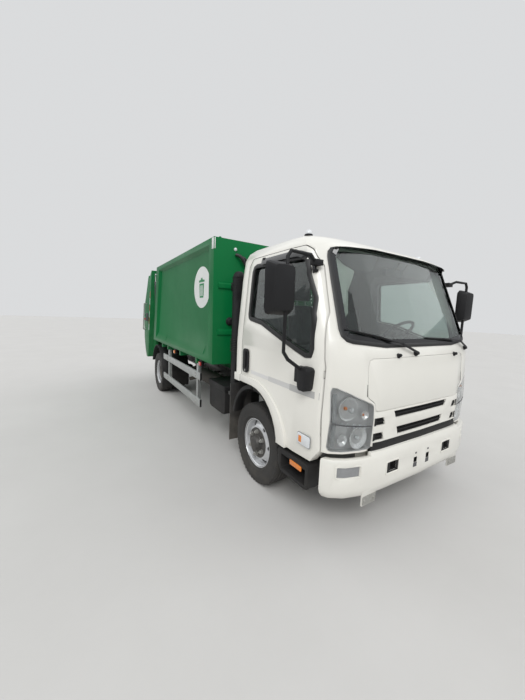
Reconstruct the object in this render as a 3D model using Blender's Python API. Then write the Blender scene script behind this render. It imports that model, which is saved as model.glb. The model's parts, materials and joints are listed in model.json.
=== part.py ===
"""Rear-loading refuse truck: a forward-control light truck with a compactor body.

Metres, +Z up, the front towards -Y and the driver's side (left) at +X.  Every
place is measured from the front axle and the ground, and one root empty moves the
whole vehicle so that the origin lies on the ground under the middle of its length.
"""
import math

import bpy
import bmesh
from mathutils import Vector

# Fits, in metres
SEAT_GAP = 0.0003
PANEL_GAP = 0.005
PIN_GAP = 0.0008
RUN_GAP = 0.006
SINK = 0.002
OVERRUN = 0.05
WELD_DISTANCE = 0.00001
FLAT_ANGLE = math.radians(0.1)
# Ways to tidy a mesh, boldest first: angle between faces to merge, width of slivers to drop
TIDY_STEPS = (
    (FLAT_ANGLE, WELD_DISTANCE), (FLAT_ANGLE, WELD_DISTANCE / 100),
    (FLAT_ANGLE / 20, WELD_DISTANCE / 100),
    (0, WELD_DISTANCE / 1000), (0, 0),
)

# The vehicle as a whole
WHEELBASE = 3.815
FRONT_OVERHANG = 1.11
FRONT_TRACK = 1.665
REAR_TRACK = 1.58

# Wheels and tyres
TYRE_RADIUS = 0.392
TYRE_WIDTH = 0.222
SEAT_RADIUS = 0.2225
FLANGE_RADIUS = 0.240
FLANGE_WIDTH = 0.011
RIM_WALL = 0.007
SEAT_HALF_WIDTH_SHARE = 0.40
DISC_WALL = 0.010
DISC_OFFSET = 0.127
DISC_BORE = 0.060
DISC_FLAT = 0.160
HAND_HOLE_RADIUS = 0.019
HAND_HOLE_CIRCLE = 0.187
HAND_HOLES = 6
HAND_HOLE_SIDES = 8
TWIN_SPACING = 0.264
DRUM_RADIUS = 0.155
DRUM_WALL = 0.012
DRUM_SETBACK = 0.008
HUB_RADIUS = 0.075
HUB_INNER_RADIUS = 0.060
HUB_BORE = 0.032
HUB_NOSE = 0.038
HUB_CAP_RADIUS = 0.045
SPINDLE_RADIUS = 0.0305
SPINDLE_SIDES = 16
WHEEL_SEGMENTS = 20
HUB_SEGMENTS = 12
# Half of a tyre's section: share of the width from the middle, share of the height
TYRE_SECTION_SHARES = (
    (0.40, 0.00), (0.40, 0.13), (0.50, 0.50), (0.46, 0.90), (0.34, 1.00),
)

# Front axle and steering
KINGPIN_X = 0.700
AXLE_DROP = 0.070
BEAM_DEPTH = 0.076
BEAM_WIDTH = 0.080
BEAM_FLUTE = 0.020
BOSS_RADIUS = 0.034
BOSS_HEIGHT = 0.110
YOKE_PLATE = 0.024
YOKE_WEB_X = 0.745
YOKE_WEB = 0.034
BACKPLATE_RADIUS = 0.150
BACKPLATE = 0.010
STEERING_ARM = 0.160
TRACK_ROD_RADIUS = 0.015
ROD_END_RADIUS = 0.019
ROD_END_HEIGHT = 0.034
SPINDLE_REACH = 0.090

# Leaf springs: half length from the middle to the eye, height of the eye over the seat
SPRING_X = 0.365
SPRING_WIDTH = 0.070
FRONT_SPRING_REACH = 0.620
REAR_SPRING_REACH = 0.500
SPRING_RISE = 0.090
LEAF = 0.015
LEAF_SHARES = (1.0, 0.72, 0.45)
SPRING_EYE = 0.026
SPRING_STEPS = 4
SPRING_CLAMP = 0.120

# Rear axle
AXLE_TUBE_RADIUS = 0.055
BANJO_RADIUS = 0.165
BANJO_HALF_WIDTH = 0.115
BANJO_SHOULDER = 0.190
PINION_REACH = 0.300
PINION_RADIUS = 0.060
SHAFT_RADIUS = 0.040

# Ladder frame
RAIL_OUTER = 0.400
RAIL_FLANGE = 0.065
RAIL_WALL = 0.008
RAIL_TOP = 0.800
RAIL_BOTTOM = 0.600
RAIL_FRONT = -0.960
RAIL_REAR = 4.330
CROSS_MEMBER_PLACES = (-0.860, 0.980, 1.900, 2.900, 3.550, 4.270)
CROSS_MEMBER_LENGTH = 0.070
CROSS_MEMBER_INSET = 0.020
HANGER_THICKNESS = 0.050
FLAP_Y = 0.505
FLAP = 0.012
FLAP_INNER = 0.700
FLAP_OUTER = 0.970
FLAP_BOTTOM = 0.230
FLAP_TOP = 0.880
FLAP_BAR = 0.018
REST_INNER = 0.330
REST_Y = 0.360
REST_LENGTH = 0.060
REST_BEAM = 0.060

# Cab tilt pivot
PIVOT_Y = -1.020
PIVOT_Z = 0.500
PIVOT_PIN = 0.020
PIVOT_EYE = 0.045
PIVOT_ARM = 0.036
STRUT_FRONT = -0.900
STRUT_REAR = -0.800
STRUT_HEAD = -0.860
STRUT_FOOT = 0.540

# Engine, gearbox and the parts hung on the frame
ENGINE_HALF_WIDTH = 0.290
ENGINE_FRONT = -0.560
ENGINE_REAR = 0.300
ENGINE_BOTTOM = 0.500
ENGINE_TOP = 0.900
GEARBOX_RADIUS = 0.130
GEARBOX_REAR = 0.860
SHAFT_Z = 0.620
TANK_INNER = 0.450
TANK_OUTER = 0.930
TANK_FRONT = 0.700
TANK_REAR = 1.230
TANK_BOTTOM = 0.400
TANK_TOP = 0.790
TANK_CORNER = 0.060
BATTERY_FRONT = 0.730
BATTERY_REAR = 1.210
BATTERY_BOTTOM = 0.430
BATTERY_TOP = 0.760
SILENCER_X = 0.620
SILENCER_Z = 0.620
SILENCER_RADIUS = 0.110
SILENCER_FRONT = 1.500
SILENCER_REAR = 2.250
PIPE_RADIUS = 0.032
BRACKET = 0.040

# Front bumper
BUMPER_HALF_WIDTH = 0.990
BUMPER_BOTTOM = 0.375
BUMPER_TOP = 0.665
BUMPER_STEP = 0.028
BUMPER_STEP_HALF_WIDTH = 0.620
BUMPER_END = -0.925
BUMPER_WALL = 0.035
BUMPER_DEPTH = 0.420
FOG_HALF_WIDTH = 0.082
FOG_X = 0.800
FOG_BOTTOM = 0.540
FOG_HEIGHT = 0.075
TOW_X = 0.385
TOW_SIZE = 0.070
TOW_Z = 0.520
PLATE_HOLE_X = 0.088
PLATE_HOLE = 0.045
PLATE_HOLE_Z = 0.530
TAB_X = 0.600
TAB_WIDTH = 0.150
TAB_THICKNESS = 0.012
TAB_BOTTOM = 0.300
TAB_Y = -1.030
# Bumper section: height share, setback share of the wall
BUMPER_SECTION_SHARES = ((0.0, 0.60), (0.10, 0.16), (0.20, 0.0), (0.86, 0.0), (1.0, 0.34))

# Cab
CAB_HALF_WIDTH = 0.995
CAB_FRONT = -1.080
CAB_REAR = 0.460
CAB_BOTTOM = 0.600
CAB_TOP = 2.295
CAB_SKIRT = 0.700
CAB_WALL = 0.040
CAB_FIREWALL = 0.110
CAB_CORNER = 0.420
CAB_REAR_CORNER = 0.140
CAB_FRONT_POWER = 4.0
CAB_REAR_POWER = 5.0
CAB_FRONT_STEPS = 12
CAB_REAR_STEPS = 6
# Level sections of the cab: height share, half-width share, setbacks of the front and
# of the rear as shares of the cab's length, share of the front corner's depth
CAB_SECTION_SHARES = (
    (0.000, 0.985, 0.006, 0.000, 1.00),
    (0.200, 1.000, 0.000, 0.000, 1.00),
    (0.445, 1.000, 0.018, 0.000, 0.96),
    (0.520, 0.994, 0.045, 0.000, 0.92),
    (0.820, 0.950, 0.178, 0.000, 0.76),
    (0.925, 0.928, 0.222, 0.005, 0.70),
    (0.962, 0.900, 0.262, 0.022, 0.66),
    (0.986, 0.850, 0.320, 0.055, 0.62),
    (1.000, 0.760, 0.400, 0.110, 0.60),
)
FLOOR_THICKNESS = 0.045
TUNNEL_HALF_WIDTH = 0.480
TUNNEL_FRONT = -0.820
TUNNEL_TOP = 0.975
NOSE_CLEAR_TOP = 0.830
NOSE_RELIEF_HALF_WIDTH = 0.630
NOSE_RELIEF_REAR = -0.910
NOSE_RELIEF_TOP = 0.728
FOOTWELL_REAR = -0.510
SEAT_FLOOR = 1.020
WAIST = 1.370

# Front wheel arch, an ellipse in side view
ARCH_Y = -0.020
ARCH_Z = 0.550
ARCH_LENGTH = 0.435
ARCH_HEIGHT = 0.425
FLARE_LENGTH = 0.120
FLARE_HEIGHT = 0.072
FLARE_PROUD = 0.016
FLARE_DEPTH = 0.040
ARCH_STEPS = 8

# Doors
DOOR_FRONT = -0.900
DOOR_REAR = 0.210
DOOR_BOTTOM = 0.600
DOOR_TOP = 2.165
DOOR_THICKNESS = 0.055
DOOR_CORNER = 0.045
HINGE_SETBACK = 0.012
HINGE_DEPTH = 0.012
HINGE_PIN = 0.006
HINGE_HEIGHTS = (0.840, 1.250)
HINGE_ARM = 0.014
HINGE_ARM_HEIGHT = 0.050
HINGE_ARM_LENGTH = 0.090
HINGE_PIN_LENGTH = 0.090
JAMB_RELIEF = 0.057
JAMB_RELIEF_DEPTH = 0.026
JAMB_RELIEF_TOP = 1.420
# Door edge above the wheel arch: length share from the front, height share
DOOR_SHARES = (
    (0.065, 0.000), (0.000, 0.066), (0.000, 0.450), (0.060, 0.687), (0.165, 0.899), (0.235, 0.978),
    (0.280, 1.000), (0.955, 1.000), (1.000, 0.955),
)
# Door window: length share, height share
WINDOW_SHARES = (
    (0.085, 0.478), (0.427, 0.556), (0.700, 0.622), (0.912, 0.645), (0.920, 0.950), (0.270, 0.945),
    (0.135, 0.748),
)
WINDOW_CORNER = 0.045
GLASS_WALL = 0.006
GLASS_INSET = 0.020
HANDLE_Y = 0.105
HANDLE_Z = 1.200
HANDLE_HEIGHT = 0.220
HANDLE_WIDTH = 0.050
HANDLE_PROUD = 0.018

# Windscreen, rear window and the front of the cab
SCREEN_HALF_WIDTH = 0.850
SCREEN_BOTTOM = 1.435
SCREEN_TOP = 2.185
SCREEN_REAR = -0.500
SCREEN_SEAL = 0.030
SCREEN_WALL = 0.007
SCREEN_CORNER = 0.085
# Right half of the windscreen in front view: width share, height share
SCREEN_SHARES = ((0.55, 0.010), (1.00, 0.060), (0.940, 0.955), (0.40, 1.000))
REAR_WINDOW_HALF_WIDTH = 0.560
REAR_WINDOW_BOTTOM = 1.480
REAR_WINDOW_TOP = 1.980
LID_HALF_WIDTH = 0.660
LID_FOOT = 0.585
LID_FOOT_TOP = 1.050
LID_SHOULDER = 1.090
LID_BOTTOM = 0.985
LID_TOP = 1.362
LID_WALL = 0.020
LID_CORNER = 0.050
GRILLE_HALF_WIDTH = 0.590
GRILLE_BOTTOM = 0.720
# Air slots: inner and outer end shares of the grille's half width, bottom and top height shares
SLOT_SHARES = (
    (-0.64, 0.64, 0.72, 0.93), (-0.56, 0.56, 0.20, 0.44),
    (0.84, 0.965, 0.60, 0.82), (0.84, 0.965, 0.17, 0.39),
    (-0.965, -0.84, 0.60, 0.82), (-0.965, -0.84, 0.17, 0.39),
)
SLOT_SLANT = 0.022
LAMP_INNER = 0.600
LAMP_OUTER = 0.925
LAMP_BOTTOM = 0.715
LAMP_TOP = 1.185
LAMP_INNER_TOP = 1.035
LAMP_DEPTH = 0.062
LAMP_CORNER = 0.030
LAMP_REAR = -0.916

# Inside of the cab
DASH_BACK = 0.330
DASH_BOTTOM = 1.060
DASH_TOP = 1.365
DASH_MARGIN = 0.012
DRIVER_X = 0.480
DRIVER_WIDTH = 0.520
BENCH_INNER = -0.130
BENCH_OUTER = 0.880
CUSHION_FRONT = -0.330
CUSHION_TOP = 1.330
CUSHION_DEPTH = 0.150
BACKREST_Y = 0.200
BACKREST_DEPTH = 0.130
BACKREST_TOP = 1.800
BACKREST_LEAN = 0.060
HEADREST_HEIGHT = 0.190
HEADREST_WIDTH = 0.260
PLINTH_MARGIN = 0.060
STEERING_WHEEL_RADIUS = 0.205
STEERING_WHEEL_GRIP = 0.015
STEERING_WHEEL_Y = -0.460
STEERING_WHEEL_Z = 1.500
STEERING_TILT = math.radians(48)
STEERING_COLUMN = 0.360
COLUMN_RADIUS = 0.032

# Entry steps
STEP_FRONT = -0.820
STEP_REAR = -0.440
STEP_INNER = 0.790
STEP_OUTER = 0.975
STEP_TOP = 0.560
STEP_BOTTOM = 0.360
STEP_RISER = 0.095
STEP_TREAD = 0.030

# Mirrors
MIRROR_Y = -0.750
MIRROR_INNER = 1.130
MIRROR_OUTER = 1.345
MIRROR_BOTTOM = 1.645
MIRROR_TOP = 1.990
MIRROR_DEPTH = 0.075
MIRROR_CORNER = 0.035
MIRROR_ARM = 0.013
MIRROR_ARM_X = 1.205
MIRROR_ARM_TOP = 2.060
MIRROR_ARM_LOW = 1.400
MIRROR_FOOT_Z = 1.215
MIRROR_FOOT_HEIGHT = 0.140
MIRROR_FOOT_LENGTH = 0.120
MIRROR_FOOT_PROUD = 0.060
MIRROR_HEAD_FOOT_Z = 2.030

# Air intake behind the cab
INTAKE_INNER = 0.812
INTAKE_OUTER = 0.917
INTAKE_FRONT = 0.520
INTAKE_LENGTH = 0.125
INTAKE_TOP = 2.100
CLEANER_INNER = 0.430
CLEANER_BOTTOM = 0.860
CLEANER_TOP = 1.180
CLEANER_LENGTH = 0.240

# Compactor body
BODY_HALF_WIDTH = 1.058
BODY_FRONT = 0.835
BODY_TOP = 2.495
BODY_BOTTOM = 1.040
BODY_REAR_TOP = 4.000
BODY_REAR_SLOPE = 0.243
BODY_WALL = 0.050
BODY_ROOF = 0.050
BODY_FLOOR = 0.060
PANEL_DEPTH = 0.045
PANEL_FRONT = 0.975
PANEL_REAR_TOP = 3.560
PANEL_TOP = 2.430
PANEL_BOTTOM = 1.100
PANEL_TOP_BEVEL = 0.040
PANEL_BOTTOM_BEVEL = 0.120
PANEL_SIDE_BEVEL = 0.030
REAR_RECESS = 0.220
REAR_RECESS_DEPTH = 0.088
RUNNER_HALF_GAP = 0.335
RUNNER_WIDTH = 0.060
BEARER_PLACES = (1.452, 2.220, 2.987, 3.420)
BEARER_WIDTH = 0.060
BEARER_DEPTH = 0.080
BEARER_REACH = 1.040

# Side guards
GUARD_X = 1.020
GUARD_FRONT = 1.275
GUARD_REAR = 3.290
GUARD_RAIL = 0.025
GUARD_RAIL_HEIGHT = 0.100
GUARD_RAIL_PLACES = (0.390, 0.752)
GUARD_POST_PLACES = (1.452, 2.987)
GUARD_POST = 0.050

# Rear mudguards
MUDGUARD_INNER = 0.535
MUDGUARD_OUTER = 1.055
MUDGUARD_LENGTH = 0.480
MUDGUARD_HEIGHT = 0.570
MUDGUARD_WALL = 0.014
MUDGUARD_START = math.radians(202)
MUDGUARD_END = math.radians(20)
MUDGUARD_STEPS = 10
MUDGUARD_STAY = 0.018

# Tailgate and hopper
GATE_PIN_Y = 4.000
GATE_PIN_Z = 2.545
GATE_PIN = 0.018
GATE_EYE = 0.036
GATE_LUG_X = 0.560
GATE_LUG = 0.030
GATE_GAP = 0.010
GATE_TOP = 2.490
GATE_BOTTOM = 0.580
GATE_REAR = 5.060
GATE_INNER = 0.900
GATE_WALL = 0.065
GATE_SKIN = 0.030
CHEEK_OUTER = 1.080
CHEEK_SETBACK = 0.150
# Side of the tailgate behind its front edge: share of the depth at the top, height share
GATE_SHARES = (
    (0.420, 1.000), (0.640, 0.830), (0.914, 0.640), (1.000, 0.430), (1.000, 0.230), (0.880, 0.073),
    (0.760, 0.000), (0.590, 0.000),
)
GATE_TOE_SHARE = 0.055
GATE_CORNER = 0.060
TROUGH_Y = 4.760
TROUGH_Z = 1.000
TROUGH_LENGTH = 0.300
TROUGH_HEIGHT = 0.380
TROUGH_WALL = 0.016
TROUGH_STEPS = 10
TROUGH_LIP_TURN = 0.120
SILL_TOP = 1.100
SILL_TUBE = 0.022

# Packer: a carriage that slides along the front of the tailgate and a panel under it
CARRIAGE_TOP_Y = 4.160
CARRIAGE_TOP_Z = 2.250
CARRIAGE_LENGTH = 0.740
CARRIAGE_THICKNESS = 0.080
PACKER_HALF_WIDTH = 0.880
SHOE_HEIGHT = 0.120
SHOE_GAP = 0.0008
SWEEP_DROP = 0.090
SWEEP_LENGTH = 0.420
SWEEP_THICKNESS = 0.036
SWEEP_DIRECTION = math.radians(-60)
SWEEP_BOSS = 0.042
SWEEP_LUG_X = 0.600
SWEEP_LUG = 0.040

# Bin lifter on the hopper's sill
LIFTER_Y = 5.105
LIFTER_Z = 1.020
LIFTER_ARM_X = 0.480
LIFTER_ARM = 0.040
LIFTER_DROP = 0.330
LIFTER_THICKNESS = 0.032
LIFTER_COMB_HEIGHT = 0.110
LIFTER_COMB_LOW_SHARE = 0.35
LIFTER_TOOTH = 0.038
LIFTER_TOOTH_HEIGHT = 0.045
LIFTER_TEETH = 9
LIFTER_BOSS = 0.030
LIFTER_PIN = 0.012
LIFTER_LUG = 0.020

# Tailgate lift cylinders
CYLINDER_X = 1.012
CYLINDER_RADIUS = 0.030
CYLINDER_ROD = 0.016
CYLINDER_EYE = 0.030
CYLINDER_EYE_WIDTH = 0.040
CYLINDER_FOOT_Y = 4.030
CYLINDER_FOOT_Z = 1.700
CYLINDER_HEAD_Y = 4.090
CYLINDER_HEAD_Z = 2.380
CYLINDER_BARREL_SHARE = 0.80
CYLINDER_SIDES = 12

SIDES = (("right", -1), ("left", 1))
FRONT_WHEEL_X = FRONT_TRACK / 2
REAR_WHEEL_X = REAR_TRACK / 2
LIFTER_REAR = LIFTER_Y + LIFTER_THICKNESS / 2 + LIFTER_TOOTH
LENGTH_MIDDLE = (LIFTER_REAR - FRONT_OVERHANG) / 2

# Finishes: colour, roughness, metallic
FINISHES = {
    "white paint": ((0.74, 0.75, 0.70), 0.30, 0.0),
    "green paint": ((0.010, 0.170, 0.075), 0.25, 0.0),
    "black plastic": ((0.015, 0.015, 0.016), 0.55, 0.0),
    "frame paint": ((0.020, 0.020, 0.022), 0.50, 0.0),
    "tyre rubber": ((0.022, 0.022, 0.022), 0.80, 0.0),
    "silver paint": ((0.42, 0.43, 0.44), 0.38, 0.6),
    "aluminium": ((0.50, 0.52, 0.51), 0.40, 0.9),
    "glass": ((0.06, 0.09, 0.08), 0.05, 0.0),
    "lamp": ((0.62, 0.64, 0.66), 0.12, 0.0),
    "cast iron": ((0.10, 0.10, 0.10), 0.65, 0.5),
    "grey trim": ((0.10, 0.10, 0.105), 0.70, 0.0),
    "seat cloth": ((0.055, 0.057, 0.062), 0.90, 0.0),
    "bare steel": ((0.46, 0.46, 0.45), 0.35, 1.0),
}


# Small helpers for outlines

def between(low, high, share):
    """Return the value at a share of the way from low to high."""
    return low + (high - low) * share


def placed(shares, low_a, high_a, low_b, high_b):
    """Turn pairs of shares into points between two pairs of limits."""
    return [(between(low_a, high_a, a), between(low_b, high_b, b)) for a, b in shares]


def rounded(points, radius, steps=2):
    """Round each corner of a closed outline with a short arc."""
    result = []
    count = len(points)
    for index, point in enumerate(points):
        corner = Vector(point)
        before = Vector(points[index - 1]) - corner
        after = Vector(points[(index + 1) % count]) - corner
        turn = before.angle(after)
        reach = min(radius / math.tan(turn / 2), before.length * 0.45, after.length * 0.45)
        start = corner + before.normalized() * reach
        end = corner + after.normalized() * reach
        for step in range(steps + 1):
            share = step / steps
            low = start.lerp(corner, share)
            high = corner.lerp(end, share)
            result.append(tuple(low.lerp(high, share)))
    return result


def ellipse_arc(middle_a, middle_b, radius_a, radius_b, start, end, steps):
    """Return points on an ellipse from one angle to another."""
    angles = [between(start, end, step / steps) for step in range(steps + 1)]
    return [(middle_a + radius_a * math.cos(t), middle_b + radius_b * math.sin(t)) for t in angles]


def hull(points):
    """Return the convex outline round 2D points."""
    ordered = sorted(set(points))
    outline = []
    for run in (ordered, ordered[::-1]):
        chain = []
        for point in run:
            while len(chain) > 1 and turn_of(chain[-2], chain[-1], point) <= 0:
                chain.pop()
            chain.append(point)
        outline += chain[:-1]
    return outline


def turn_of(first, second, third):
    """Return a positive number where three points turn left."""
    return (second[0] - first[0]) * (third[1] - first[1]) - (second[1] - first[1]) * (third[0] - first[0])


def lug_outline(centre, radius, *feet, sides=12):
    """Return the outline of an eye of a radius that tapers from its feet."""
    eye = [(centre[0] + radius * math.cos(math.tau * i / sides),
            centre[1] + radius * math.sin(math.tau * i / sides))
           for i in range(sides)]
    return hull(eye + list(feet))


def strip(path, thickness):
    """Return the closed outline of a band on the left of a path of 2D points."""
    offset = []
    for index, point in enumerate(path):
        here = Vector(point)
        before = here - Vector(path[index - 1]) if index else None
        after = Vector(path[index + 1]) - here if index + 1 < len(path) else None
        first = (before or after).normalized()
        second = (after or before).normalized()
        normal = Vector((-first.y - second.y, first.x + second.x)).normalized()
        spread = thickness / max(normal.dot(Vector((-first.y, first.x))), 0.3)
        offset.append(tuple(here + normal * spread))
    return list(path) + offset[::-1]


# Small helpers for solids

def raw_object(bm):
    """Put a bmesh into a linked working object with its faces pointing out."""
    bmesh.ops.recalc_face_normals(bm, faces=bm.faces)
    mesh = bpy.data.meshes.new("work")
    bm.to_mesh(mesh)
    bm.free()
    obj = bpy.data.objects.new("work", mesh)
    bpy.context.scene.collection.objects.link(obj)
    return obj


def is_flat(corners):
    """Tell whether four corners lie in one plane."""
    first, second, third, fourth = (corner.co for corner in corners)
    normal = (second - first).cross(third - first)
    if normal.length < WELD_DISTANCE ** 2:
        return False
    return abs(normal.normalized().dot(fourth - first)) < WELD_DISTANCE / 100


def loft(loops):
    """Join closed loops of equal length into one capped solid."""
    bm = bmesh.new()
    rings = [[bm.verts.new(point) for point in loop] for loop in loops]
    for lower, upper in zip(rings, rings[1:]):
        for index in range(len(lower)):
            following = (index + 1) % len(lower)
            corners = (lower[index], lower[following], upper[following], upper[index])
            if is_flat(corners):
                bm.faces.new(corners)
            else:
                bm.faces.new(corners[:3])
                bm.faces.new((corners[0], corners[2], corners[3]))
    bm.faces.new(rings[0][::-1])
    bm.faces.new(rings[-1])
    return raw_object(bm)


def prism(outline, axis, low, high):
    """Extrude a 2D outline between two places on an axis."""
    def point(a, b, along):
        return {"x": (along, a, b), "y": (a, along, b), "z": (a, b, along)}[axis]
    low, high = min(low, high), max(low, high)
    return loft([[point(a, b, along) for a, b in outline] for along in (low, high)])


def box(x_low, x_high, y_low, y_high, z_low, z_high):
    """Return a plain block between six planes."""
    x_low, x_high = sorted((x_low, x_high))
    return prism([(x_low, y_low), (x_high, y_low), (x_high, y_high), (x_low, y_high)], "z", z_low, z_high)


def frustum(lower, upper, axis, low, high):
    """Return the solid between two outlines of equal length on an axis."""
    def point(a, b, along):
        return {"x": (along, a, b), "y": (a, along, b), "z": (a, b, along)}[axis]
    return loft([[point(a, b, along) for a, b in outline]
                 for outline, along in ((lower, low), (upper, high))])


def turned(profile, axis, centre, segments=WHEEL_SEGMENTS, flip=1):
    """Spin a closed profile of (place along the axis, radius) about an axis."""
    bm = bmesh.new()
    along = Vector({"x": (1, 0, 0), "y": (0, 1, 0), "z": (0, 0, 1)}[axis]) * flip
    radial = Vector({"x": (0, 0, 1), "y": (0, 0, 1), "z": (1, 0, 0)}[axis])
    points = [Vector(centre) + along * place + radial * radius for place, radius in profile]
    verts = [bm.verts.new(point) for point in points]
    pairs = [(i, (i + 1) % len(verts)) for i in range(len(verts))]
    edges = [bm.edges.new((verts[i], verts[j])) for i, j in pairs if profile[i][1] or profile[j][1]]
    bmesh.ops.spin(bm, geom=verts + edges, cent=centre, axis=along, angle=math.tau, steps=segments,
                   use_merge=True, use_duplicate=False)
    bmesh.ops.remove_doubles(bm, verts=bm.verts, dist=WELD_DISTANCE)
    bmesh.ops.dissolve_degenerate(bm, edges=bm.edges, dist=WELD_DISTANCE)
    return raw_object(bm)


def rod(start, end, radius, sides=12):
    """Return a round bar between two points."""
    start, end = Vector(start), Vector(end)
    along = (end - start).normalized()
    across = along.orthogonal().normalized()
    other = along.cross(across)
    turns = [math.tau * index / sides for index in range(sides)]
    rim = [across * (radius * math.cos(t)) + other * (radius * math.sin(t)) for t in turns]
    return loft([[place + offset for offset in rim] for place in (start, end)])


def tube(points, radius, sides=8):
    """Return a round bar that follows a path of points."""
    points = [Vector(point) for point in points]
    loops = []
    across = (points[1] - points[0]).orthogonal().normalized()
    for index, point in enumerate(points):
        before = (point - points[index - 1]).normalized() if index else None
        after = (points[index + 1] - point).normalized() if index + 1 < len(points) else None
        along = ((before or after) + (after or before)).normalized()
        across = (across - along * across.dot(along)).normalized()
        other = along.cross(across)
        turns = [math.tau * side / sides for side in range(sides)]
        loops.append([point + across * (radius * math.cos(t)) + other * (radius * math.sin(t))
                      for t in turns])
    return loft(loops)


def apply_modifiers(obj):
    """Replace an object's mesh with what its modifiers make of it."""
    bpy.context.view_layer.update()
    graph = bpy.context.evaluated_depsgraph_get()
    mesh = bpy.data.meshes.new_from_object(obj.evaluated_get(graph))
    obj.modifiers.clear()
    obj.data = mesh


def tidy(mesh):
    """Merge flat faces into clean triangles, less boldly where that would open the mesh."""
    for angle, sliver in TIDY_STEPS:
        bm = bmesh.new()
        bm.from_mesh(mesh)
        bmesh.ops.remove_doubles(bm, verts=bm.verts, dist=WELD_DISTANCE)
        bmesh.ops.dissolve_limit(bm, angle_limit=angle, verts=bm.verts, edges=bm.edges)
        bmesh.ops.triangulate(bm, faces=bm.faces)
        bmesh.ops.dissolve_degenerate(bm, edges=bm.edges, dist=sliver)
        closed = all(len(edge.link_faces) == 2 for edge in bm.edges)
        if closed:
            bm.to_mesh(mesh)
        bm.free()
        if closed:
            return
    raise ValueError(mesh.name + " isn't closed")


def combine(target, others, operation):
    """Apply one kind of Boolean between a solid and several others."""
    for other in others:
        modifier = target.modifiers.new("combine", "BOOLEAN")
        modifier.operation = operation
        modifier.solver = "EXACT"
        modifier.object = other
    apply_modifiers(target)
    for other in others:
        bpy.data.objects.remove(other)
    return target


def joined(first, *others):
    """Fuse solids that overlap into one."""
    return combine(first, others, "UNION")


def cut(target, *cutters):
    """Take cutters away from a solid."""
    return combine(target, cutters, "DIFFERENCE")


def common(first, second):
    """Keep what two solids share."""
    return combine(first, (second,), "INTERSECT")


# Bodies: each has an empty on its joint's axis, under its parent's empty

BODIES = {}


def add_body(name, pivot=(0, 0, 0), parent=None):
    """Add the empty that carries the pieces of one moving body."""
    empty = bpy.data.objects.new(name + "_body", None)
    bpy.context.scene.collection.objects.link(empty)
    if parent:
        empty.parent = BODIES[parent][0]
        empty.location = Vector(pivot) - BODIES[parent][1]
    else:
        empty.location = Vector(pivot) - Vector((0, LENGTH_MIDDLE, 0))
    BODIES[name] = (empty, Vector(pivot))


def add_part(name, obj, body, finish, smooth=35):
    """Name a finished solid, hang it on its body and give it its material."""
    empty, pivot = BODIES[body]
    mesh = obj.data
    tidy(mesh)
    for vert in mesh.vertices:
        vert.co -= pivot
    obj.name = name
    mesh.name = name
    obj.parent = empty
    colour, roughness, metallic = FINISHES[finish]
    material = bpy.data.materials.new(name + " " + finish)
    material.use_nodes = True
    shader = material.node_tree.nodes["Principled BSDF"]
    shader.inputs["Base Color"].default_value = (*colour, 1)
    shader.inputs["Roughness"].default_value = roughness
    shader.inputs["Metallic"].default_value = metallic
    material.diffuse_color = (*colour, 1)
    mesh.materials.clear()
    mesh.materials.append(material)
    mesh.shade_smooth()
    mesh.set_sharp_from_angle(angle=math.radians(smooth))
    return obj


# Shapes that several pieces share

def cab_section(height, sides, front, back):
    """Return one level outline of the cab, each face moved in by its inset."""
    share = (height - CAB_BOTTOM) / (CAB_TOP - CAB_BOTTOM)
    upper = next((i for i, row in enumerate(CAB_SECTION_SHARES) if row[0] >= share - WELD_DISTANCE),
                 len(CAB_SECTION_SHARES) - 1)
    low, high = CAB_SECTION_SHARES[max(upper - 1, 0)], CAB_SECTION_SHARES[upper]
    span = high[0] - low[0]
    blend = (share - low[0]) / span if span else 0
    _, width, front_back, rear_in, corner = (between(a, b, blend) for a, b in zip(low, high))
    length = CAB_REAR - CAB_FRONT
    half = CAB_HALF_WIDTH * width - sides
    y_front = CAB_FRONT + length * front_back + front
    y_rear = CAB_REAR - length * rear_in - back
    outline = []
    for y_edge, depth, power, steps in (
            (y_front, CAB_CORNER * corner, CAB_FRONT_POWER, CAB_FRONT_STEPS),
            (y_rear, -CAB_REAR_CORNER, CAB_REAR_POWER, CAB_REAR_STEPS)):
        for step in range(steps + 1):
            turn = between(-math.pi / 2, math.pi / 2, step / steps)
            turn = turn if depth > 0 else -turn
            x = half * math.copysign(abs(math.sin(turn)) ** (2 / power), turn)
            y = y_edge + depth * (1 - abs(math.cos(turn)) ** (2 / power))
            outline.append((x, y, height))
    return outline


def skin_x(height, place):
    """Return the x of the cab's left skin at a height and a y near its front corner."""
    section = [(x, y) for x, y, _ in cab_section(height, 0, 0, 0)[:CAB_FRONT_STEPS + 1] if x > 0]
    for (x_low, y_low), (x_high, y_high) in zip(section, section[1:]):
        if y_low <= place <= y_high:
            return between(x_low, x_high, (place - y_low) / (y_high - y_low))
    return section[-1][0]


def hinge_place():
    """Return the x and y of the left door's hinge pins."""
    y = DOOR_FRONT + HINGE_SETBACK
    return min(skin_x(height, y) for height in HINGE_HEIGHTS) - HINGE_DEPTH, y


def hinge_pin(side, height, spread):
    """Return one hinge pin, or with a spread the bore that takes it."""
    x, y = hinge_place()
    half = HINGE_PIN_LENGTH / 2 + spread
    return rod((side * x, y, height - half), (side * x, y, height + half), HINGE_PIN + spread)


def hinge_block(side, height, spread):
    """Return the cab's arm to a hinge pin, or with a spread the door's pocket for it."""
    x, y = hinge_place()
    half = HINGE_ARM / 2 + spread
    front = y - half - spread * OVERRUN / SINK
    rise = HINGE_ARM_HEIGHT / 2 + spread
    tip = x + HINGE_PIN if spread else x - HINGE_ARM / 4
    return box(side * (x - HINGE_ARM_LENGTH), side * tip, front, y + half, height - rise, height + rise)


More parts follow.
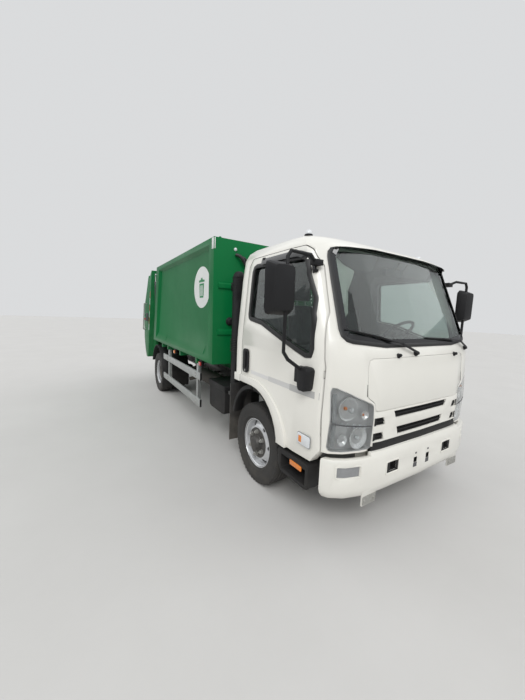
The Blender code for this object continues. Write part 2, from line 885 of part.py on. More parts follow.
def cab_solid(low, high, sides=0.0, front=0.0, back=0.0, drop=0.0, firewall=None):
    """Return the cab's outer form between two heights, moved in by the insets.

    With a firewall, the front is moved in by that instead below the waist."""
    span = CAB_TOP - CAB_BOTTOM
    rows = [CAB_BOTTOM + span * row[0] for row in CAB_SECTION_SHARES]
    rows += [WAIST, WAIST + CAB_WALL] if firewall else []
    inside = sorted(z for z in rows if low + WELD_DISTANCE < z < high - WELD_DISTANCE)
    shrink = (CAB_TOP - drop - WAIST) / (CAB_TOP - WAIST)
    loops = []
    for height in [low, *inside, high]:
        loop = cab_section(height, sides, firewall if firewall and height <= WAIST else front, back)
        level = WAIST + (height - WAIST) * shrink if height > WAIST else height
        loops.append([(x, y, level) for x, y, _ in loop])
    return loft(loops)


def cab_skin(region, outer, inner):
    """Cut a panel out of the cab's surface between two insets, inside a region."""
    if outer:
        region = common(region, cab_solid(CAB_BOTTOM, CAB_TOP, outer, outer, outer, outer))
    else:
        region = common(region, cab_solid(CAB_BOTTOM, CAB_TOP))
    return cut(region, cab_solid(CAB_BOTTOM - OVERRUN, CAB_TOP, inner, inner, inner, inner))


def arch_curve(grow_y, grow_z, start, end):
    """Return the front wheel arch's curve, in side view, moved out from the wheel."""
    return ellipse_arc(ARCH_Y, ARCH_Z, ARCH_LENGTH + grow_y, ARCH_HEIGHT + grow_z, start, end, ARCH_STEPS)


def arch_cutter(side, inner_x, grow):
    """Return the space of a front wheel arch, open to the rear and downwards."""
    curve = arch_curve(grow, grow, math.pi, math.pi / 2)
    bottom = CAB_BOTTOM - OVERRUN
    rear = CAB_REAR + OVERRUN
    outline = [(curve[0][0], bottom), *curve, (rear, ARCH_Z + ARCH_HEIGHT + grow), (rear, bottom)]
    return prism(outline, "x", side * inner_x, side * (CAB_HALF_WIDTH + OVERRUN))


def flare_band(side):
    """Return the raised lip round a front wheel arch."""
    inner = arch_curve(-SINK, -SINK, math.pi, math.pi / 2)
    outer = arch_curve(FLARE_LENGTH, FLARE_HEIGHT, math.pi, math.pi / 2)
    rear = CAB_REAR - CAB_REAR_CORNER * 0.9
    inner_top = ARCH_Z + ARCH_HEIGHT - SINK
    outer_top = ARCH_Z + ARCH_HEIGHT + FLARE_HEIGHT
    outline = [*outer, (rear, outer_top), (rear, inner_top), *inner[::-1]]
    outer_x = CAB_HALF_WIDTH + FLARE_PROUD
    inner_x = CAB_HALF_WIDTH - FLARE_DEPTH
    return prism(outline, "x", side * inner_x, side * outer_x)


def door_outline(grow):
    """Return a door's edge in side view, moved out by a clearance."""
    front = DOOR_FRONT - grow * 2
    points = placed(DOOR_SHARES, front, DOOR_REAR + grow, DOOR_BOTTOM - grow, DOOR_TOP + grow)
    top = rounded(points, DOOR_CORNER)[4:-4]
    step_y = ARCH_LENGTH + RUN_GAP - grow
    step_z = ARCH_HEIGHT + RUN_GAP - grow
    curve = ellipse_arc(ARCH_Y, ARCH_Z, step_y, step_z, math.pi / 2, math.pi, ARCH_STEPS)
    start = placed(DOOR_SHARES[:1], front, DOOR_REAR + grow, DOOR_BOTTOM - grow, DOOR_TOP)[0]
    rear_top = placed(DOOR_SHARES[-1:], front, DOOR_REAR + grow, DOOR_BOTTOM, DOOR_TOP + grow)[0]
    arch = [point for point in curve if point[1] > DOOR_BOTTOM - grow]
    foot = arch[-1][0]
    return [start, *top, rear_top, (DOOR_REAR + grow, arch[0][1]), *arch, (foot, DOOR_BOTTOM - grow)]


def side_region(outline, side, inner_x):
    """Extrude a side-view outline out through one side of the cab."""
    return prism(outline, "x", side * inner_x, side * (CAB_HALF_WIDTH + OVERRUN))


def front_region(outline, rear=SCREEN_REAR):
    """Extrude a front-view outline through the front of the cab."""
    return prism(outline, "y", CAB_FRONT - OVERRUN, rear)


def mirrored_outline(half):
    """Complete the right half of a front-view outline."""
    return list(half) + [(-x, z) for x, z in reversed(half)]


def screen_outline(grow):
    """Return the windscreen's edge in front view, moved out by a margin."""
    half = placed(SCREEN_SHARES, 0, SCREEN_HALF_WIDTH + grow, SCREEN_BOTTOM - grow, SCREEN_TOP + grow)
    return rounded(mirrored_outline(half), SCREEN_CORNER, 3)


def lid_outline(grow):
    """Return the edge of the panel under the windscreen."""
    half = LID_HALF_WIDTH + grow
    foot = LID_FOOT + grow
    right = [(foot, LID_BOTTOM - grow), (foot, LID_FOOT_TOP - grow), (half, LID_SHOULDER - grow),
             (half, LID_TOP + grow)]
    return rounded(mirrored_outline(right), LID_CORNER)


def grille_outline(grow):
    """Return the edge of the lower front panel."""
    half = GRILLE_HALF_WIDTH + grow
    return [(-half, GRILLE_BOTTOM - grow), (half, GRILLE_BOTTOM - grow),
            (half, LID_BOTTOM - PANEL_GAP + grow), (-half, LID_BOTTOM - PANEL_GAP + grow)]


def lamp_outline(side, grow):
    """Return a headlamp's edge in front view."""
    points = [(LAMP_INNER - grow, LAMP_BOTTOM - grow), (LAMP_OUTER + grow, LAMP_BOTTOM - grow),
              (LAMP_OUTER + grow, LAMP_TOP + grow), (LAMP_INNER - grow, LAMP_INNER_TOP + grow)]
    return rounded([(side * x, z) for x, z in points], LAMP_CORNER)


def body_rear(height, setback=0.0):
    """Return the y of the slanted joint between compactor body and tailgate."""
    return BODY_REAR_TOP + (GATE_TOP - height) * BODY_REAR_SLOPE - setback


# Wheels

def tyre(middle_x, middle_y):
    """Return a tyre about its axle."""
    low = SEAT_RADIUS + SEAT_GAP
    half = [(TYRE_WIDTH * w, between(low, TYRE_RADIUS, h)) for w, h in TYRE_SECTION_SHARES]
    profile = half + [(-t, r) for t, r in reversed(half)]
    return turned(profile, "x", (middle_x, middle_y, TYRE_RADIUS))


def rim(middle_x, middle_y, root, offset, outward):
    """Return a rim and its disc; the disc's inboard face lies at the offset."""
    half = TYRE_WIDTH * SEAT_HALF_WIDTH_SHARE + SEAT_GAP
    edge = half + FLANGE_WIDTH
    inside = SEAT_RADIUS - RIM_WALL
    slope = DISC_WALL * 0.9
    profile = [
        (edge, FLANGE_RADIUS), (half, FLANGE_RADIUS), (half, SEAT_RADIUS), (-half, SEAT_RADIUS),
        (-half, FLANGE_RADIUS), (-edge, FLANGE_RADIUS), (-edge, inside),
        (root - slope, inside), (offset, DISC_FLAT), (offset, DISC_BORE),
        (offset + DISC_WALL, DISC_BORE), (offset + DISC_WALL, DISC_FLAT), (root + slope, inside),
        (edge, inside),
    ]
    centre = (middle_x, middle_y, TYRE_RADIUS)
    wheel = turned(profile, "x", centre, flip=outward)
    holes = []
    for index in range(HAND_HOLES):
        turn = math.tau * (index + 0.5) / HAND_HOLES
        y = middle_y + HAND_HOLE_CIRCLE * math.cos(turn)
        z = TYRE_RADIUS + HAND_HOLE_CIRCLE * math.sin(turn)
        reach = outward * (abs(offset) + edge)
        holes.append(rod((middle_x - reach, y, z), (middle_x + reach, y, z), HAND_HOLE_RADIUS,
                         HAND_HOLE_SIDES))
    return cut(wheel, *holes)


def front_wheel(side):
    """Return a front disc wheel with its drum and hub."""
    x = side * FRONT_WHEEL_X
    wheel = rim(x, 0, DISC_OFFSET * 0.45, DISC_OFFSET, side)
    inner = YOKE_WEB_X + YOKE_WEB + BACKPLATE + RUN_GAP - FRONT_WHEEL_X
    face = DISC_OFFSET - DRUM_SETBACK
    nose = DISC_OFFSET + HUB_NOSE
    profile = [
        (inner, DRUM_RADIUS), (face, DRUM_RADIUS), (face, HUB_RADIUS), (nose - DRUM_WALL, HUB_RADIUS),
        (nose, HUB_CAP_RADIUS), (nose, 0), (face, 0), (face, HUB_BORE), (inner + DRUM_WALL, HUB_BORE),
        (inner + DRUM_WALL, HUB_INNER_RADIUS), (face - DRUM_WALL, HUB_INNER_RADIUS),
        (face - DRUM_WALL, DRUM_RADIUS - DRUM_WALL), (inner, DRUM_RADIUS - DRUM_WALL),
    ]
    hub = turned(profile, "x", (x, 0, TYRE_RADIUS), HUB_SEGMENTS, side)
    return joined(wheel, hub)


def rear_wheel(side):
    """Return a pair of twin discs on one hub with its drum."""
    x = side * REAR_WHEEL_X
    half = TWIN_SPACING / 2
    root = DISC_OFFSET * 0.30
    outer = rim(x + side * half, WHEELBASE, -root, -half - SINK, side)
    inner = rim(x - side * half, WHEELBASE, -root, -half - SINK, -side)
    start = -half - SPINDLE_RADIUS
    face = -DISC_WALL - DRUM_SETBACK
    nose = half + HUB_NOSE / 2
    profile = [
        (start, DRUM_RADIUS), (face, DRUM_RADIUS), (face, HUB_RADIUS), (nose - DRUM_WALL, HUB_RADIUS),
        (nose, HUB_CAP_RADIUS), (nose, 0), (half / 2, 0), (half / 2, HUB_BORE),
        (start + DRUM_WALL, HUB_BORE), (start + DRUM_WALL, HUB_INNER_RADIUS),
        (face - DRUM_WALL, HUB_INNER_RADIUS), (face - DRUM_WALL, DRUM_RADIUS - DRUM_WALL),
        (start, DRUM_RADIUS - DRUM_WALL),
    ]
    hub = turned(profile, "x", (x, WHEELBASE, TYRE_RADIUS), HUB_SEGMENTS, side)
    return joined(outer, inner, hub)


# Axles, springs and steering

def leaf_spring(x, y, seat, reach):
    """Return a pack of leaves with an eye at each end."""
    thickness = LEAF * len(LEAF_SHARES)
    edge = [reach * share for share in LEAF_SHARES]

    def top(place):
        return seat + thickness + SPRING_RISE * (place / reach) ** 2

    places = [between(-reach, reach, step / (2 * SPRING_STEPS)) for step in range(2 * SPRING_STEPS + 1)]
    lower = []
    for index in range(len(edge)):
        lower.append((edge[index], LEAF * (index + 1)))
        if index:
            lower.insert(-1, (edge[index], LEAF * index))
    right = [(place, top(place) - depth) for place, depth in lower]
    left = [(-place, z) for place, z in reversed(right)]
    outline = [(place, top(place)) for place in places] + right + left
    pack = prism([(y + a, z) for a, z in outline], "x", x - SPRING_WIDTH / 2, x + SPRING_WIDTH / 2)
    eye_z = top(reach) - LEAF / 2
    eyes = [rod((x - SPRING_WIDTH / 2, y + end * reach, eye_z),
                (x + SPRING_WIDTH / 2, y + end * reach, eye_z),
                SPRING_EYE, 8) for end in (-1, 1)]
    half = SPRING_CLAMP / 2
    clamp = box(x - SPRING_WIDTH / 2 - LEAF, x + SPRING_WIDTH / 2 + LEAF, y - half, y + half,
                seat - LEAF, seat + thickness + LEAF)
    return joined(pack, *eyes, clamp)


def eye_top(seat):
    """Return the height of the top of a spring's eyes."""
    return seat + LEAF * len(LEAF_SHARES) + SPRING_RISE - LEAF / 2 + SPRING_EYE


FRONT_SPRING_SEAT = TYRE_RADIUS - AXLE_DROP + BEAM_DEPTH / 2
REAR_SPRING_SEAT = TYRE_RADIUS + AXLE_TUBE_RADIUS


def front_axle():
    """Return the dropped axle beam with its two spring packs."""
    top = TYRE_RADIUS + BEAM_DEPTH / 2
    drop_x = KINGPIN_X * 0.76
    end_x = KINGPIN_X - BOSS_RADIUS / 2
    half = [(end_x, top), (drop_x, top - AXLE_DROP)]
    upper = half + [(-x, z) for x, z in reversed(half)]
    lower = [(x, z - BEAM_DEPTH) for x, z in reversed(upper)]
    beam = prism(upper + lower, "y", -BEAM_WIDTH / 2, BEAM_WIDTH / 2)
    flute_z = top - AXLE_DROP - BEAM_DEPTH / 2
    for face in (-1, 1):
        edge = face * BEAM_WIDTH / 2
        beam = cut(beam, box(-drop_x * 0.9, drop_x * 0.9, min(edge, edge - face * BEAM_FLUTE) - SINK,
                             max(edge, edge - face * BEAM_FLUTE) + SINK,
                             flute_z - BEAM_DEPTH / 4, flute_z + BEAM_DEPTH / 4))
    bosses = [rod((side * KINGPIN_X, 0, TYRE_RADIUS - BOSS_HEIGHT / 2),
                  (side * KINGPIN_X, 0, TYRE_RADIUS + BOSS_HEIGHT / 2), BOSS_RADIUS) for _, side in SIDES]
    springs = [leaf_spring(side * SPRING_X, 0, FRONT_SPRING_SEAT, FRONT_SPRING_REACH)
               for _, side in SIDES]
    return joined(beam, *bosses, *springs)


def knuckle(side):
    """Return a steering knuckle: yoke, spindle, brake backplate and arm."""
    half = BOSS_HEIGHT / 2 + PIN_GAP
    middle = side * KINGPIN_X
    web = (side * YOKE_WEB_X, side * (YOKE_WEB_X + YOKE_WEB))
    parts = []
    for end in (-1, 1):
        low, high = sorted((TYRE_RADIUS + end * half, TYRE_RADIUS + end * (half + YOKE_PLATE)))
        parts.append(box(middle - side * BOSS_RADIUS, web[1] - side * SINK, -BOSS_RADIUS, BOSS_RADIUS,
                         low, high))
    reach = half + YOKE_PLATE
    parts.append(box(*web, -BOSS_RADIUS, BOSS_RADIUS, TYRE_RADIUS - reach + SINK,
                     TYRE_RADIUS + reach - SINK))
    plate_x = web[1]
    parts.append(rod((plate_x - side * SINK, 0, TYRE_RADIUS),
                     (plate_x + side * BACKPLATE, 0, TYRE_RADIUS),
                     BACKPLATE_RADIUS, 16))
    parts.append(rod((plate_x, 0, TYRE_RADIUS), (plate_x + side * SPINDLE_REACH, 0, TYRE_RADIUS),
                     SPINDLE_RADIUS,
                     SPINDLE_SIDES))
    arm_low = TYRE_RADIUS - reach
    parts.append(box(middle - side * ROD_END_RADIUS, middle + side * ROD_END_RADIUS, 0, STEERING_ARM,
                     arm_low + SINK, arm_low + YOKE_PLATE - SINK))
    parts.append(rod((middle, STEERING_ARM, arm_low), (middle, STEERING_ARM, arm_low + YOKE_PLATE),
                     ROD_END_RADIUS * 1.2))
    return joined(*parts)


def track_rod():
    """Return the rod that joins the two steering arms."""
    low = TYRE_RADIUS - BOSS_HEIGHT / 2 - PIN_GAP + SEAT_GAP * 2
    z = low + ROD_END_HEIGHT / 2
    bar = rod((-KINGPIN_X, STEERING_ARM, z), (KINGPIN_X, STEERING_ARM, z), TRACK_ROD_RADIUS, 12)
    ends = [rod((side * KINGPIN_X, STEERING_ARM, low),
                (side * KINGPIN_X, STEERING_ARM, low + ROD_END_HEIGHT),
                ROD_END_RADIUS) for _, side in SIDES]
    return joined(bar, *ends)


def rear_axle():
    """Return the banjo axle with its spring packs, backplates and spindles."""
    plate_x = REAR_WHEEL_X - TWIN_SPACING / 2 - SPINDLE_RADIUS - RUN_GAP
    tip = plate_x + TWIN_SPACING * 0.70
    half = [
        (0, BANJO_RADIUS), (BANJO_HALF_WIDTH * 0.6, BANJO_RADIUS * 0.96),
        (BANJO_HALF_WIDTH, BANJO_RADIUS * 0.75),
        (BANJO_SHOULDER, AXLE_TUBE_RADIUS), (plate_x - BACKPLATE, AXLE_TUBE_RADIUS),
        (plate_x - BACKPLATE, BACKPLATE_RADIUS), (plate_x, BACKPLATE_RADIUS), (plate_x, SPINDLE_RADIUS),
        (tip, SPINDLE_RADIUS), (tip, 0),
    ]
    profile = [(-x, r) for x, r in reversed(half[1:])] + half
    housing = turned(profile, "x", (0, WHEELBASE, TYRE_RADIUS), SPINDLE_SIDES)
    nose = turned([(0, 0), (0, BANJO_RADIUS * 0.7), (PINION_REACH * 0.55, PINION_RADIUS * 1.4),
                   (PINION_REACH, PINION_RADIUS), (PINION_REACH, 0)], "y", (0, WHEELBASE, TYRE_RADIUS),
                   12, -1)
    springs = [leaf_spring(side * SPRING_X, WHEELBASE, REAR_SPRING_SEAT - LEAF / 2, REAR_SPRING_REACH)
               for _, side in SIDES]
    return joined(housing, nose, *springs)


def propeller_shaft():
    """Return the shaft from the gearbox to the rear axle's pinion."""
    start = Vector((0, GEARBOX_REAR + SEAT_GAP, SHAFT_Z))
    end = Vector((0, WHEELBASE - PINION_REACH - SEAT_GAP * 10, TYRE_RADIUS))
    along = (end - start).normalized()
    yoke = SHAFT_RADIUS * 1.9
    shaft = rod(start + along * SHAFT_RADIUS, end - along * SHAFT_RADIUS, SHAFT_RADIUS, 14)
    flange = rod(start, start + Vector((0, SHAFT_RADIUS * 1.3, 0)), yoke * 0.8, 14)
    rear = rod(end - Vector((0, SHAFT_RADIUS * 1.3, 0)), end, yoke * 0.8, 14)
    return joined(shaft, flange, rear)


# Frame and what hangs on it

def frame_rail(side):
    """Return one channel of the ladder frame."""
    edge = RAIL_OUTER - RAIL_FLANGE
    web = RAIL_OUTER - RAIL_WALL
    low, high = RAIL_BOTTOM + RAIL_WALL, RAIL_TOP - RAIL_WALL
    channel = [(edge, RAIL_BOTTOM), (RAIL_OUTER, RAIL_BOTTOM), (RAIL_OUTER, RAIL_TOP), (edge, RAIL_TOP),
               (edge, high), (web, high), (web, low), (edge, low)]
    return prism([(side * x, z) for x, z in channel], "y", RAIL_FRONT, RAIL_REAR)


def pivot_bracket(side):
    """Return the bracket at a rail's front end with the cab's tilt pin."""
    eye = PIVOT_EYE
    outline = [
        (RAIL_FRONT + OVERRUN, RAIL_TOP - RAIL_WALL * 2), (RAIL_FRONT - SINK, RAIL_TOP - RAIL_WALL * 2),
        (PIVOT_Y - eye * 0.8, PIVOT_Z + eye), (PIVOT_Y - eye * 0.8, PIVOT_Z - eye * 0.6),
        (PIVOT_Y + eye, PIVOT_Z - eye * 0.6), (RAIL_FRONT + OVERRUN * 2, RAIL_BOTTOM + RAIL_WALL / 2),
    ]
    plate = prism(outline, "x", side * (RAIL_OUTER - RAIL_FLANGE), side * (RAIL_OUTER + SINK))
    end = RAIL_OUTER + PIVOT_ARM + RUN_GAP
    pin = rod((side * (RAIL_OUTER - RAIL_FLANGE / 2), PIVOT_Y, PIVOT_Z), (side * end, PIVOT_Y, PIVOT_Z),
              PIVOT_PIN)
    return joined(plate, pin)


def spring_hangers(side):
    """Return the four blocks that hold the spring eyes under one rail."""
    blocks = []
    for middle, seat, reach in ((0, FRONT_SPRING_SEAT, FRONT_SPRING_REACH),
                                (WHEELBASE, REAR_SPRING_SEAT - LEAF / 2, REAR_SPRING_REACH)):
        for end in (-1, 1):
            y = middle + end * reach
            low = eye_top(seat) + SEAT_GAP
            blocks.append(box(side * (RAIL_OUTER - RAIL_FLANGE), side * (RAIL_OUTER - SINK),
                              y - HANGER_THICKNESS / 2, y + HANGER_THICKNESS / 2, low,
                              RAIL_BOTTOM + SINK))
    return blocks


def mud_flap(side):
    """Return the flap behind a front wheel on its bar from the rail."""
    y_bar = FLAP_Y + FLAP
    bar = box(side * (RAIL_OUTER - RAIL_WALL / 2), side * FLAP_OUTER, y_bar - SINK, y_bar + FLAP_BAR * 2,
              RAIL_TOP - FLAP_BAR * 3, RAIL_TOP - FLAP_BAR)
    flap = box(side * FLAP_INNER, side * (FLAP_OUTER - SINK), FLAP_Y, y_bar, FLAP_BOTTOM, FLAP_TOP)
    return joined(bar, flap)


def chassis_frame():
    """Return the ladder frame with its brackets."""
    inner = RAIL_OUTER - RAIL_WALL / 2
    members = [box(-inner, inner, y, y + CROSS_MEMBER_LENGTH, RAIL_BOTTOM + CROSS_MEMBER_INSET,
                   RAIL_BOTTOM + (RAIL_TOP - RAIL_BOTTOM) * 0.42) if y < 0 else
               box(-inner, inner, y, y + CROSS_MEMBER_LENGTH, RAIL_BOTTOM + CROSS_MEMBER_INSET * 5,
                   RAIL_TOP - CROSS_MEMBER_INSET) for y in CROSS_MEMBER_PLACES]
    frame = joined(frame_rail(-1), *members, frame_rail(1))
    extras = []
    for _, side in SIDES:
        extras.append(pivot_bracket(side))
        extras.extend(spring_hangers(side))
        extras.append(mud_flap(side))
        extras.append(box(side * REST_INNER, side * (RAIL_OUTER - SINK), REST_Y, REST_Y + REST_LENGTH,
                          RAIL_TOP - SINK, TUNNEL_TOP - REST_BEAM / 2))
    extras.append(box(-RAIL_OUTER, RAIL_OUTER, REST_Y - SINK, REST_Y + REST_LENGTH + SINK,
                      TUNNEL_TOP - REST_BEAM, TUNNEL_TOP - SEAT_GAP * 2))
    return joined(frame, *extras)


def engine_block():
    """Return engine and gearbox as one plain block."""
    low, high = ENGINE_BOTTOM, ENGINE_TOP
    width = ENGINE_HALF_WIDTH
    chamfer = width * 0.35
    outline = [(-width * 0.6, low), (width * 0.6, low), (width, low + chamfer),
               (width, high - chamfer / 2),
               (width - chamfer, high), (-width + chamfer, high), (-width, high - chamfer / 2),
               (-width, low + chamfer)]
    block = prism(outline, "y", ENGINE_FRONT, ENGINE_REAR)
    gearbox = turned([(0, 0), (0, GEARBOX_RADIUS), (GEARBOX_REAR * 0.35, GEARBOX_RADIUS),
                      (GEARBOX_REAR * 0.5, GEARBOX_RADIUS * 0.75),
                      (GEARBOX_REAR - ENGINE_REAR + SINK, GEARBOX_RADIUS / 2),
                      (GEARBOX_REAR - ENGINE_REAR + SINK, 0)], "y", (0, ENGINE_REAR - SINK, SHAFT_Z), 16)
    mounts = [box(side * (width - chamfer), side * (RAIL_OUTER - RAIL_WALL - SEAT_GAP),
                  ENGINE_FRONT + chamfer,
                  ENGINE_FRONT + chamfer * 2, RAIL_BOTTOM + RAIL_WALL + SEAT_GAP, RAIL_BOTTOM + chamfer)
              for _, side in SIDES]
    return joined(block, gearbox, *mounts)


def hung_box(side, front, rear, low, high):
    """Return a rounded box with the brackets that hold it to a rail."""
    outline = rounded([(front, low), (rear, low), (rear, high), (front, high)], TANK_CORNER)
    tank = prism(outline, "x", side * TANK_INNER, side * TANK_OUTER)
    brackets = []
    for share in (0.22, 0.78):
        y = between(front, rear, share)
        brackets.append(box(side * (RAIL_OUTER + SEAT_GAP), side * (TANK_INNER + SINK), y - BRACKET / 2,
                            y + BRACKET / 2,
                            max(RAIL_BOTTOM, low) + BRACKET, min(RAIL_TOP, high) - BRACKET))
    return joined(tank, *brackets)


def fuel_tank():
    """Return the fuel tank with two straps round it."""
    tank = hung_box(1, TANK_FRONT, TANK_REAR, TANK_BOTTOM, TANK_TOP)
    straps = []
    strap = BRACKET / 8
    for share in (0.22, 0.78):
        y = between(TANK_FRONT, TANK_REAR, share)
        straps.append(box(TANK_INNER + BRACKET, TANK_OUTER + strap, y - BRACKET / 2, y + BRACKET / 2,
                          TANK_BOTTOM - strap, TANK_TOP + strap))
    cap_y = between(TANK_FRONT, TANK_REAR, 0.5)
    cap = rod((TANK_OUTER - BRACKET * 2, cap_y, TANK_TOP - SINK),
              (TANK_OUTER - BRACKET * 2, cap_y, TANK_TOP + BRACKET),
              BRACKET)
    return joined(tank, *straps, cap)


def battery_box():
    """Return the battery box with its ribbed lid."""
    case = hung_box(-1, BATTERY_FRONT, BATTERY_REAR, BATTERY_BOTTOM, BATTERY_TOP)
    lid = box(-TANK_INNER - BRACKET / 2, -TANK_OUTER - BRACKET / 4, BATTERY_FRONT - BRACKET / 4,
              BATTERY_REAR + BRACKET / 4, BATTERY_TOP - BRACKET, BATTERY_TOP + BRACKET / 2)
    return joined(case, lid)


def silencer():
    """Return the exhaust silencer, its pipes and its hangers."""
    centre = (-SILENCER_X, SILENCER_FRONT, SILENCER_Z)
    length = SILENCER_REAR - SILENCER_FRONT
    bulge = SILENCER_RADIUS * 0.25
    can = turned([(0, 0), (0, SILENCER_RADIUS - bulge), (bulge, SILENCER_RADIUS),
                  (length - bulge, SILENCER_RADIUS),
                  (length, SILENCER_RADIUS - bulge), (length, 0)], "y", centre, 20)
    tail = tube([(-SILENCER_X, SILENCER_REAR - SINK, SILENCER_Z),
                 (-SILENCER_X, SILENCER_REAR + PIPE_RADIUS * 3, SILENCER_Z),
                 (-SILENCER_X * 1.1, SILENCER_REAR + PIPE_RADIUS * 7, SILENCER_Z - PIPE_RADIUS * 3),
                 (-SILENCER_X * 1.25, SILENCER_REAR + PIPE_RADIUS * 9, SILENCER_Z - PIPE_RADIUS * 4)],
                 PIPE_RADIUS)
    hangers = [box(-RAIL_OUTER - SEAT_GAP, -SILENCER_X, y - BRACKET / 2, y + BRACKET / 2,
                   SILENCER_Z + BRACKET,
                   SILENCER_Z + BRACKET * 1.6) for y in (SILENCER_FRONT + BRACKET * 4,
                                                         SILENCER_REAR - BRACKET * 4)]
    return joined(can, tail, *hangers)


def bumper_loop(height, inset):
    """Return one level outline of the bumper, open at its ends by the cutter."""
    half = BUMPER_HALF_WIDTH - inset
    loop = []
    for step in range(CAB_FRONT_STEPS + 1):
        turn = between(-math.pi / 2, math.pi / 2, step / CAB_FRONT_STEPS)
        x = half * math.copysign(abs(math.sin(turn)) ** (2 / CAB_FRONT_POWER), turn)
        y = -FRONT_OVERHANG + inset + BUMPER_DEPTH * (1 - abs(math.cos(turn)) ** (2 / CAB_FRONT_POWER))
        loop.append((x, y, height))
    return loop


def bumper():
    """Return the front bumper with its openings, arms and foot tabs."""
    top = BUMPER_TOP + BUMPER_STEP
    heights = [(between(BUMPER_BOTTOM, top, h), BUMPER_WALL * s) for h, s in BUMPER_SECTION_SHARES]
    shell = loft([bumper_loop(z, inset) for z, inset in heights])
    hollow = loft([bumper_loop(z, inset + BUMPER_WALL) for z, inset in
                   ((BUMPER_BOTTOM - OVERRUN, 0), (top + OVERRUN, 0))])
    trims = [box(side * BUMPER_STEP_HALF_WIDTH, side * (BUMPER_HALF_WIDTH + OVERRUN),
                 -FRONT_OVERHANG - OVERRUN, 0,
                 BUMPER_TOP, top + OVERRUN) for _, side in SIDES]
    trims.append(box(-BUMPER_HALF_WIDTH - OVERRUN, BUMPER_HALF_WIDTH + OVERRUN, BUMPER_END, OVERRUN,
                     BUMPER_BOTTOM - OVERRUN, top + OVERRUN))
    front = -FRONT_OVERHANG - OVERRUN
    for _, side in SIDES:
        x = side * TOW_X
        trims.append(box(x - TOW_SIZE / 2, x + TOW_SIZE / 2, front, PIVOT_Y, TOW_Z, TOW_Z + TOW_SIZE))
        x = side * PLATE_HOLE_X
        trims.append(box(x - PLATE_HOLE / 2, x + PLATE_HOLE / 2, front, PIVOT_Y,
                         PLATE_HOLE_Z - PLATE_HOLE / 2,
                         PLATE_HOLE_Z + PLATE_HOLE / 2))
    shell = cut(shell, hollow, *trims)
    extras = []
    for _, side in SIDES:
        arm_x = RAIL_OUTER - RAIL_FLANGE / 2
        extras.append(box(side * (arm_x - RAIL_FLANGE / 2), side * (arm_x + RAIL_FLANGE / 2),
                          -FRONT_OVERHANG + BUMPER_WALL - SINK * 2, PIVOT_Y - PIVOT_EYE * 0.8 - SEAT_GAP,
                          PIVOT_Z - PIVOT_EYE * 0.5, PIVOT_Z + PIVOT_EYE * 0.3))
        x = side * TAB_X
        extras.append(box(x - TAB_WIDTH / 2, x + TAB_WIDTH / 2, TAB_Y - TAB_THICKNESS * 4,
                          TAB_Y - TAB_THICKNESS * 3,
                          TAB_BOTTOM, BUMPER_BOTTOM + BUMPER_WALL))
    return joined(shell, *extras)


def fog_cutters():
    """Return the two fog lamp recesses."""
    return [prism([(side * (FOG_X - FOG_HALF_WIDTH), FOG_BOTTOM),
                   (side * (FOG_X + FOG_HALF_WIDTH), FOG_BOTTOM),
                   (side * (FOG_X + FOG_HALF_WIDTH), FOG_BOTTOM + FOG_HEIGHT),
                   (side * (FOG_X - FOG_HALF_WIDTH), FOG_BOTTOM + FOG_HEIGHT)], "y",
                  -FRONT_OVERHANG - OVERRUN, BUMPER_END - BUMPER_WALL) for _, side in SIDES]


def air_intake():
    """Return the intake column behind the cab with the air cleaner under it."""
    rear = INTAKE_FRONT + INTAKE_LENGTH
    outline = rounded([(-INTAKE_OUTER, INTAKE_FRONT), (-INTAKE_INNER, INTAKE_FRONT),
                       (-INTAKE_INNER, rear),
                       (-INTAKE_OUTER, rear)], INTAKE_LENGTH / 4)
    shoulder = INTAKE_TOP - INTAKE_LENGTH * 0.45
    middle_x = -(INTAKE_INNER + INTAKE_OUTER) / 2
    middle_y = (INTAKE_FRONT + rear) / 2
    levels = ((CLEANER_BOTTOM + SINK, 1.0), (shoulder, 1.0), (between(shoulder, INTAKE_TOP, 0.6), 0.86),
              (INTAKE_TOP, 0.55))
    column = loft([[(middle_x + (x - middle_x) * size, middle_y + (y - middle_y) * size, z)
                    for x, y in outline] for z, size in levels])
    cleaner_outline = rounded([(INTAKE_FRONT + SINK, CLEANER_BOTTOM),
                               (INTAKE_FRONT + CLEANER_LENGTH, CLEANER_BOTTOM),
                               (INTAKE_FRONT + CLEANER_LENGTH, CLEANER_TOP),
                               (INTAKE_FRONT + SINK, CLEANER_TOP)],
                              TANK_CORNER)
    cleaner = prism(cleaner_outline, "x", -CLEANER_INNER, -INTAKE_INNER - SINK)
    foot_x = RAIL_OUTER - RAIL_WALL
    foot = box(-foot_x + BRACKET, -CLEANER_INNER - BRACKET, middle_y, middle_y + BRACKET,
               RAIL_TOP + SEAT_GAP,
               RAIL_TOP + BRACKET / 2)
    riser = box(-CLEANER_INNER, -CLEANER_INNER - BRACKET, middle_y, middle_y + BRACKET,
                RAIL_TOP + BRACKET / 4,
                CLEANER_BOTTOM + SINK)
    return joined(column, cleaner, foot, riser)


# Cab

def cab_cavity():
    """Return the hollow of the cab: upper room, footwells and the step over the wheels."""
    room = cab_solid(CAB_SKIRT + FLOOR_THICKNESS, CAB_TOP, CAB_WALL, CAB_WALL, CAB_WALL, CAB_WALL,
                     CAB_FIREWALL)
    side_wall = TUNNEL_HALF_WIDTH + FLOOR_THICKNESS
    blocks = [
        box(-side_wall, side_wall, CAB_FRONT - OVERRUN, CAB_REAR + OVERRUN, CAB_BOTTOM, SEAT_FLOOR),
        box(-CAB_HALF_WIDTH - OVERRUN, CAB_HALF_WIDTH + OVERRUN, FOOTWELL_REAR, CAB_REAR + OVERRUN,
            CAB_BOTTOM,
            SEAT_FLOOR + SINK),
    ]
    return cut(room, *blocks)


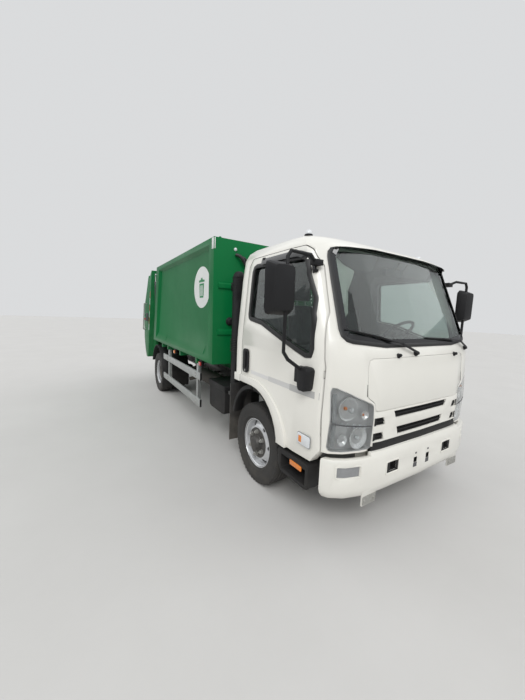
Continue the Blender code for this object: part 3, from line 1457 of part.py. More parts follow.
def cab_shell():
    """Return the cab's hollow shell with every opening cut."""
    shell = cut(cab_solid(CAB_SKIRT, CAB_TOP), cab_cavity())
    clear = CAB_FRONT - OVERRUN
    under = [
        box(-TUNNEL_HALF_WIDTH, TUNNEL_HALF_WIDTH, TUNNEL_FRONT, CAB_REAR + OVERRUN, CAB_BOTTOM,
            TUNNEL_TOP),
        box(-TUNNEL_HALF_WIDTH, TUNNEL_HALF_WIDTH, clear, TUNNEL_FRONT + SINK, CAB_BOTTOM,
            NOSE_CLEAR_TOP),
        box(-NOSE_RELIEF_HALF_WIDTH, NOSE_RELIEF_HALF_WIDTH, clear, NOSE_RELIEF_REAR, CAB_BOTTOM,
            NOSE_RELIEF_TOP),
        arch_cutter(-1, TUNNEL_HALF_WIDTH - SINK, 0), arch_cutter(1, TUNNEL_HALF_WIDTH - SINK, 0),
    ]
    shell = cut(shell, *under)
    openings = []
    for _, side in SIDES:
        region = side_region(door_outline(PANEL_GAP), side, DRIVER_X)
        depth = DOOR_THICKNESS + PANEL_GAP
        openings.append(cut(region, cab_solid(CAB_BOTTOM - OVERRUN, CAB_TOP, depth, depth, depth, depth)))
    openings.append(front_region(screen_outline(-SCREEN_SEAL)))
    rear = [(-REAR_WINDOW_HALF_WIDTH, REAR_WINDOW_BOTTOM), (REAR_WINDOW_HALF_WIDTH, REAR_WINDOW_BOTTOM),
            (REAR_WINDOW_HALF_WIDTH, REAR_WINDOW_TOP), (-REAR_WINDOW_HALF_WIDTH, REAR_WINDOW_TOP)]
    openings.append(prism(rounded(rear, WINDOW_CORNER), "y", CAB_REAR - CAB_WALL * 3, CAB_REAR + OVERRUN))
    shell = cut(shell, *openings)
    pockets = [
        cut(front_region(screen_outline(SEAT_GAP)), cab_inset(SCREEN_WALL + SEAT_GAP * 2)),
        cut(front_region(lid_outline(SEAT_GAP * 8)), cab_inset(LID_WALL + SEAT_GAP)),
        cut(front_region(grille_outline(SEAT_GAP * 2)), cab_inset(LID_WALL * 2)),
    ]
    for _, side in SIDES:
        region = front_region(lamp_outline(side, SEAT_GAP * 4), LAMP_REAR + SEAT_GAP)
        pockets.append(cut(region, cab_inset(LAMP_DEPTH + SEAT_GAP)))
    shell = cut(shell, *pockets)
    extras = []
    for _, side in SIDES:
        flare = cut(flare_band(side), box(side * DRIVER_X, side * (CAB_HALF_WIDTH + OVERRUN), CAB_FRONT,
                                          DOOR_REAR + PANEL_GAP, CAB_BOTTOM - OVERRUN, WAIST))
        extras.append(flare)
        inner = RAIL_OUTER + SINK + RUN_GAP / 2
        reach = (side * inner, side * (inner + PIVOT_ARM))
        arm = prism(lug_outline((PIVOT_Y, PIVOT_Z), PIVOT_EYE, (STRUT_REAR, PIVOT_Z - PIVOT_EYE / 2),
                                (STRUT_REAR, STRUT_FOOT + SINK * 5)), "x", *reach)
        head = NOSE_CLEAR_TOP + SINK
        post = prism([(STRUT_FRONT, STRUT_FOOT), (STRUT_HEAD, head), (TUNNEL_FRONT - SINK, head),
                      (STRUT_REAR - SINK, STRUT_FOOT)], "x", side * (inner + SINK),
                      side * (inner + PIVOT_ARM - SINK))
        bore = rod((0, PIVOT_Y, PIVOT_Z), (side * TUNNEL_HALF_WIDTH, PIVOT_Y, PIVOT_Z),
                   PIVOT_PIN + PIN_GAP)
        extras.append(cut(joined(arm, post), bore))
        for height in HINGE_HEIGHTS:
            extras.append(hinge_block(side, height, 0))
            extras.append(hinge_pin(side, height, 0))
    return joined(shell, *extras)


def cab_inset(depth):
    """Return the cab's form moved in by one depth on every face."""
    return cab_solid(CAB_BOTTOM - OVERRUN, CAB_TOP, depth, depth, depth, depth)


def front_panel():
    """Return the panel under the windscreen."""
    return cab_skin(front_region(lid_outline(-SEAT_GAP * 2)), 0, LID_WALL)


def grille_panel():
    """Return the lower front panel with its air slots."""
    panel = cab_skin(front_region(grille_outline(0)), 0, LID_WALL)
    slots = []
    for inner, outer, low, high in SLOT_SHARES:
        z_low = between(GRILLE_BOTTOM, LID_BOTTOM, low)
        z_high = between(GRILLE_BOTTOM, LID_BOTTOM, high)
        left = GRILLE_HALF_WIDTH * inner
        right = GRILLE_HALF_WIDTH * outer
        low_left, low_right = left, right
        if left < 0 < right:
            low_left, low_right = left + SLOT_SLANT, right - SLOT_SLANT
        elif left > 0:
            low_left = left - SLOT_SLANT
        else:
            low_right = right + SLOT_SLANT
        slots.append(front_region([(low_left, z_low), (low_right, z_low), (right, z_high), (left, z_high)]))
    return cut(panel, *slots)


def windscreen():
    """Return the curved windscreen."""
    return cab_skin(front_region(screen_outline(0)), SEAT_GAP, SCREEN_WALL)


def rear_window():
    """Return the flat window in the cab's back wall."""
    half = REAR_WINDOW_HALF_WIDTH - SEAT_GAP
    outline = rounded([(-half, REAR_WINDOW_BOTTOM + SEAT_GAP), (half, REAR_WINDOW_BOTTOM + SEAT_GAP),
                       (half, REAR_WINDOW_TOP - SEAT_GAP), (-half, REAR_WINDOW_TOP - SEAT_GAP)],
                       WINDOW_CORNER)
    y = CAB_REAR - CAB_WALL * 0.7
    return prism(outline, "y", y, y + GLASS_WALL)


def headlamp(side):
    """Return a headlamp that fills its pocket."""
    return cab_skin(front_region(lamp_outline(side, 0), LAMP_REAR), 0, LAMP_DEPTH)


def door(side):
    """Return a door with its window cut, its arch lip and its handle."""
    leaf = cab_skin(side_region(door_outline(0), side, DRIVER_X), 0, DOOR_THICKNESS)
    window = rounded(placed(WINDOW_SHARES, DOOR_FRONT, DOOR_REAR, DOOR_BOTTOM, DOOR_TOP), WINDOW_CORNER)
    fittings = [hinge_pin(side, height, PIN_GAP) for height in HINGE_HEIGHTS]
    fittings += [hinge_block(side, height, SINK) for height in HINGE_HEIGHTS]
    leaf = cut(leaf, side_region(window, side, DRIVER_X), *fittings)
    pin_x, pin_y = hinge_place()
    corner = box(side * DRIVER_X, side * (pin_x - JAMB_RELIEF), DOOR_FRONT - OVERRUN,
                 pin_y + JAMB_RELIEF_DEPTH,
                 DOOR_BOTTOM - OVERRUN, JAMB_RELIEF_TOP)
    leaf = cut(leaf, corner)
    flare = common(flare_band(side), side_region(door_outline(0), side, DRIVER_X))
    x = CAB_HALF_WIDTH
    grip = box(side * (x - HANDLE_PROUD), side * (x + HANDLE_PROUD), HANDLE_Y - HANDLE_WIDTH / 2,
               HANDLE_Y + HANDLE_WIDTH / 2, HANDLE_Z - HANDLE_HEIGHT / 2, HANDLE_Z + HANDLE_HEIGHT / 2)
    return joined(leaf, flare, grip)


def door_glass(side):
    """Return the glass in a door."""
    shares = WINDOW_SHARES
    points = placed(shares, DOOR_FRONT, DOOR_REAR, DOOR_BOTTOM, DOOR_TOP)
    middle = Vector((sum(p[0] for p in points) / len(points), sum(p[1] for p in points) / len(points)))
    outline = rounded(points, WINDOW_CORNER)
    shrunk = [tuple(Vector(p) + (middle - Vector(p)).normalized() * SEAT_GAP * 2) for p in outline]
    return cab_skin(side_region(shrunk, side, DRIVER_X), GLASS_INSET, GLASS_INSET + GLASS_WALL)


def mirror(side):
    """Return a mirror head on its bent arm with two feet on the door."""
    outline = rounded([(side * MIRROR_INNER, MIRROR_BOTTOM), (side * MIRROR_OUTER, MIRROR_BOTTOM),
                       (side * MIRROR_OUTER, MIRROR_TOP), (side * MIRROR_INNER, MIRROR_TOP)],
                       MIRROR_CORNER)
    middle = ((MIRROR_INNER + MIRROR_OUTER) / 2 * side, (MIRROR_BOTTOM + MIRROR_TOP) / 2)
    back = [(middle[0] + (a - middle[0]) * 0.72, middle[1] + (b - middle[1]) * 0.82) for a, b in outline]
    y = MIRROR_Y + MIRROR_DEPTH / 3
    head = frustum(back, outline, "y", y - MIRROR_DEPTH, y)
    arm_y = MIRROR_Y - MIRROR_DEPTH / 4
    foot_x = CAB_HALF_WIDTH + MIRROR_FOOT_PROUD / 2
    upper_x = CAB_HALF_WIDTH * 0.945
    arm = tube([(side * upper_x, arm_y + MIRROR_DEPTH * 0.6, MIRROR_HEAD_FOOT_Z),
                (side * (upper_x + MIRROR_FOOT_PROUD), arm_y + MIRROR_DEPTH * 0.2, MIRROR_ARM_TOP),
                (side * (MIRROR_ARM_X - MIRROR_ARM * 2), arm_y, MIRROR_ARM_TOP),
                (side * MIRROR_ARM_X, arm_y, MIRROR_ARM_TOP - MIRROR_ARM * 3),
                (side * MIRROR_ARM_X, arm_y, MIRROR_ARM_LOW),
                (side * (MIRROR_ARM_X - MIRROR_ARM * 3), arm_y, MIRROR_ARM_LOW - MIRROR_ARM * 4),
                (side * foot_x, arm_y, MIRROR_FOOT_Z + MIRROR_FOOT_HEIGHT * 0.3)], MIRROR_ARM)
    low = MIRROR_FOOT_Z - MIRROR_FOOT_HEIGHT / 2
    high = MIRROR_FOOT_Z + MIRROR_FOOT_HEIGHT / 2
    half = MIRROR_FOOT_LENGTH / 2
    inner_x = CAB_HALF_WIDTH * 0.9
    wide = [(MIRROR_Y - half, low), (MIRROR_Y + half, low), (MIRROR_Y + half, high),
            (MIRROR_Y - half, high)]
    slim = [(MIRROR_Y - half * 0.7, low + half * 0.5), (MIRROR_Y + half * 0.7, low + half * 0.5),
            (MIRROR_Y + half * 0.7, high), (MIRROR_Y - half * 0.7, high)]
    foot = frustum(wide, slim, "x", side * inner_x, side * (CAB_HALF_WIDTH + MIRROR_FOOT_PROUD))
    upper = box(side * CAB_HALF_WIDTH * 0.88, side * (upper_x + MIRROR_ARM), arm_y + MIRROR_DEPTH * 0.3,
                arm_y + MIRROR_DEPTH,
                MIRROR_HEAD_FOOT_Z - MIRROR_ARM * 2, MIRROR_HEAD_FOOT_Z + MIRROR_ARM)
    outside = cab_solid(CAB_BOTTOM, CAB_TOP, -SEAT_GAP, -SEAT_GAP, -SEAT_GAP, -SEAT_GAP)
    return cut(joined(head, arm, foot, upper), outside)


def dashboard():
    """Return the dashboard under the windscreen."""
    front = CAB_FRONT - OVERRUN
    back = CAB_FRONT + CAB_FIREWALL + DASH_BACK
    outline = [(front, DASH_BOTTOM), (back - DASH_BACK * 0.4, DASH_BOTTOM),
               (back - DASH_BACK * 0.12, between(DASH_BOTTOM, DASH_TOP, 0.4)),
               (back, between(DASH_BOTTOM, DASH_TOP, 0.7)), (back - DASH_BACK * 0.2, DASH_TOP),
               (front, DASH_TOP)]
    inset = CAB_WALL + DASH_MARGIN + DOOR_THICKNESS / 2
    room = cab_solid(CAB_BOTTOM, WAIST, inset, CAB_FIREWALL + SEAT_GAP, CAB_WALL)
    return common(prism(rounded(outline, DASH_MARGIN * 2), "x", -CAB_HALF_WIDTH, CAB_HALF_WIDTH), room)


def seat(x_low, x_high, heads):
    """Return a seat: plinth, cushion, leaning backrest and headrests."""
    front = CUSHION_FRONT
    base = SEAT_FLOOR + SINK + SEAT_GAP
    cushion_low = CUSHION_TOP - CUSHION_DEPTH
    lean = BACKREST_LEAN
    plinth = box(x_low + PLINTH_MARGIN, x_high - PLINTH_MARGIN, front + PLINTH_MARGIN, BACKREST_Y, base,
                 cushion_low + SINK)
    side = [(front, cushion_low), (BACKREST_Y, cushion_low), (BACKREST_Y, CUSHION_TOP),
            (front + CUSHION_DEPTH / 3, CUSHION_TOP),
            (front, CUSHION_TOP - CUSHION_DEPTH / 3)]
    cushion = prism(side, "x", x_low, x_high)
    rest = [(BACKREST_Y - BACKREST_DEPTH * 0.6, CUSHION_TOP - SINK),
            (BACKREST_Y + BACKREST_DEPTH * 0.4, cushion_low + SINK),
            (BACKREST_Y + BACKREST_DEPTH * 0.5 + lean, BACKREST_TOP),
            (BACKREST_Y - BACKREST_DEPTH * 0.2 + lean, BACKREST_TOP)]
    parts = [plinth, cushion, prism(rest, "x", x_low + PLINTH_MARGIN / 6, x_high - PLINTH_MARGIN / 6)]
    for head in heads:
        y = BACKREST_Y + lean
        parts.append(box(head - HEADREST_WIDTH / 2, head + HEADREST_WIDTH / 2, y - BACKREST_DEPTH * 0.15,
                         y + BACKREST_DEPTH * 0.45, BACKREST_TOP - SINK, BACKREST_TOP + HEADREST_HEIGHT))
    return joined(*parts)


def steering_wheel():
    """Return the steering wheel, its spokes and its column down to the dashboard."""
    centre = Vector((DRIVER_X, STEERING_WHEEL_Y, STEERING_WHEEL_Z))
    along = Vector((0, -math.cos(STEERING_TILT), -math.sin(STEERING_TILT)))
    up = Vector((0, -math.sin(STEERING_TILT), math.cos(STEERING_TILT)))
    across = Vector((1, 0, 0))
    bm = bmesh.new()
    turns, sides = 20, 6
    rings = []
    for index in range(turns):
        turn = math.tau * index / turns
        out = across * math.cos(turn) + up * math.sin(turn)
        ring = []
        for corner in range(sides):
            angle = math.tau * corner / sides
            reach = STEERING_WHEEL_RADIUS - STEERING_WHEEL_GRIP * (1 - math.cos(angle))
            rise = STEERING_WHEEL_GRIP * math.sin(angle)
            ring.append(bm.verts.new(centre + out * reach + along * rise))
        rings.append(ring)
    for index in range(turns):
        following = rings[(index + 1) % turns]
        for corner in range(sides):
            other = (corner + 1) % sides
            bm.faces.new((rings[index][corner], following[corner], following[other], rings[index][other]))
    grip = raw_object(bm)
    hub_depth = COLUMN_RADIUS * 1.6
    reach = STEERING_WHEEL_RADIUS - STEERING_WHEEL_GRIP
    parts = [rod(centre - along * STEERING_WHEEL_GRIP, centre + along * hub_depth, COLUMN_RADIUS * 1.8)]
    for turn in (math.radians(20), math.radians(160), math.radians(270)):
        out = across * math.cos(turn) + up * math.sin(turn)
        parts.append(rod(centre + along * STEERING_WHEEL_GRIP, centre + out * reach,
                         STEERING_WHEEL_GRIP * 0.8, 6))
    column_end = centre + along * STEERING_COLUMN
    parts.append(rod(centre + along * STEERING_WHEEL_GRIP, column_end, COLUMN_RADIUS, 14))
    return joined(grip, *parts)


def entry_step(side):
    """Return the step under a door, hung on the cab's sill."""
    inner_top = STEP_INNER + STEP_RISER
    outline = rounded([(STEP_FRONT, STEP_BOTTOM), (STEP_REAR - STEP_RISER * 0.5, STEP_BOTTOM),
                       (STEP_REAR, STEP_BOTTOM + STEP_RISER * 0.7),
                       (STEP_REAR, STEP_TOP), (STEP_FRONT, STEP_TOP)], STEP_TREAD)
    case = prism(outline, "x", side * STEP_INNER, side * STEP_OUTER)
    pocket = box(side * (STEP_INNER + STEP_TREAD), side * (STEP_OUTER + OVERRUN), STEP_FRONT + STEP_TREAD,
                 STEP_REAR - STEP_RISER * 0.5, STEP_BOTTOM + STEP_TREAD, STEP_TOP - STEP_TREAD * 1.6)
    riser = box(side * STEP_INNER, side * inner_top, STEP_FRONT + STEP_RISER, STEP_REAR - STEP_TREAD,
                STEP_TOP - SINK, CAB_SKIRT - SEAT_GAP)
    return joined(cut(case, pocket), riser)


# Compactor body

def body_shell():
    """Return the compactor's body: hollow, open at its slanted rear."""
    top, low = BODY_TOP, BODY_BOTTOM
    outline = [(BODY_FRONT, low), (body_rear(low), low), (body_rear(top), top), (BODY_FRONT, top)]
    shell = prism(outline, "x", -BODY_HALF_WIDTH, BODY_HALF_WIDTH)
    inner_low, inner_top = low + BODY_FLOOR, top - BODY_ROOF
    front = BODY_FRONT + BODY_WALL
    far = GATE_REAR + OVERRUN
    inner_half = BODY_HALF_WIDTH - PANEL_DEPTH - BODY_WALL
    room = prism([(front, inner_low), (far, inner_low), (far, inner_top), (front, inner_top)], "x",
                 -inner_half, inner_half)
    cutters = [room]
    for _, side in SIDES:
        outer = [(PANEL_FRONT, PANEL_BOTTOM), (panel_rear(PANEL_BOTTOM), PANEL_BOTTOM),
                 (panel_rear(PANEL_TOP), PANEL_TOP), (PANEL_FRONT, PANEL_TOP)]
        low_in, top_in = PANEL_BOTTOM + PANEL_BOTTOM_BEVEL, PANEL_TOP - PANEL_TOP_BEVEL
        inner = [(PANEL_FRONT + PANEL_SIDE_BEVEL, low_in), (panel_rear(low_in) - PANEL_SIDE_BEVEL,
                                                            low_in),
                 (panel_rear(top_in) - PANEL_SIDE_BEVEL, top_in),
                 (PANEL_FRONT + PANEL_SIDE_BEVEL, top_in)]
        floor_x = side * (BODY_HALF_WIDTH - PANEL_DEPTH)
        wide = [(a + (a - b) * SINK, c + (c - d) * SINK) for (a, c), (b, d) in zip(outer, inner)]
        cutters.append(frustum(inner, wide, "x", floor_x, side * (BODY_HALF_WIDTH + SINK)))
        recess = [(body_rear(low - OVERRUN, REAR_RECESS), low - OVERRUN), (far, low - OVERRUN),
                  (far, top + OVERRUN),
                  (body_rear(top + OVERRUN, REAR_RECESS), top + OVERRUN)]
        cutters.append(prism(recess, "x", side * (BODY_HALF_WIDTH - REAR_RECESS_DEPTH),
                             side * (BODY_HALF_WIDTH + OVERRUN)))
    shell = cut(shell, *cutters)
    extras = []
    for _, side in SIDES:
        extras.append(box(side * RUNNER_HALF_GAP, side * (RUNNER_HALF_GAP + RUNNER_WIDTH),
                          BODY_FRONT + SINK,
                          RAIL_REAR, RAIL_TOP + SEAT_GAP, low + SINK))
        lug_x = (side * (GATE_LUG_X - GATE_LUG / 2), side * (GATE_LUG_X + GATE_LUG / 2))
        lug = prism(lug_outline((GATE_PIN_Y, GATE_PIN_Z), GATE_EYE,
                                (GATE_PIN_Y - GATE_EYE * 3, top - SINK),
                                (BODY_REAR_TOP - SINK * 2, top - SINK)), "x", *lug_x)
        pin = rod((side * (GATE_LUG_X - GATE_LUG / 2 + SINK), GATE_PIN_Y, GATE_PIN_Z),
                  (side * (GATE_LUG_X + GATE_LUG * 1.7), GATE_PIN_Y, GATE_PIN_Z), GATE_PIN)
        extras.append(joined(lug, pin))
        wall = BODY_HALF_WIDTH - REAR_RECESS_DEPTH
        foot = rod((side * (wall - SINK), CYLINDER_FOOT_Y, CYLINDER_FOOT_Z),
                   (side * (CYLINDER_X + CYLINDER_EYE_WIDTH / 2 + RUN_GAP), CYLINDER_FOOT_Y,
                    CYLINDER_FOOT_Z), CYLINDER_EYE / 2)
        extras.append(foot)
    for y in BEARER_PLACES:
        extras.append(box(-BEARER_REACH, BEARER_REACH, y - BEARER_WIDTH / 2, y + BEARER_WIDTH / 2,
                          low - BEARER_DEPTH,
                          low + SINK))
    return joined(shell, *extras)


def panel_rear(height):
    """Return the y of the slanted rear edge of the side panel."""
    return PANEL_REAR_TOP + (GATE_TOP - height) * BODY_REAR_SLOPE


def side_guard(side):
    """Return the two rails along a side with their posts up to the body's bearers."""
    outer = side * (GUARD_X + GUARD_RAIL)
    inner = side * GUARD_X
    parts = []
    for low in GUARD_RAIL_PLACES:
        parts.append(box(inner, outer, GUARD_FRONT, GUARD_REAR, low, low + GUARD_RAIL_HEIGHT))
    for y in GUARD_POST_PLACES:
        parts.append(box(side * (GUARD_X - GUARD_POST), side * (GUARD_X + SINK), y - GUARD_POST / 2,
                         y + GUARD_POST / 2,
                         GUARD_RAIL_PLACES[0] + GUARD_RAIL_HEIGHT / 4,
                         BODY_BOTTOM - BEARER_DEPTH - SEAT_GAP))
    return joined(*parts)


def rear_mudguard(side):
    """Return the mudguard over a pair of rear wheels with its stays to the rail."""
    path = ellipse_arc(WHEELBASE, TYRE_RADIUS, MUDGUARD_LENGTH, MUDGUARD_HEIGHT, MUDGUARD_START,
                       MUDGUARD_END, MUDGUARD_STEPS)
    cover = prism(strip(path, -MUDGUARD_WALL), "x", side * MUDGUARD_INNER, side * MUDGUARD_OUTER)
    stays = []
    for turn in (math.radians(48), math.radians(132)):
        y = WHEELBASE + (MUDGUARD_LENGTH - MUDGUARD_WALL / 2) * math.cos(turn)
        z = TYRE_RADIUS + (MUDGUARD_HEIGHT - MUDGUARD_WALL / 2) * math.sin(turn)
        end = Vector((side * (RAIL_OUTER + SEAT_GAP), y, RAIL_TOP - MUDGUARD_STAY * 3))
        stays.append(tube([(side * (MUDGUARD_INNER + MUDGUARD_STAY * 3), y, z),
                           (side * MUDGUARD_INNER, y, z), end], MUDGUARD_STAY, 8))
    guard = joined(cover, *stays)
    return cut(guard, box(0, side * (RAIL_OUTER + SEAT_GAP), WHEELBASE - TANK_OUTER,
                          WHEELBASE + TANK_OUTER, RAIL_BOTTOM - OVERRUN, BODY_BOTTOM))


# Tailgate

def gate_outline(setback, inset):
    """Return the tailgate's side outline behind a setback from the joint."""
    top, low = GATE_TOP - inset, GATE_BOTTOM + inset
    front_top = BODY_REAR_TOP + GATE_GAP
    points = placed(GATE_SHARES, front_top, GATE_REAR - inset, low, top)
    toe_z = between(low, top, GATE_TOE_SHARE)
    edge = [(body_rear(toe_z) + GATE_GAP + setback, toe_z), (body_rear(top) + GATE_GAP + setback, top)]
    return edge, points


def tailgate():
    """Return the tailgate: side walls, cheeks, cover, trough, sill and lugs."""
    parts = []
    edge, points = gate_outline(0, 0)
    wall_outline = [edge[0], edge[1], *rounded(points, GATE_CORNER)]
    cheek_edge, cheek_points = gate_outline(CHEEK_SETBACK, SINK * 5)
    cheek_outline = [cheek_edge[0], cheek_edge[1], *rounded(cheek_points, GATE_CORNER)]
    for _, side in SIDES:
        parts.append(prism(wall_outline, "x", side * GATE_INNER, side * (GATE_INNER + GATE_WALL)))
        parts.append(prism(cheek_outline, "x", side * (GATE_INNER + GATE_WALL - SINK),
                           side * CHEEK_OUTER))
    reach = GATE_INNER + SINK * 5
    inset = SINK * 2
    roof_top = GATE_TOP - inset
    cover = [(edge[1][0] + SINK * 2, roof_top)] + [(y - inset, z - inset) for y, z in points[:3]]
    parts.append(prism(strip(cover, -GATE_SKIN), "x", -reach, reach))
    bottom = ellipse_arc(TROUGH_Y, TROUGH_Z, TROUGH_LENGTH - inset, TROUGH_HEIGHT,
                         math.pi + TROUGH_LIP_TURN, math.tau,
                         TROUGH_STEPS)
    path = [*bottom, (TROUGH_Y + TROUGH_LENGTH - inset, SILL_TOP)]
    parts.append(prism(strip(path, TROUGH_WALL), "x", -reach, reach))
    sill_y = TROUGH_Y + TROUGH_LENGTH - inset - SILL_TUBE
    parts.append(rod((-reach, sill_y, SILL_TOP), (reach, sill_y, SILL_TOP), SILL_TUBE, 12))
    lip = SILL_TUBE * 0.6
    lip_y, lip_z = bottom[0][0] + lip, bottom[0][1]
    parts.append(rod((-reach, lip_y, lip_z), (reach, lip_y, lip_z), lip, 10))
    for _, side in SIDES:
        inner = GATE_LUG_X + GATE_LUG / 2 + RUN_GAP
        lug_x = (side * inner, side * (inner + GATE_LUG))
        lug = prism(lug_outline((GATE_PIN_Y, GATE_PIN_Z), GATE_EYE,
                                (GATE_PIN_Y + GATE_EYE * 1.3, roof_top - GATE_SKIN / 2),
                                (GATE_PIN_Y + GATE_EYE * 5, roof_top - GATE_SKIN / 2)), "x", *lug_x)
        bore = rod((side * GATE_LUG_X, GATE_PIN_Y, GATE_PIN_Z),
                   (side * GATE_INNER, GATE_PIN_Y, GATE_PIN_Z), GATE_PIN + PIN_GAP)
        parts.append(cut(lug, bore))
        wall = GATE_INNER + GATE_WALL
        parts.append(rod((side * (wall - SINK), CYLINDER_HEAD_Y, CYLINDER_HEAD_Z),
                         (side * (CYLINDER_X - CYLINDER_EYE_WIDTH / 2 - SEAT_GAP), CYLINDER_HEAD_Y,
                          CYLINDER_HEAD_Z), CYLINDER_EYE))
        arm = LIFTER_ARM_X + LIFTER_ARM / 2 + RUN_GAP / 2
        sill_face = GATE_REAR - inset
        foot_y = sill_face - TROUGH_WALL / 2
        bracket_outline = lug_outline((LIFTER_Y, LIFTER_Z), LIFTER_BOSS * 0.8,
                                      (foot_y, LIFTER_Z - LIFTER_BOSS * 1.5),
                                      (foot_y, LIFTER_Z + LIFTER_BOSS * 2))
        bracket = prism(bracket_outline, "x", side * arm, side * (arm + LIFTER_LUG))
        pin = rod((side * (LIFTER_ARM_X - LIFTER_ARM / 2), LIFTER_Y, LIFTER_Z),
                  (side * (arm + LIFTER_LUG / 2), LIFTER_Y, LIFTER_Z), LIFTER_PIN)
        parts.append(joined(bracket, pin))
    return joined(*parts)


GUIDE = Vector((0, BODY_REAR_SLOPE, -1)).normalized()
GUIDE_NORMAL = Vector((0, 1, BODY_REAR_SLOPE)).normalized()
CARRIAGE_START = Vector((0, CARRIAGE_TOP_Y, CARRIAGE_TOP_Z))
CARRIAGE_END = CARRIAGE_START + GUIDE * CARRIAGE_LENGTH
SWEEP_PIVOT = CARRIAGE_END + GUIDE * SWEEP_DROP
SWEEP_WAY = Vector((0, math.cos(SWEEP_DIRECTION), math.sin(SWEEP_DIRECTION)))


def yz(vector):
    """Return a vector's side-view coordinates."""
    return (vector.y, vector.z)


def carriage():
    """Return the sliding carriage with its shoes and the lugs for the panel."""
    half = GUIDE_NORMAL * (CARRIAGE_THICKNESS / 2)
    outline = [yz(CARRIAGE_START - half), yz(CARRIAGE_START + half), yz(CARRIAGE_END + half),
               yz(CARRIAGE_END - half)]
    plate = prism(outline, "x", -PACKER_HALF_WIDTH, PACKER_HALF_WIDTH)
    skin = CARRIAGE_THICKNESS * 0.25
    hollow_start = CARRIAGE_START + GUIDE * skin + GUIDE_NORMAL * (skin / 2)
    hollow_end = CARRIAGE_END - GUIDE * skin + GUIDE_NORMAL * (skin / 2)
    outward = GUIDE_NORMAL * CARRIAGE_THICKNESS
    pockets = []
    bays = 3
    for bay in range(bays):
        low = between(-PACKER_HALF_WIDTH, PACKER_HALF_WIDTH, bay / bays) + skin
        high = between(-PACKER_HALF_WIDTH, PACKER_HALF_WIDTH, (bay + 1) / bays) - skin
        pockets.append(prism([yz(hollow_start), yz(hollow_start + outward), yz(hollow_end + outward),
                              yz(hollow_end)], "x", low, high))
    parts = [cut(plate, *pockets)]
    for _, side in SIDES:
        for place in (CARRIAGE_START + GUIDE * SHOE_HEIGHT * 0.6,
                      CARRIAGE_END - GUIDE * SHOE_HEIGHT * 0.6):
            run = GUIDE * (SHOE_HEIGHT / 2)
            thick = half * 0.7
            corners = [yz(place - run - thick), yz(place - run + thick), yz(place + run + thick),
                       yz(place + run - thick)]
            parts.append(prism(corners, "x", side * (PACKER_HALF_WIDTH - SINK),
                               side * (GATE_INNER - SHOE_GAP)))
        x = (side * SWEEP_LUG_X, side * (SWEEP_LUG_X + SWEEP_LUG))
        lug = prism([yz(CARRIAGE_END - GUIDE * SINK - half * 0.9),
                     yz(CARRIAGE_END - GUIDE * SINK + half * 0.9),
                     yz(SWEEP_PIVOT + half * 0.4), yz(SWEEP_PIVOT - half * 0.4)], "x", *x)
        eye = rod((x[0], *yz(SWEEP_PIVOT)), (x[1], *yz(SWEEP_PIVOT)), SWEEP_BOSS * 0.75)
        pin = rod((side * (SWEEP_LUG_X - SWEEP_LUG * 0.8), *yz(SWEEP_PIVOT)),
                  (x[0] + side * SINK, *yz(SWEEP_PIVOT)), SWEEP_BOSS * 0.4)
        parts.append(joined(lug, eye, pin))
    return joined(*parts)


def sweep_panel():
    """Return the swinging panel under the carriage."""
    across = Vector((0, -SWEEP_WAY.z, SWEEP_WAY.y))
    start = SWEEP_PIVOT + SWEEP_WAY * (SWEEP_BOSS * 1.25)
    tip = SWEEP_PIVOT + SWEEP_WAY * SWEEP_LENGTH
    half = across * (SWEEP_THICKNESS / 2)
    bend = start.lerp(tip, 0.7)
    outline = [yz(start - half), yz(bend - half), yz(tip - half * 0.4), yz(tip + half * 0.4),
               yz(bend + half), yz(start + half)]
    parts = [prism(outline, "x", -PACKER_HALF_WIDTH, PACKER_HALF_WIDTH)]
    gap = RUN_GAP
    spans = ((-SWEEP_LUG_X + gap, SWEEP_LUG_X - gap),
             (-PACKER_HALF_WIDTH, -SWEEP_LUG_X - SWEEP_LUG - gap),
             (SWEEP_LUG_X + SWEEP_LUG + gap, PACKER_HALF_WIDTH))
    centre = yz(SWEEP_PIVOT)
    for low, high in spans:
        neck = SWEEP_PIVOT + SWEEP_WAY * (SWEEP_BOSS / 2)
        foot = start + SWEEP_WAY * SINK
        slim = half * 0.8
        web = prism([yz(neck - slim), yz(foot - slim), yz(foot + slim), yz(neck + slim)], "x",
                    low + SINK, high - SINK)
        boss = joined(rod((low, *centre), (high, *centre), SWEEP_BOSS), web)
        if low * high < 0:
            for side in (-1, 1):
                depth = SWEEP_LUG
                end = side * (high + OVERRUN)
                boss = cut(boss, rod((side * (high - depth), *centre), (end, *centre),
                                     SWEEP_BOSS * 0.4 + PIN_GAP))
        parts.append(boss)
    return joined(*parts)


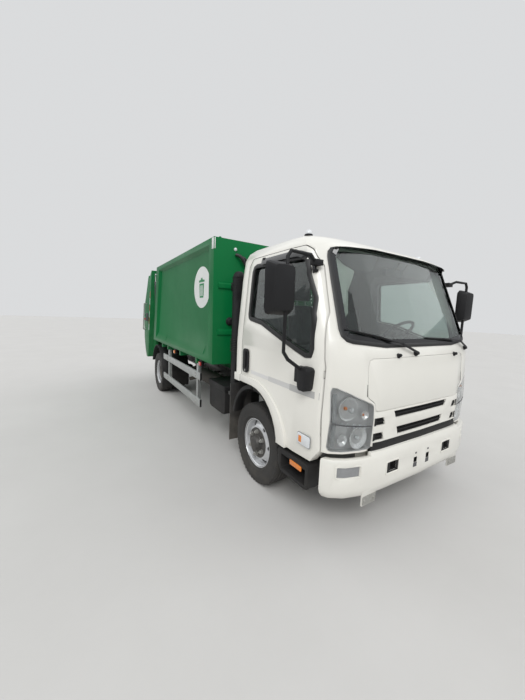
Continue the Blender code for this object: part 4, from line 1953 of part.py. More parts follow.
def bin_lifter():
    """Return the bin lifter: two arms, a cross tube and the toothed comb."""
    half = LIFTER_THICKNESS / 2
    low = LIFTER_Z - LIFTER_DROP
    parts = []
    comb_low = between(low, LIFTER_Z, LIFTER_COMB_LOW_SHARE)
    comb = box(-LIFTER_ARM_X - LIFTER_ARM / 2, LIFTER_ARM_X + LIFTER_ARM / 2, LIFTER_Y - half * 0.5,
               LIFTER_Y + half * 0.5,
               comb_low, comb_low + LIFTER_COMB_HEIGHT)
    parts.append(comb)
    for index in range(LIFTER_TEETH):
        x = between(-LIFTER_ARM_X, LIFTER_ARM_X, (index + 0.5) / LIFTER_TEETH)
        wide = LIFTER_ARM_X / LIFTER_TEETH * 0.55
        top = comb_low + LIFTER_COMB_HEIGHT
        tooth = [(LIFTER_Y, top - LIFTER_TOOTH_HEIGHT), (LIFTER_Y + half + LIFTER_TOOTH,
                                                         top - LIFTER_TOOTH_HEIGHT / 3),
                 (LIFTER_Y + half + LIFTER_TOOTH, top + LIFTER_TOOTH_HEIGHT / 2), (LIFTER_Y, top - SINK)]
        parts.append(prism(tooth, "x", x - wide, x + wide))
    for _, side in SIDES:
        x = (side * (LIFTER_ARM_X - LIFTER_ARM / 2), side * (LIFTER_ARM_X + LIFTER_ARM / 2))
        arm = box(*x, LIFTER_Y - half, LIFTER_Y + half, low, LIFTER_Z)
        boss = rod((x[0], LIFTER_Y, LIFTER_Z), (x[1], LIFTER_Y, LIFTER_Z), LIFTER_BOSS)
        bore = rod((x[0] - side * OVERRUN, LIFTER_Y, LIFTER_Z),
                   (x[1] + side * OVERRUN, LIFTER_Y, LIFTER_Z), LIFTER_PIN + PIN_GAP)
        parts.append(cut(joined(arm, boss), bore))
    z = low + LIFTER_THICKNESS
    parts.append(rod((-LIFTER_ARM_X, LIFTER_Y, z), (LIFTER_ARM_X, LIFTER_Y, z), half * 0.9, 12))
    return joined(*parts)


CYLINDER_FOOT = Vector((0, CYLINDER_FOOT_Y, CYLINDER_FOOT_Z))
CYLINDER_HEAD = Vector((0, CYLINDER_HEAD_Y, CYLINDER_HEAD_Z))
CYLINDER_WAY = (CYLINDER_HEAD - CYLINDER_FOOT).normalized()
CYLINDER_LENGTH = (CYLINDER_HEAD - CYLINDER_FOOT).length


def cylinder_barrel(side):
    """Return a lift cylinder's barrel with its foot eye."""
    x = Vector((side * CYLINDER_X, 0, 0))
    half = Vector((CYLINDER_EYE_WIDTH / 2, 0, 0))
    start = CYLINDER_FOOT + x
    end = start + CYLINDER_WAY * (CYLINDER_LENGTH * CYLINDER_BARREL_SHARE)
    eye = rod(start - half, start + half, CYLINDER_EYE)
    barrel = rod(start + CYLINDER_WAY * CYLINDER_EYE, end, CYLINDER_RADIUS, CYLINDER_SIDES)
    neck = rod(start, start + CYLINDER_WAY * CYLINDER_EYE * 1.5, CYLINDER_EYE * 0.6, CYLINDER_SIDES)
    foot_bore = rod(start - half * 2, start + half * 2, CYLINDER_EYE / 2 + PIN_GAP)
    rod_bore = rod(start + CYLINDER_WAY * CYLINDER_EYE * 2, end + CYLINDER_WAY * OVERRUN,
                   CYLINDER_ROD + PIN_GAP, CYLINDER_SIDES)
    return cut(joined(eye, neck, barrel), foot_bore, rod_bore)


def cylinder_rod(side):
    """Return a lift cylinder's rod with its head eye."""
    x = Vector((side * CYLINDER_X, 0, 0))
    half = Vector((CYLINDER_EYE_WIDTH / 2, 0, 0))
    head = CYLINDER_HEAD + x
    start = CYLINDER_FOOT + x + CYLINDER_WAY * (CYLINDER_EYE * 2.4)
    return joined(rod(start, head, CYLINDER_ROD, CYLINDER_SIDES),
                  rod(head - half, head + half, CYLINDER_EYE))


def build_bodies():
    """Add the tree of moving bodies."""
    add_body("chassis")
    add_body("cab", (0, PIVOT_Y, PIVOT_Z), "chassis")
    for name, side in SIDES:
        hinge_x, hinge_y = hinge_place()
        add_body("door_" + name, (side * hinge_x, hinge_y, WAIST), "cab")
        add_body("knuckle_" + name, (side * KINGPIN_X, 0, TYRE_RADIUS), "chassis")
        add_body("wheel_front_" + name, (side * FRONT_WHEEL_X, 0, TYRE_RADIUS), "knuckle_" + name)
        add_body("wheel_rear_" + name, (side * REAR_WHEEL_X, WHEELBASE, TYRE_RADIUS), "chassis")
    add_body("track_rod", (-KINGPIN_X, STEERING_ARM, TYRE_RADIUS), "knuckle_right")
    add_body("tailgate", (0, GATE_PIN_Y, GATE_PIN_Z), "chassis")
    add_body("packer", tuple(CARRIAGE_START), "tailgate")
    add_body("sweep", tuple(SWEEP_PIVOT), "packer")
    add_body("bin_lifter", (0, LIFTER_Y, LIFTER_Z), "tailgate")
    for name, side in SIDES:
        add_body("lift_barrel_" + name, (side * CYLINDER_X, CYLINDER_FOOT_Y, CYLINDER_FOOT_Z), "chassis")
        add_body("lift_rod_" + name, (side * CYLINDER_X, CYLINDER_HEAD_Y, CYLINDER_HEAD_Z),
                 "lift_barrel_" + name)




def build_chassis():
    """Add the pieces of the chassis."""
    add_part("chassis_frame", chassis_frame(), "chassis", "frame paint")
    add_part("front_axle_beam", front_axle(), "chassis", "cast iron")
    add_part("rear_axle", rear_axle(), "chassis", "cast iron")
    add_part("propeller_shaft", propeller_shaft(), "chassis", "cast iron")
    add_part("engine_block", engine_block(), "chassis", "cast iron")
    add_part("fuel_tank", fuel_tank(), "chassis", "frame paint")
    add_part("battery_box", battery_box(), "chassis", "black plastic")
    add_part("silencer", silencer(), "chassis", "cast iron")
    add_part("front_bumper", cut(bumper(), *fog_cutters()), "chassis", "white paint")
    add_part("air_intake", air_intake(), "chassis", "black plastic")
    add_part("body_shell", body_shell(), "chassis", "green paint")
    for name, side in SIDES:
        add_part("side_guard_" + name, side_guard(side), "chassis", "aluminium")
        add_part("rear_mudguard_" + name, rear_mudguard(side), "chassis", "black plastic")


def build_wheels():
    """Add wheels, tyres and steering."""
    add_part("track_rod", track_rod(), "track_rod", "cast iron")
    half = TWIN_SPACING / 2
    for name, side in SIDES:
        add_part("knuckle_" + name, knuckle(side), "knuckle_" + name, "cast iron")
        add_part("front_wheel_" + name, front_wheel(side), "wheel_front_" + name, "silver paint")
        add_part("front_tyre_" + name, tyre(side * FRONT_WHEEL_X, 0), "wheel_front_" + name,
                 "tyre rubber")
        add_part("rear_wheel_" + name, rear_wheel(side), "wheel_rear_" + name, "silver paint")
        for place, offset in (("outer", half), ("inner", -half)):
            add_part("rear_tyre_" + place + "_" + name, tyre(side * (REAR_WHEEL_X + offset), WHEELBASE),
                     "wheel_rear_" + name, "tyre rubber")


def build_cab():
    """Add the cab, its doors and what is inside."""
    add_part("cab_shell", cab_shell(), "cab", "white paint")
    add_part("front_panel", front_panel(), "cab", "white paint")
    add_part("grille_panel", grille_panel(), "cab", "white paint")
    add_part("windscreen", windscreen(), "cab", "glass")
    add_part("rear_window", rear_window(), "cab", "glass")
    wheel = steering_wheel()
    dash = dashboard()
    reach = STEERING_COLUMN + SEAT_GAP * 2
    bore = rod((DRIVER_X, STEERING_WHEEL_Y, STEERING_WHEEL_Z),
               (DRIVER_X, STEERING_WHEEL_Y - math.cos(STEERING_TILT) * reach,
                STEERING_WHEEL_Z - math.sin(STEERING_TILT) * reach), COLUMN_RADIUS + SEAT_GAP * 2, 14)
    add_part("dashboard", cut(dash, bore), "cab", "grey trim")
    add_part("steering_wheel", wheel, "cab", "black plastic")
    add_part("driver_seat", seat(DRIVER_X - DRIVER_WIDTH / 2, DRIVER_X + DRIVER_WIDTH / 2, (DRIVER_X,)),
             "cab", "seat cloth")
    quarter = (BENCH_OUTER + BENCH_INNER) / 4
    middle = -(BENCH_OUTER - BENCH_INNER) / 2
    add_part("passenger_bench", seat(-BENCH_OUTER, -BENCH_INNER - DRIVER_WIDTH / 4,
                                     (middle - quarter, middle + quarter)), "cab", "seat cloth")
    for name, side in SIDES:
        add_part("headlamp_" + name, headlamp(side), "cab", "lamp")
        add_part("entry_step_" + name, entry_step(side), "cab", "black plastic")
        add_part("door_" + name, door(side), "door_" + name, "white paint")
        add_part("door_glass_" + name, door_glass(side), "door_" + name, "glass")
        add_part("mirror_" + name, mirror(side), "door_" + name, "black plastic")


def build_tailgate():
    """Add the tailgate, its packer, the bin lifter and the lift cylinders."""
    add_part("tailgate", tailgate(), "tailgate", "green paint")
    add_part("packer_carriage", carriage(), "packer", "green paint")
    add_part("sweep_panel", sweep_panel(), "sweep", "bare steel")
    add_part("bin_lifter", bin_lifter(), "bin_lifter", "green paint")
    for name, side in SIDES:
        add_part("lift_barrel_" + name, cylinder_barrel(side), "lift_barrel_" + name, "frame paint")
        add_part("lift_rod_" + name, cylinder_rod(side), "lift_rod_" + name, "bare steel")


def main():
    """Clear the scene and build the truck."""
    for obj in list(bpy.data.objects):
        bpy.data.objects.remove(obj)
    build_bodies()
    build_chassis()
    build_wheels()
    build_cab()
    build_tailgate()


main()
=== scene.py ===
"""Looks of a rear-loading garbage truck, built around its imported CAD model.

The CAD model gives every place and size. This script rounds its edges, gives each node and piece a
procedural finish, and adds what the CAD leaves out: tread, nuts, seals, lamps, wipers, hoses and seats.
Lengths are metres; +Z is up, the front faces -Y and the driver sits at +X.
"""

import json
import logging
import math
from collections.abc import Iterable, Sequence
from dataclasses import dataclass, field
from enum import Enum

import bmesh
import bpy
from mathutils import Matrix, Vector
from mathutils.bvhtree import BVHTree


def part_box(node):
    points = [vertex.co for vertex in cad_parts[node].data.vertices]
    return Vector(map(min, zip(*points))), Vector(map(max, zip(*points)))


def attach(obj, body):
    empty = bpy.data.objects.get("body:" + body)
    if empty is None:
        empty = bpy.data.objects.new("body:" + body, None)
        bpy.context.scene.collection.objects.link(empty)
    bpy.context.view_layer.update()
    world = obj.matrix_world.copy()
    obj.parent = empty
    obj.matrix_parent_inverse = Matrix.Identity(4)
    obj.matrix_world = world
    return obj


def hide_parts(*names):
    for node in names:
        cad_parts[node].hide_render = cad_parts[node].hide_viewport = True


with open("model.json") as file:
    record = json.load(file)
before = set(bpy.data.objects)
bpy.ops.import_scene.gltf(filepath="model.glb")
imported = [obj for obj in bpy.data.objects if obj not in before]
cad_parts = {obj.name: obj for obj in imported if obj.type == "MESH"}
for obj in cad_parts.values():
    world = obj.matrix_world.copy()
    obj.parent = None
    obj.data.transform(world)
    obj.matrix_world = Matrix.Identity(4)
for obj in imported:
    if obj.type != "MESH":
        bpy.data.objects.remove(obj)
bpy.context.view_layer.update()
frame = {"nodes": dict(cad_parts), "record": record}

LOG = logging.getLogger("garbage_truck")
# Places behind the front axle, how far out the frame reaches, and directions
FRONT_AXLE_Y = -2.0245
WHEELBASE = 3.815
FRONT_WALL = 0.834
RAIL_CLEAR = 0.47
FORWARDS = Vector((0, -1, 0)).freeze()
BACKWARDS = Vector((0, 1, 0)).freeze()
UPWARDS = Vector((0, 0, 1)).freeze()
DOWNWARDS = Vector((0, 0, -1)).freeze()
LEFTWARDS = Vector((1, 0, 0)).freeze()
MERGE = 1e-5
SIDES = (-1, 1)
SIDE_NAMES = {-1: "right", 1: "left"}

Rgb = tuple[float, float, float]
Place = tuple[float, float, float]


def at(across: float, along: float, up: float) -> Vector:
    """Gives the model place of a point measured from the front axle.

    Args:
        across: Distance from the middle plane, to the driver's side.
        along: Distance behind the front axle.
        up: Height above the ground.

    Returns:
        The place in the model's frame.
    """
    return Vector((across, along + FRONT_AXLE_Y, up))


# Shader groups


class Graph:
    """Adds and joins the nodes of one shader or geometry tree."""

    def __init__(self, tree: bpy.types.NodeTree) -> None:
        """Keeps the tree that the nodes go into."""
        self.tree = tree

    def add(self, kind: str, values: dict | None = None, **settings: object) -> bpy.types.Node:
        """Adds a node.

        Args:
            kind: Blender's name of the node's type.
            values: Plain values or source sockets, by input name or number.
            settings: Attributes to set on the node.

        Returns:
            The new node.
        """
        node = self.tree.nodes.new(kind)
        for name, value in settings.items():
            setattr(node, name, value)
        for name, value in (values or {}).items():
            if isinstance(value, bpy.types.NodeSocket):
                self.tree.links.new(value, node.inputs[name])
            else:
                node.inputs[name].default_value = value
        return node

    def math(self, how: str, first: object, second: object = 0.0) -> bpy.types.NodeSocket:
        """Gives the clamped result of one sum on two values or sockets."""
        return self.add("ShaderNodeMath", {0: first, 1: second}, operation=how, use_clamp=True).outputs[0]

    def blend(self, share: object, first: object, second: object) -> bpy.types.NodeSocket:
        """Gives the colour between two colours at a share."""
        node = self.add("ShaderNodeMix", data_type="RGBA")
        for name, value in ((0, share), (6, first), (7, second)):
            if isinstance(value, bpy.types.NodeSocket):
                self.tree.links.new(value, node.inputs[name])
            else:
                node.inputs[name].default_value = value if name == 0 else (*value, 1.0)
        return node.outputs[2]


def effect(
    name: str, sizes: dict[str, float], output: str
) -> tuple[bpy.types.NodeTree, Graph, bpy.types.Node, bpy.types.Node]:
    """Starts a shader node group for an effect that several materials share.

    Args:
        name: The group's name.
        sizes: Its number inputs and their default values.
        output: The name of its one output.

    Returns:
        The group, its graph, and its input and output nodes.
    """
    group = bpy.data.node_groups.new(name, "ShaderNodeTree")
    for title, value in sizes.items():
        group.interface.new_socket(title, in_out="INPUT",
                                   socket_type="NodeSocketFloat").default_value = value
    group.interface.new_socket(output, in_out="OUTPUT", socket_type="NodeSocketFloat")
    graph = Graph(group)
    return group, graph, graph.add("NodeGroupInput"), graph.add("NodeGroupOutput")


def drift_effect() -> bpy.types.NodeTree:
    """Makes the group that gives slow colour variation over a surface."""
    group, graph, given, result = effect("colour drift", {"Frequency": 2.0, "Amount": 0.2}, "Mask")
    spot = graph.add("ShaderNodeTexCoord")
    noise = graph.add(
        "ShaderNodeTexNoise",
        {"Vector": spot.outputs["Object"], "Scale": given.outputs["Frequency"], "Detail": 5.0,
         "Roughness": 0.6},
    )
    spread = graph.add("ShaderNodeMapRange", {0: noise.outputs["Fac"], 1: 0.35, 2: 0.65})
    graph.tree.links.new(graph.math("MULTIPLY", spread.outputs[0], given.outputs["Amount"]),
                         result.inputs["Mask"])
    return group


def dust_effect() -> bpy.types.NodeTree:
    """Makes the group that gathers road dust low down on the truck."""
    group, graph, given, result = effect("road dust", {"Height": 1.0, "Amount": 0.3}, "Mask")
    spot = graph.add("ShaderNodeTexCoord")
    parts = graph.add("ShaderNodeSeparateXYZ", {0: spot.outputs["Object"]})
    fall = graph.add("ShaderNodeMapRange", {0: parts.outputs["Z"], 1: given.outputs["Height"], 2: 0.0})
    noise = graph.add("ShaderNodeTexNoise", {"Vector": spot.outputs["Object"], "Scale": 7.0,
                                             "Detail": 6.0, "Roughness": 0.7})
    patch = graph.add("ShaderNodeMapRange", {0: noise.outputs["Fac"], 1: 0.38, 2: 0.68, 3: 0.35})
    mask = graph.math("MULTIPLY", fall.outputs[0], patch.outputs[0])
    graph.tree.links.new(graph.math("MULTIPLY", mask, given.outputs["Amount"]), result.inputs["Mask"])
    return group


def grain_effect() -> bpy.types.NodeTree:
    """Makes the group that gives a fine grain as a height."""
    group, graph, given, result = effect("fine grain", {"Frequency": 400.0}, "Height")
    spot = graph.add("ShaderNodeTexCoord")
    noise = graph.add(
        "ShaderNodeTexNoise",
        {"Vector": spot.outputs["Object"], "Scale": given.outputs["Frequency"], "Detail": 3.0,
         "Roughness": 0.55},
    )
    graph.tree.links.new(noise.outputs["Fac"], result.inputs["Height"])
    return group


def rub_effect() -> bpy.types.NodeTree:
    """Makes the group that gives long rub marks, as brushing or sliding refuse leaves them."""
    group, graph, given, result = effect("rub marks", {"Frequency": 30.0, "Amount": 0.5}, "Mask")
    spot = graph.add("ShaderNodeTexCoord")
    longer = graph.add("ShaderNodeMapping", {0: spot.outputs["Object"], 3: (1.0, 1.0, 0.06)})
    noise = graph.add(
        "ShaderNodeTexNoise",
        {"Vector": longer.outputs[0], "Scale": given.outputs["Frequency"], "Detail": 6.0,
         "Roughness": 0.7},
    )
    spread = graph.add("ShaderNodeMapRange", {0: noise.outputs["Fac"], 1: 0.45, 2: 0.7})
    graph.tree.links.new(graph.math("MULTIPLY", spread.outputs[0], given.outputs["Amount"]),
                         result.inputs["Mask"])
    return group


def weave_effect() -> bpy.types.NodeTree:
    """Makes the group that gives a plain weave as a height."""
    group, graph, given, result = effect("plain weave", {"Frequency": 300.0}, "Height")
    spot = graph.add("ShaderNodeTexCoord")
    waves = []
    for way in ("X", "Y"):
        wave = graph.add(
            "ShaderNodeTexWave",
            {"Vector": spot.outputs["Object"], "Scale": given.outputs["Frequency"], "Distortion": 0.6},
            bands_direction=way,
        )
        waves.append(wave.outputs["Fac"])
    graph.tree.links.new(graph.math("MULTIPLY", waves[0], waves[1]), result.inputs["Height"])
    return group


class Texture(Enum):
    """The fine surface that a finish has."""

    GRAIN = "fine grain"
    WEAVE = "plain weave"


class Slot(Enum):
    """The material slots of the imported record."""

    WHITE = "white_paint"
    GREEN = "green_paint"
    FRAME = "frame_paint"
    SILVER = "silver_paint"
    PLASTIC = "black_plastic"
    TRIM = "grey_trim"
    RUBBER = "tyre_rubber"
    ALUMINIUM = "aluminium"
    GLASS = "glass"
    LAMP = "lamp"
    IRON = "cast_iron"
    CLOTH = "seat_cloth"
    STEEL = "bare_steel"


@dataclass(frozen=True)
class Finish:
    """One finish: its colours, gloss, fine surface and dirt.

    Attributes:
        name: The material's name.
        slot: The record's slot that it belongs to; not used.
        colour: Main colour.
        second: Colour that it drifts towards.
        roughness: Roughness where it is clean.
        metallic: Share of metal.
        coat: Weight of the clear coat.
        clear: Transmission weight of glass and lenses.
        drift: How far the colour drifts.
        drift_rate: Patches of drift per metre.
        texture: Its fine surface.
        texture_rate: Repeats of the fine surface per metre.
        depth: Depth of the fine surface in metres.
        dust: Share of road dust low down.
        dust_height: Height up to which dust reaches.
        rub: Share of rub marks.
        sheen: Weight of the cloth's sheen.
        specular: Strength of the plain reflection.
    """

    name: str
    slot: Slot
    colour: Rgb
    second: Rgb
    roughness: float
    metallic: float = 0.0
    coat: float = 0.0
    clear: float = 0.0
    drift: float = 0.3
    drift_rate: float = 2.0
    texture: Texture = Texture.GRAIN
    texture_rate: float = 300.0
    depth: float = 0.0002
    dust: float = 0.0
    dust_height: float = 1.0
    rub: float = 0.0
    sheen: float = 0.0
    specular: float = 0.5


DUST: Rgb = (0.30, 0.27, 0.22)
RUBBED: Rgb = (0.30, 0.27, 0.24)

CAB_WHITE = Finish("cab white", Slot.WHITE, (0.79, 0.775, 0.715), (0.74, 0.725, 0.665), 0.28, coat=0.35,
                   drift=0.35, depth=0.00003, texture_rate=140, dust=0.15, dust_height=1.1)
BODY_GREEN = Finish("body green", Slot.GREEN, (0.001, 0.150, 0.040), (0.001, 0.120, 0.031), 0.36,
                    coat=0.06, specular=0.16, drift=0.5, drift_rate=1.2, depth=0.00004,
                    texture_rate=120, dust=0.10, dust_height=1.3)
HOPPER_GREEN = Finish("hopper green", Slot.GREEN, (0.001, 0.150, 0.040), (0.002, 0.115, 0.030), 0.40,
                      coat=0.06, specular=0.16, drift=0.6, drift_rate=3, depth=0.00005,
                      texture_rate=120, dust=0.16, dust_height=1.5, rub=0.08)
FRAME_BLACK = Finish("frame black", Slot.FRAME, (0.018, 0.018, 0.020), (0.030, 0.029, 0.028), 0.45,
                     coat=0.15, drift=0.5, drift_rate=6, depth=0.00008, dust=0.45)
RIM_SILVER = Finish("rim silver", Slot.SILVER, (0.66, 0.67, 0.68), (0.56, 0.57, 0.58), 0.28,
                    metallic=0.55, coat=0.2, drift=0.5, drift_rate=12, depth=0.00004, dust=0.12,
                    dust_height=0.8)
MOULDED_BLACK = Finish("moulded black", Slot.PLASTIC, (0.009, 0.009, 0.010), (0.014, 0.014, 0.015),
                       0.50, specular=0.3, drift=0.5, drift_rate=5, depth=0.00025, texture_rate=700,
                       dust=0.10)
MOULDED_GREY = Finish("moulded grey", Slot.TRIM, (0.085, 0.086, 0.090), (0.070, 0.071, 0.074), 0.58,
                      drift=0.4, drift_rate=4, depth=0.0003, texture_rate=600)
TREAD_RUBBER = Finish("tread rubber", Slot.RUBBER, (0.020, 0.020, 0.020), (0.034, 0.032, 0.030), 0.72,
                      drift=0.8, drift_rate=14, depth=0.0002, texture_rate=500, dust=0.14,
                      dust_height=0.9)
SEAL_RUBBER = Finish("seal rubber", Slot.PLASTIC, (0.010, 0.010, 0.010), (0.018, 0.018, 0.018), 0.42,
                     drift=0.5, drift_rate=12, depth=0.0001, texture_rate=700)
RAIL_ALUMINIUM = Finish("rail aluminium", Slot.ALUMINIUM, (0.52, 0.54, 0.53), (0.42, 0.44, 0.43), 0.42,
                        metallic=0.8, drift=0.6, drift_rate=16, depth=0.00008, texture_rate=260,
                        dust=0.30)
WINDOW_GLASS = Finish("window glass", Slot.GLASS, (0.52, 0.60, 0.57), (0.48, 0.56, 0.53), 0.015,
                      clear=1.0, drift=0.3, depth=0.0)
LENS_CLEAR = Finish("clear lens", Slot.LAMP, (0.86, 0.88, 0.88), (0.82, 0.84, 0.84), 0.03, clear=1.0,
                    drift=0.3, depth=0.00004, texture_rate=90)
LAMP_BOWL = Finish("lamp bowl", Slot.LAMP, (0.95, 0.95, 0.95), (0.84, 0.84, 0.85), 0.24, metallic=0.25,
                   coat=0.4, drift=0.5, drift_rate=40, depth=0.0006, texture_rate=45)
LAMP_GREY = Finish("lamp housing", Slot.LAMP, (0.62, 0.62, 0.62), (0.52, 0.52, 0.525), 0.28,
                   metallic=0.30, drift=0.4, drift_rate=14, depth=0.00005)
AMBER = Finish("amber lens", Slot.LAMP, (0.75, 0.22, 0.02), (0.62, 0.15, 0.01), 0.12, coat=0.6,
               drift=0.4, drift_rate=60, depth=0.0004, texture_rate=220)
RED = Finish("red lens", Slot.LAMP, (0.52, 0.012, 0.010), (0.36, 0.008, 0.008), 0.12, coat=0.6,
             drift=0.4, drift_rate=60, depth=0.0004, texture_rate=220)
CASTING = Finish("casting", Slot.IRON, (0.035, 0.034, 0.033), (0.070, 0.060, 0.050), 0.62, metallic=0.2,
                 drift=0.8, drift_rate=9, depth=0.0005, texture_rate=180, dust=0.5, dust_height=0.9)
HUB_IRON = Finish("hub iron", Slot.IRON, (0.045, 0.045, 0.046), (0.10, 0.095, 0.09), 0.45, metallic=0.4,
                  drift=0.7, drift_rate=18, depth=0.0003, texture_rate=200, dust=0.25, dust_height=0.8)
SEAT_CLOTH = Finish("seat cloth", Slot.CLOTH, (0.055, 0.057, 0.062), (0.035, 0.036, 0.040), 0.85,
                    drift=0.5, drift_rate=6, texture=Texture.WEAVE, texture_rate=160, depth=0.0008,
                    sheen=0.35)
WORN_STEEL = Finish("worn steel", Slot.STEEL, (0.46, 0.45, 0.43), (0.28, 0.25, 0.22), 0.36,
                    metallic=0.9, drift=0.7, drift_rate=6, depth=0.0002, texture_rate=160, dust=0.25,
                    dust_height=1.4, rub=0.5)
CHROME_ROD = Finish("chromed rod", Slot.STEEL, (0.62, 0.62, 0.62), (0.55, 0.55, 0.55), 0.12,
                    metallic=1.0, drift=0.4, drift_rate=20, depth=0.00002)
ZINC = Finish("zinc plate", Slot.STEEL, (0.50, 0.50, 0.48), (0.36, 0.35, 0.32), 0.34, metallic=0.85,
              drift=0.6, drift_rate=40, depth=0.0001, dust=0.2, dust_height=0.9)
MIRROR_FACE = Finish("mirror face", Slot.GLASS, (0.72, 0.74, 0.75), (0.66, 0.68, 0.69), 0.02,
                     metallic=1.0, drift=0.2, depth=0.0)
# Disc white is also used for the painted highlight patches on the body's top front corners.
DISC_WHITE = Finish("disc white", Slot.GREEN, (0.72, 0.74, 0.72), (0.64, 0.67, 0.64), 0.38, drift=0.4,
                    drift_rate=5, depth=0.00004)
MARK_GREEN = Finish("mark green", Slot.GREEN, (0.01, 0.22, 0.07), (0.01, 0.17, 0.06), 0.38, drift=0.4,
                    drift_rate=5, depth=0.00004)
BORDER_BLACK = Finish("border black", Slot.GLASS, (0.008, 0.008, 0.009), (0.012, 0.012, 0.013), 0.10,
                      coat=0.4, drift=0.3, depth=0.00002)
SLOT_BLACK = Finish("slot black", Slot.PLASTIC, (0.006, 0.006, 0.006), (0.010, 0.010, 0.010), 0.65,
                    drift=0.4, drift_rate=8, depth=0.0003)
VISOR_BLACK = Finish("visor black", Slot.PLASTIC, (0.012, 0.012, 0.013), (0.020, 0.020, 0.021), 0.16,
                     coat=0.5, drift=0.4, drift_rate=7, depth=0.00003)
FOG_GREY = Finish("fog glass", Slot.LAMP, (0.26, 0.265, 0.27), (0.20, 0.205, 0.21), 0.12, coat=0.5,
                  drift=0.4, drift_rate=40, depth=0.0004, texture_rate=150)
LENS_WHITE = Finish("white lens", Slot.LAMP, (0.74, 0.76, 0.77), (0.62, 0.64, 0.66), 0.10, coat=0.6,
                    drift=0.4, drift_rate=50, depth=0.0003, texture_rate=240)
REFLECTOR_GREY = Finish("grey reflector", Slot.LAMP, (0.40, 0.41, 0.42), (0.30, 0.31, 0.32), 0.18,
                        metallic=0.6, drift=0.4, drift_rate=40, depth=0.0004, texture_rate=260)
# Painted shade on the doors: a grey band in three steps, darkest at the front.
SHADE_BAND_DARK = Finish("painted shade dark", Slot.WHITE, (0.47, 0.47, 0.46), (0.43, 0.43, 0.42), 0.30,
                     metallic=0.1, coat=0.4, drift=0.4, drift_rate=5, depth=0.00003)
SHADE_BAND_MID = Finish("painted shade mid", Slot.WHITE, (0.62, 0.615, 0.60), (0.58, 0.575, 0.56), 0.30, coat=0.4,
                   drift=0.4, drift_rate=5, depth=0.00003)
SHADE_BAND_LIGHT = Finish("painted shade light", Slot.WHITE, (0.72, 0.715, 0.70), (0.68, 0.675, 0.66), 0.30, coat=0.4,
                    drift=0.4, drift_rate=5, depth=0.00003)


class Paintshop:
    """Makes each finish's material once, from the shared effects."""

    def __init__(self) -> None:
        """Builds the shared effect groups."""
        self.drift = drift_effect()
        self.dust = dust_effect()
        self.rub = rub_effect()
        self.textures = {Texture.GRAIN: grain_effect(), Texture.WEAVE: weave_effect()}
        self.made: dict[str, bpy.types.Material] = {}

    def material(self, finish: Finish) -> bpy.types.Material:
        """Gives the material of a finish, making it at its first use.

        Args:
            finish: The finish.

        Returns:
            Its node-based material.
        """
        if finish.name not in self.made:
            self.made[finish.name] = self.mixed(finish)
        return self.made[finish.name]

    def group(self, graph: Graph, tree: bpy.types.NodeTree, values: dict[str, float]) -> bpy.types.Node:
        """Places a shared effect in a material's tree with the material's own values."""
        node = graph.add("ShaderNodeGroup", node_tree=tree)
        for name, value in values.items():
            node.inputs[name].default_value = value
        return node

    def mixed(self, finish: Finish) -> bpy.types.Material:
        """Builds one material's nodes."""
        material = bpy.data.materials.new(finish.name)
        material.use_nodes = True
        graph = Graph(material.node_tree)
        shader = material.node_tree.nodes["Principled BSDF"]
        drift = self.group(graph, self.drift, {"Frequency": finish.drift_rate, "Amount": finish.drift})
        colour = graph.blend(drift.outputs[0], finish.colour, finish.second)
        rough = graph.add("ShaderNodeMapRange", {0: drift.outputs[0], 3: finish.roughness,
                                                 4: min(1.0, finish.roughness * 1.35)}).outputs[0]
        if finish.rub:
            rub = self.group(graph, self.rub, {"Frequency": 30.0, "Amount": finish.rub})
            colour = graph.blend(rub.outputs[0], colour, RUBBED)
        if finish.dust:
            dust = self.group(graph, self.dust, {"Height": finish.dust_height, "Amount": finish.dust})
            colour = graph.blend(dust.outputs[0], colour, DUST)
            rough = graph.math("ADD", rough, graph.math("MULTIPLY", dust.outputs[0], 0.5))
        links = material.node_tree.links
        links.new(colour, shader.inputs["Base Color"])
        links.new(rough, shader.inputs["Roughness"])
        shader.inputs["Metallic"].default_value = finish.metallic
        shader.inputs["Coat Weight"].default_value = finish.coat
        shader.inputs["Coat Roughness"].default_value = 0.08
        shader.inputs["Transmission Weight"].default_value = finish.clear
        shader.inputs["Sheen Weight"].default_value = finish.sheen
        shader.inputs["Specular IOR Level"].default_value = finish.specular
        if finish.depth:
            texture = self.group(graph, self.textures[finish.texture], {"Frequency": finish.texture_rate})
            bump = graph.add("ShaderNodeBump", {"Height": texture.outputs[0], "Distance": finish.depth,
                                                "Strength": 1.0})
            links.new(bump.outputs[0], shader.inputs["Normal"])
        return material


PAINT = Paintshop()


# Shapes


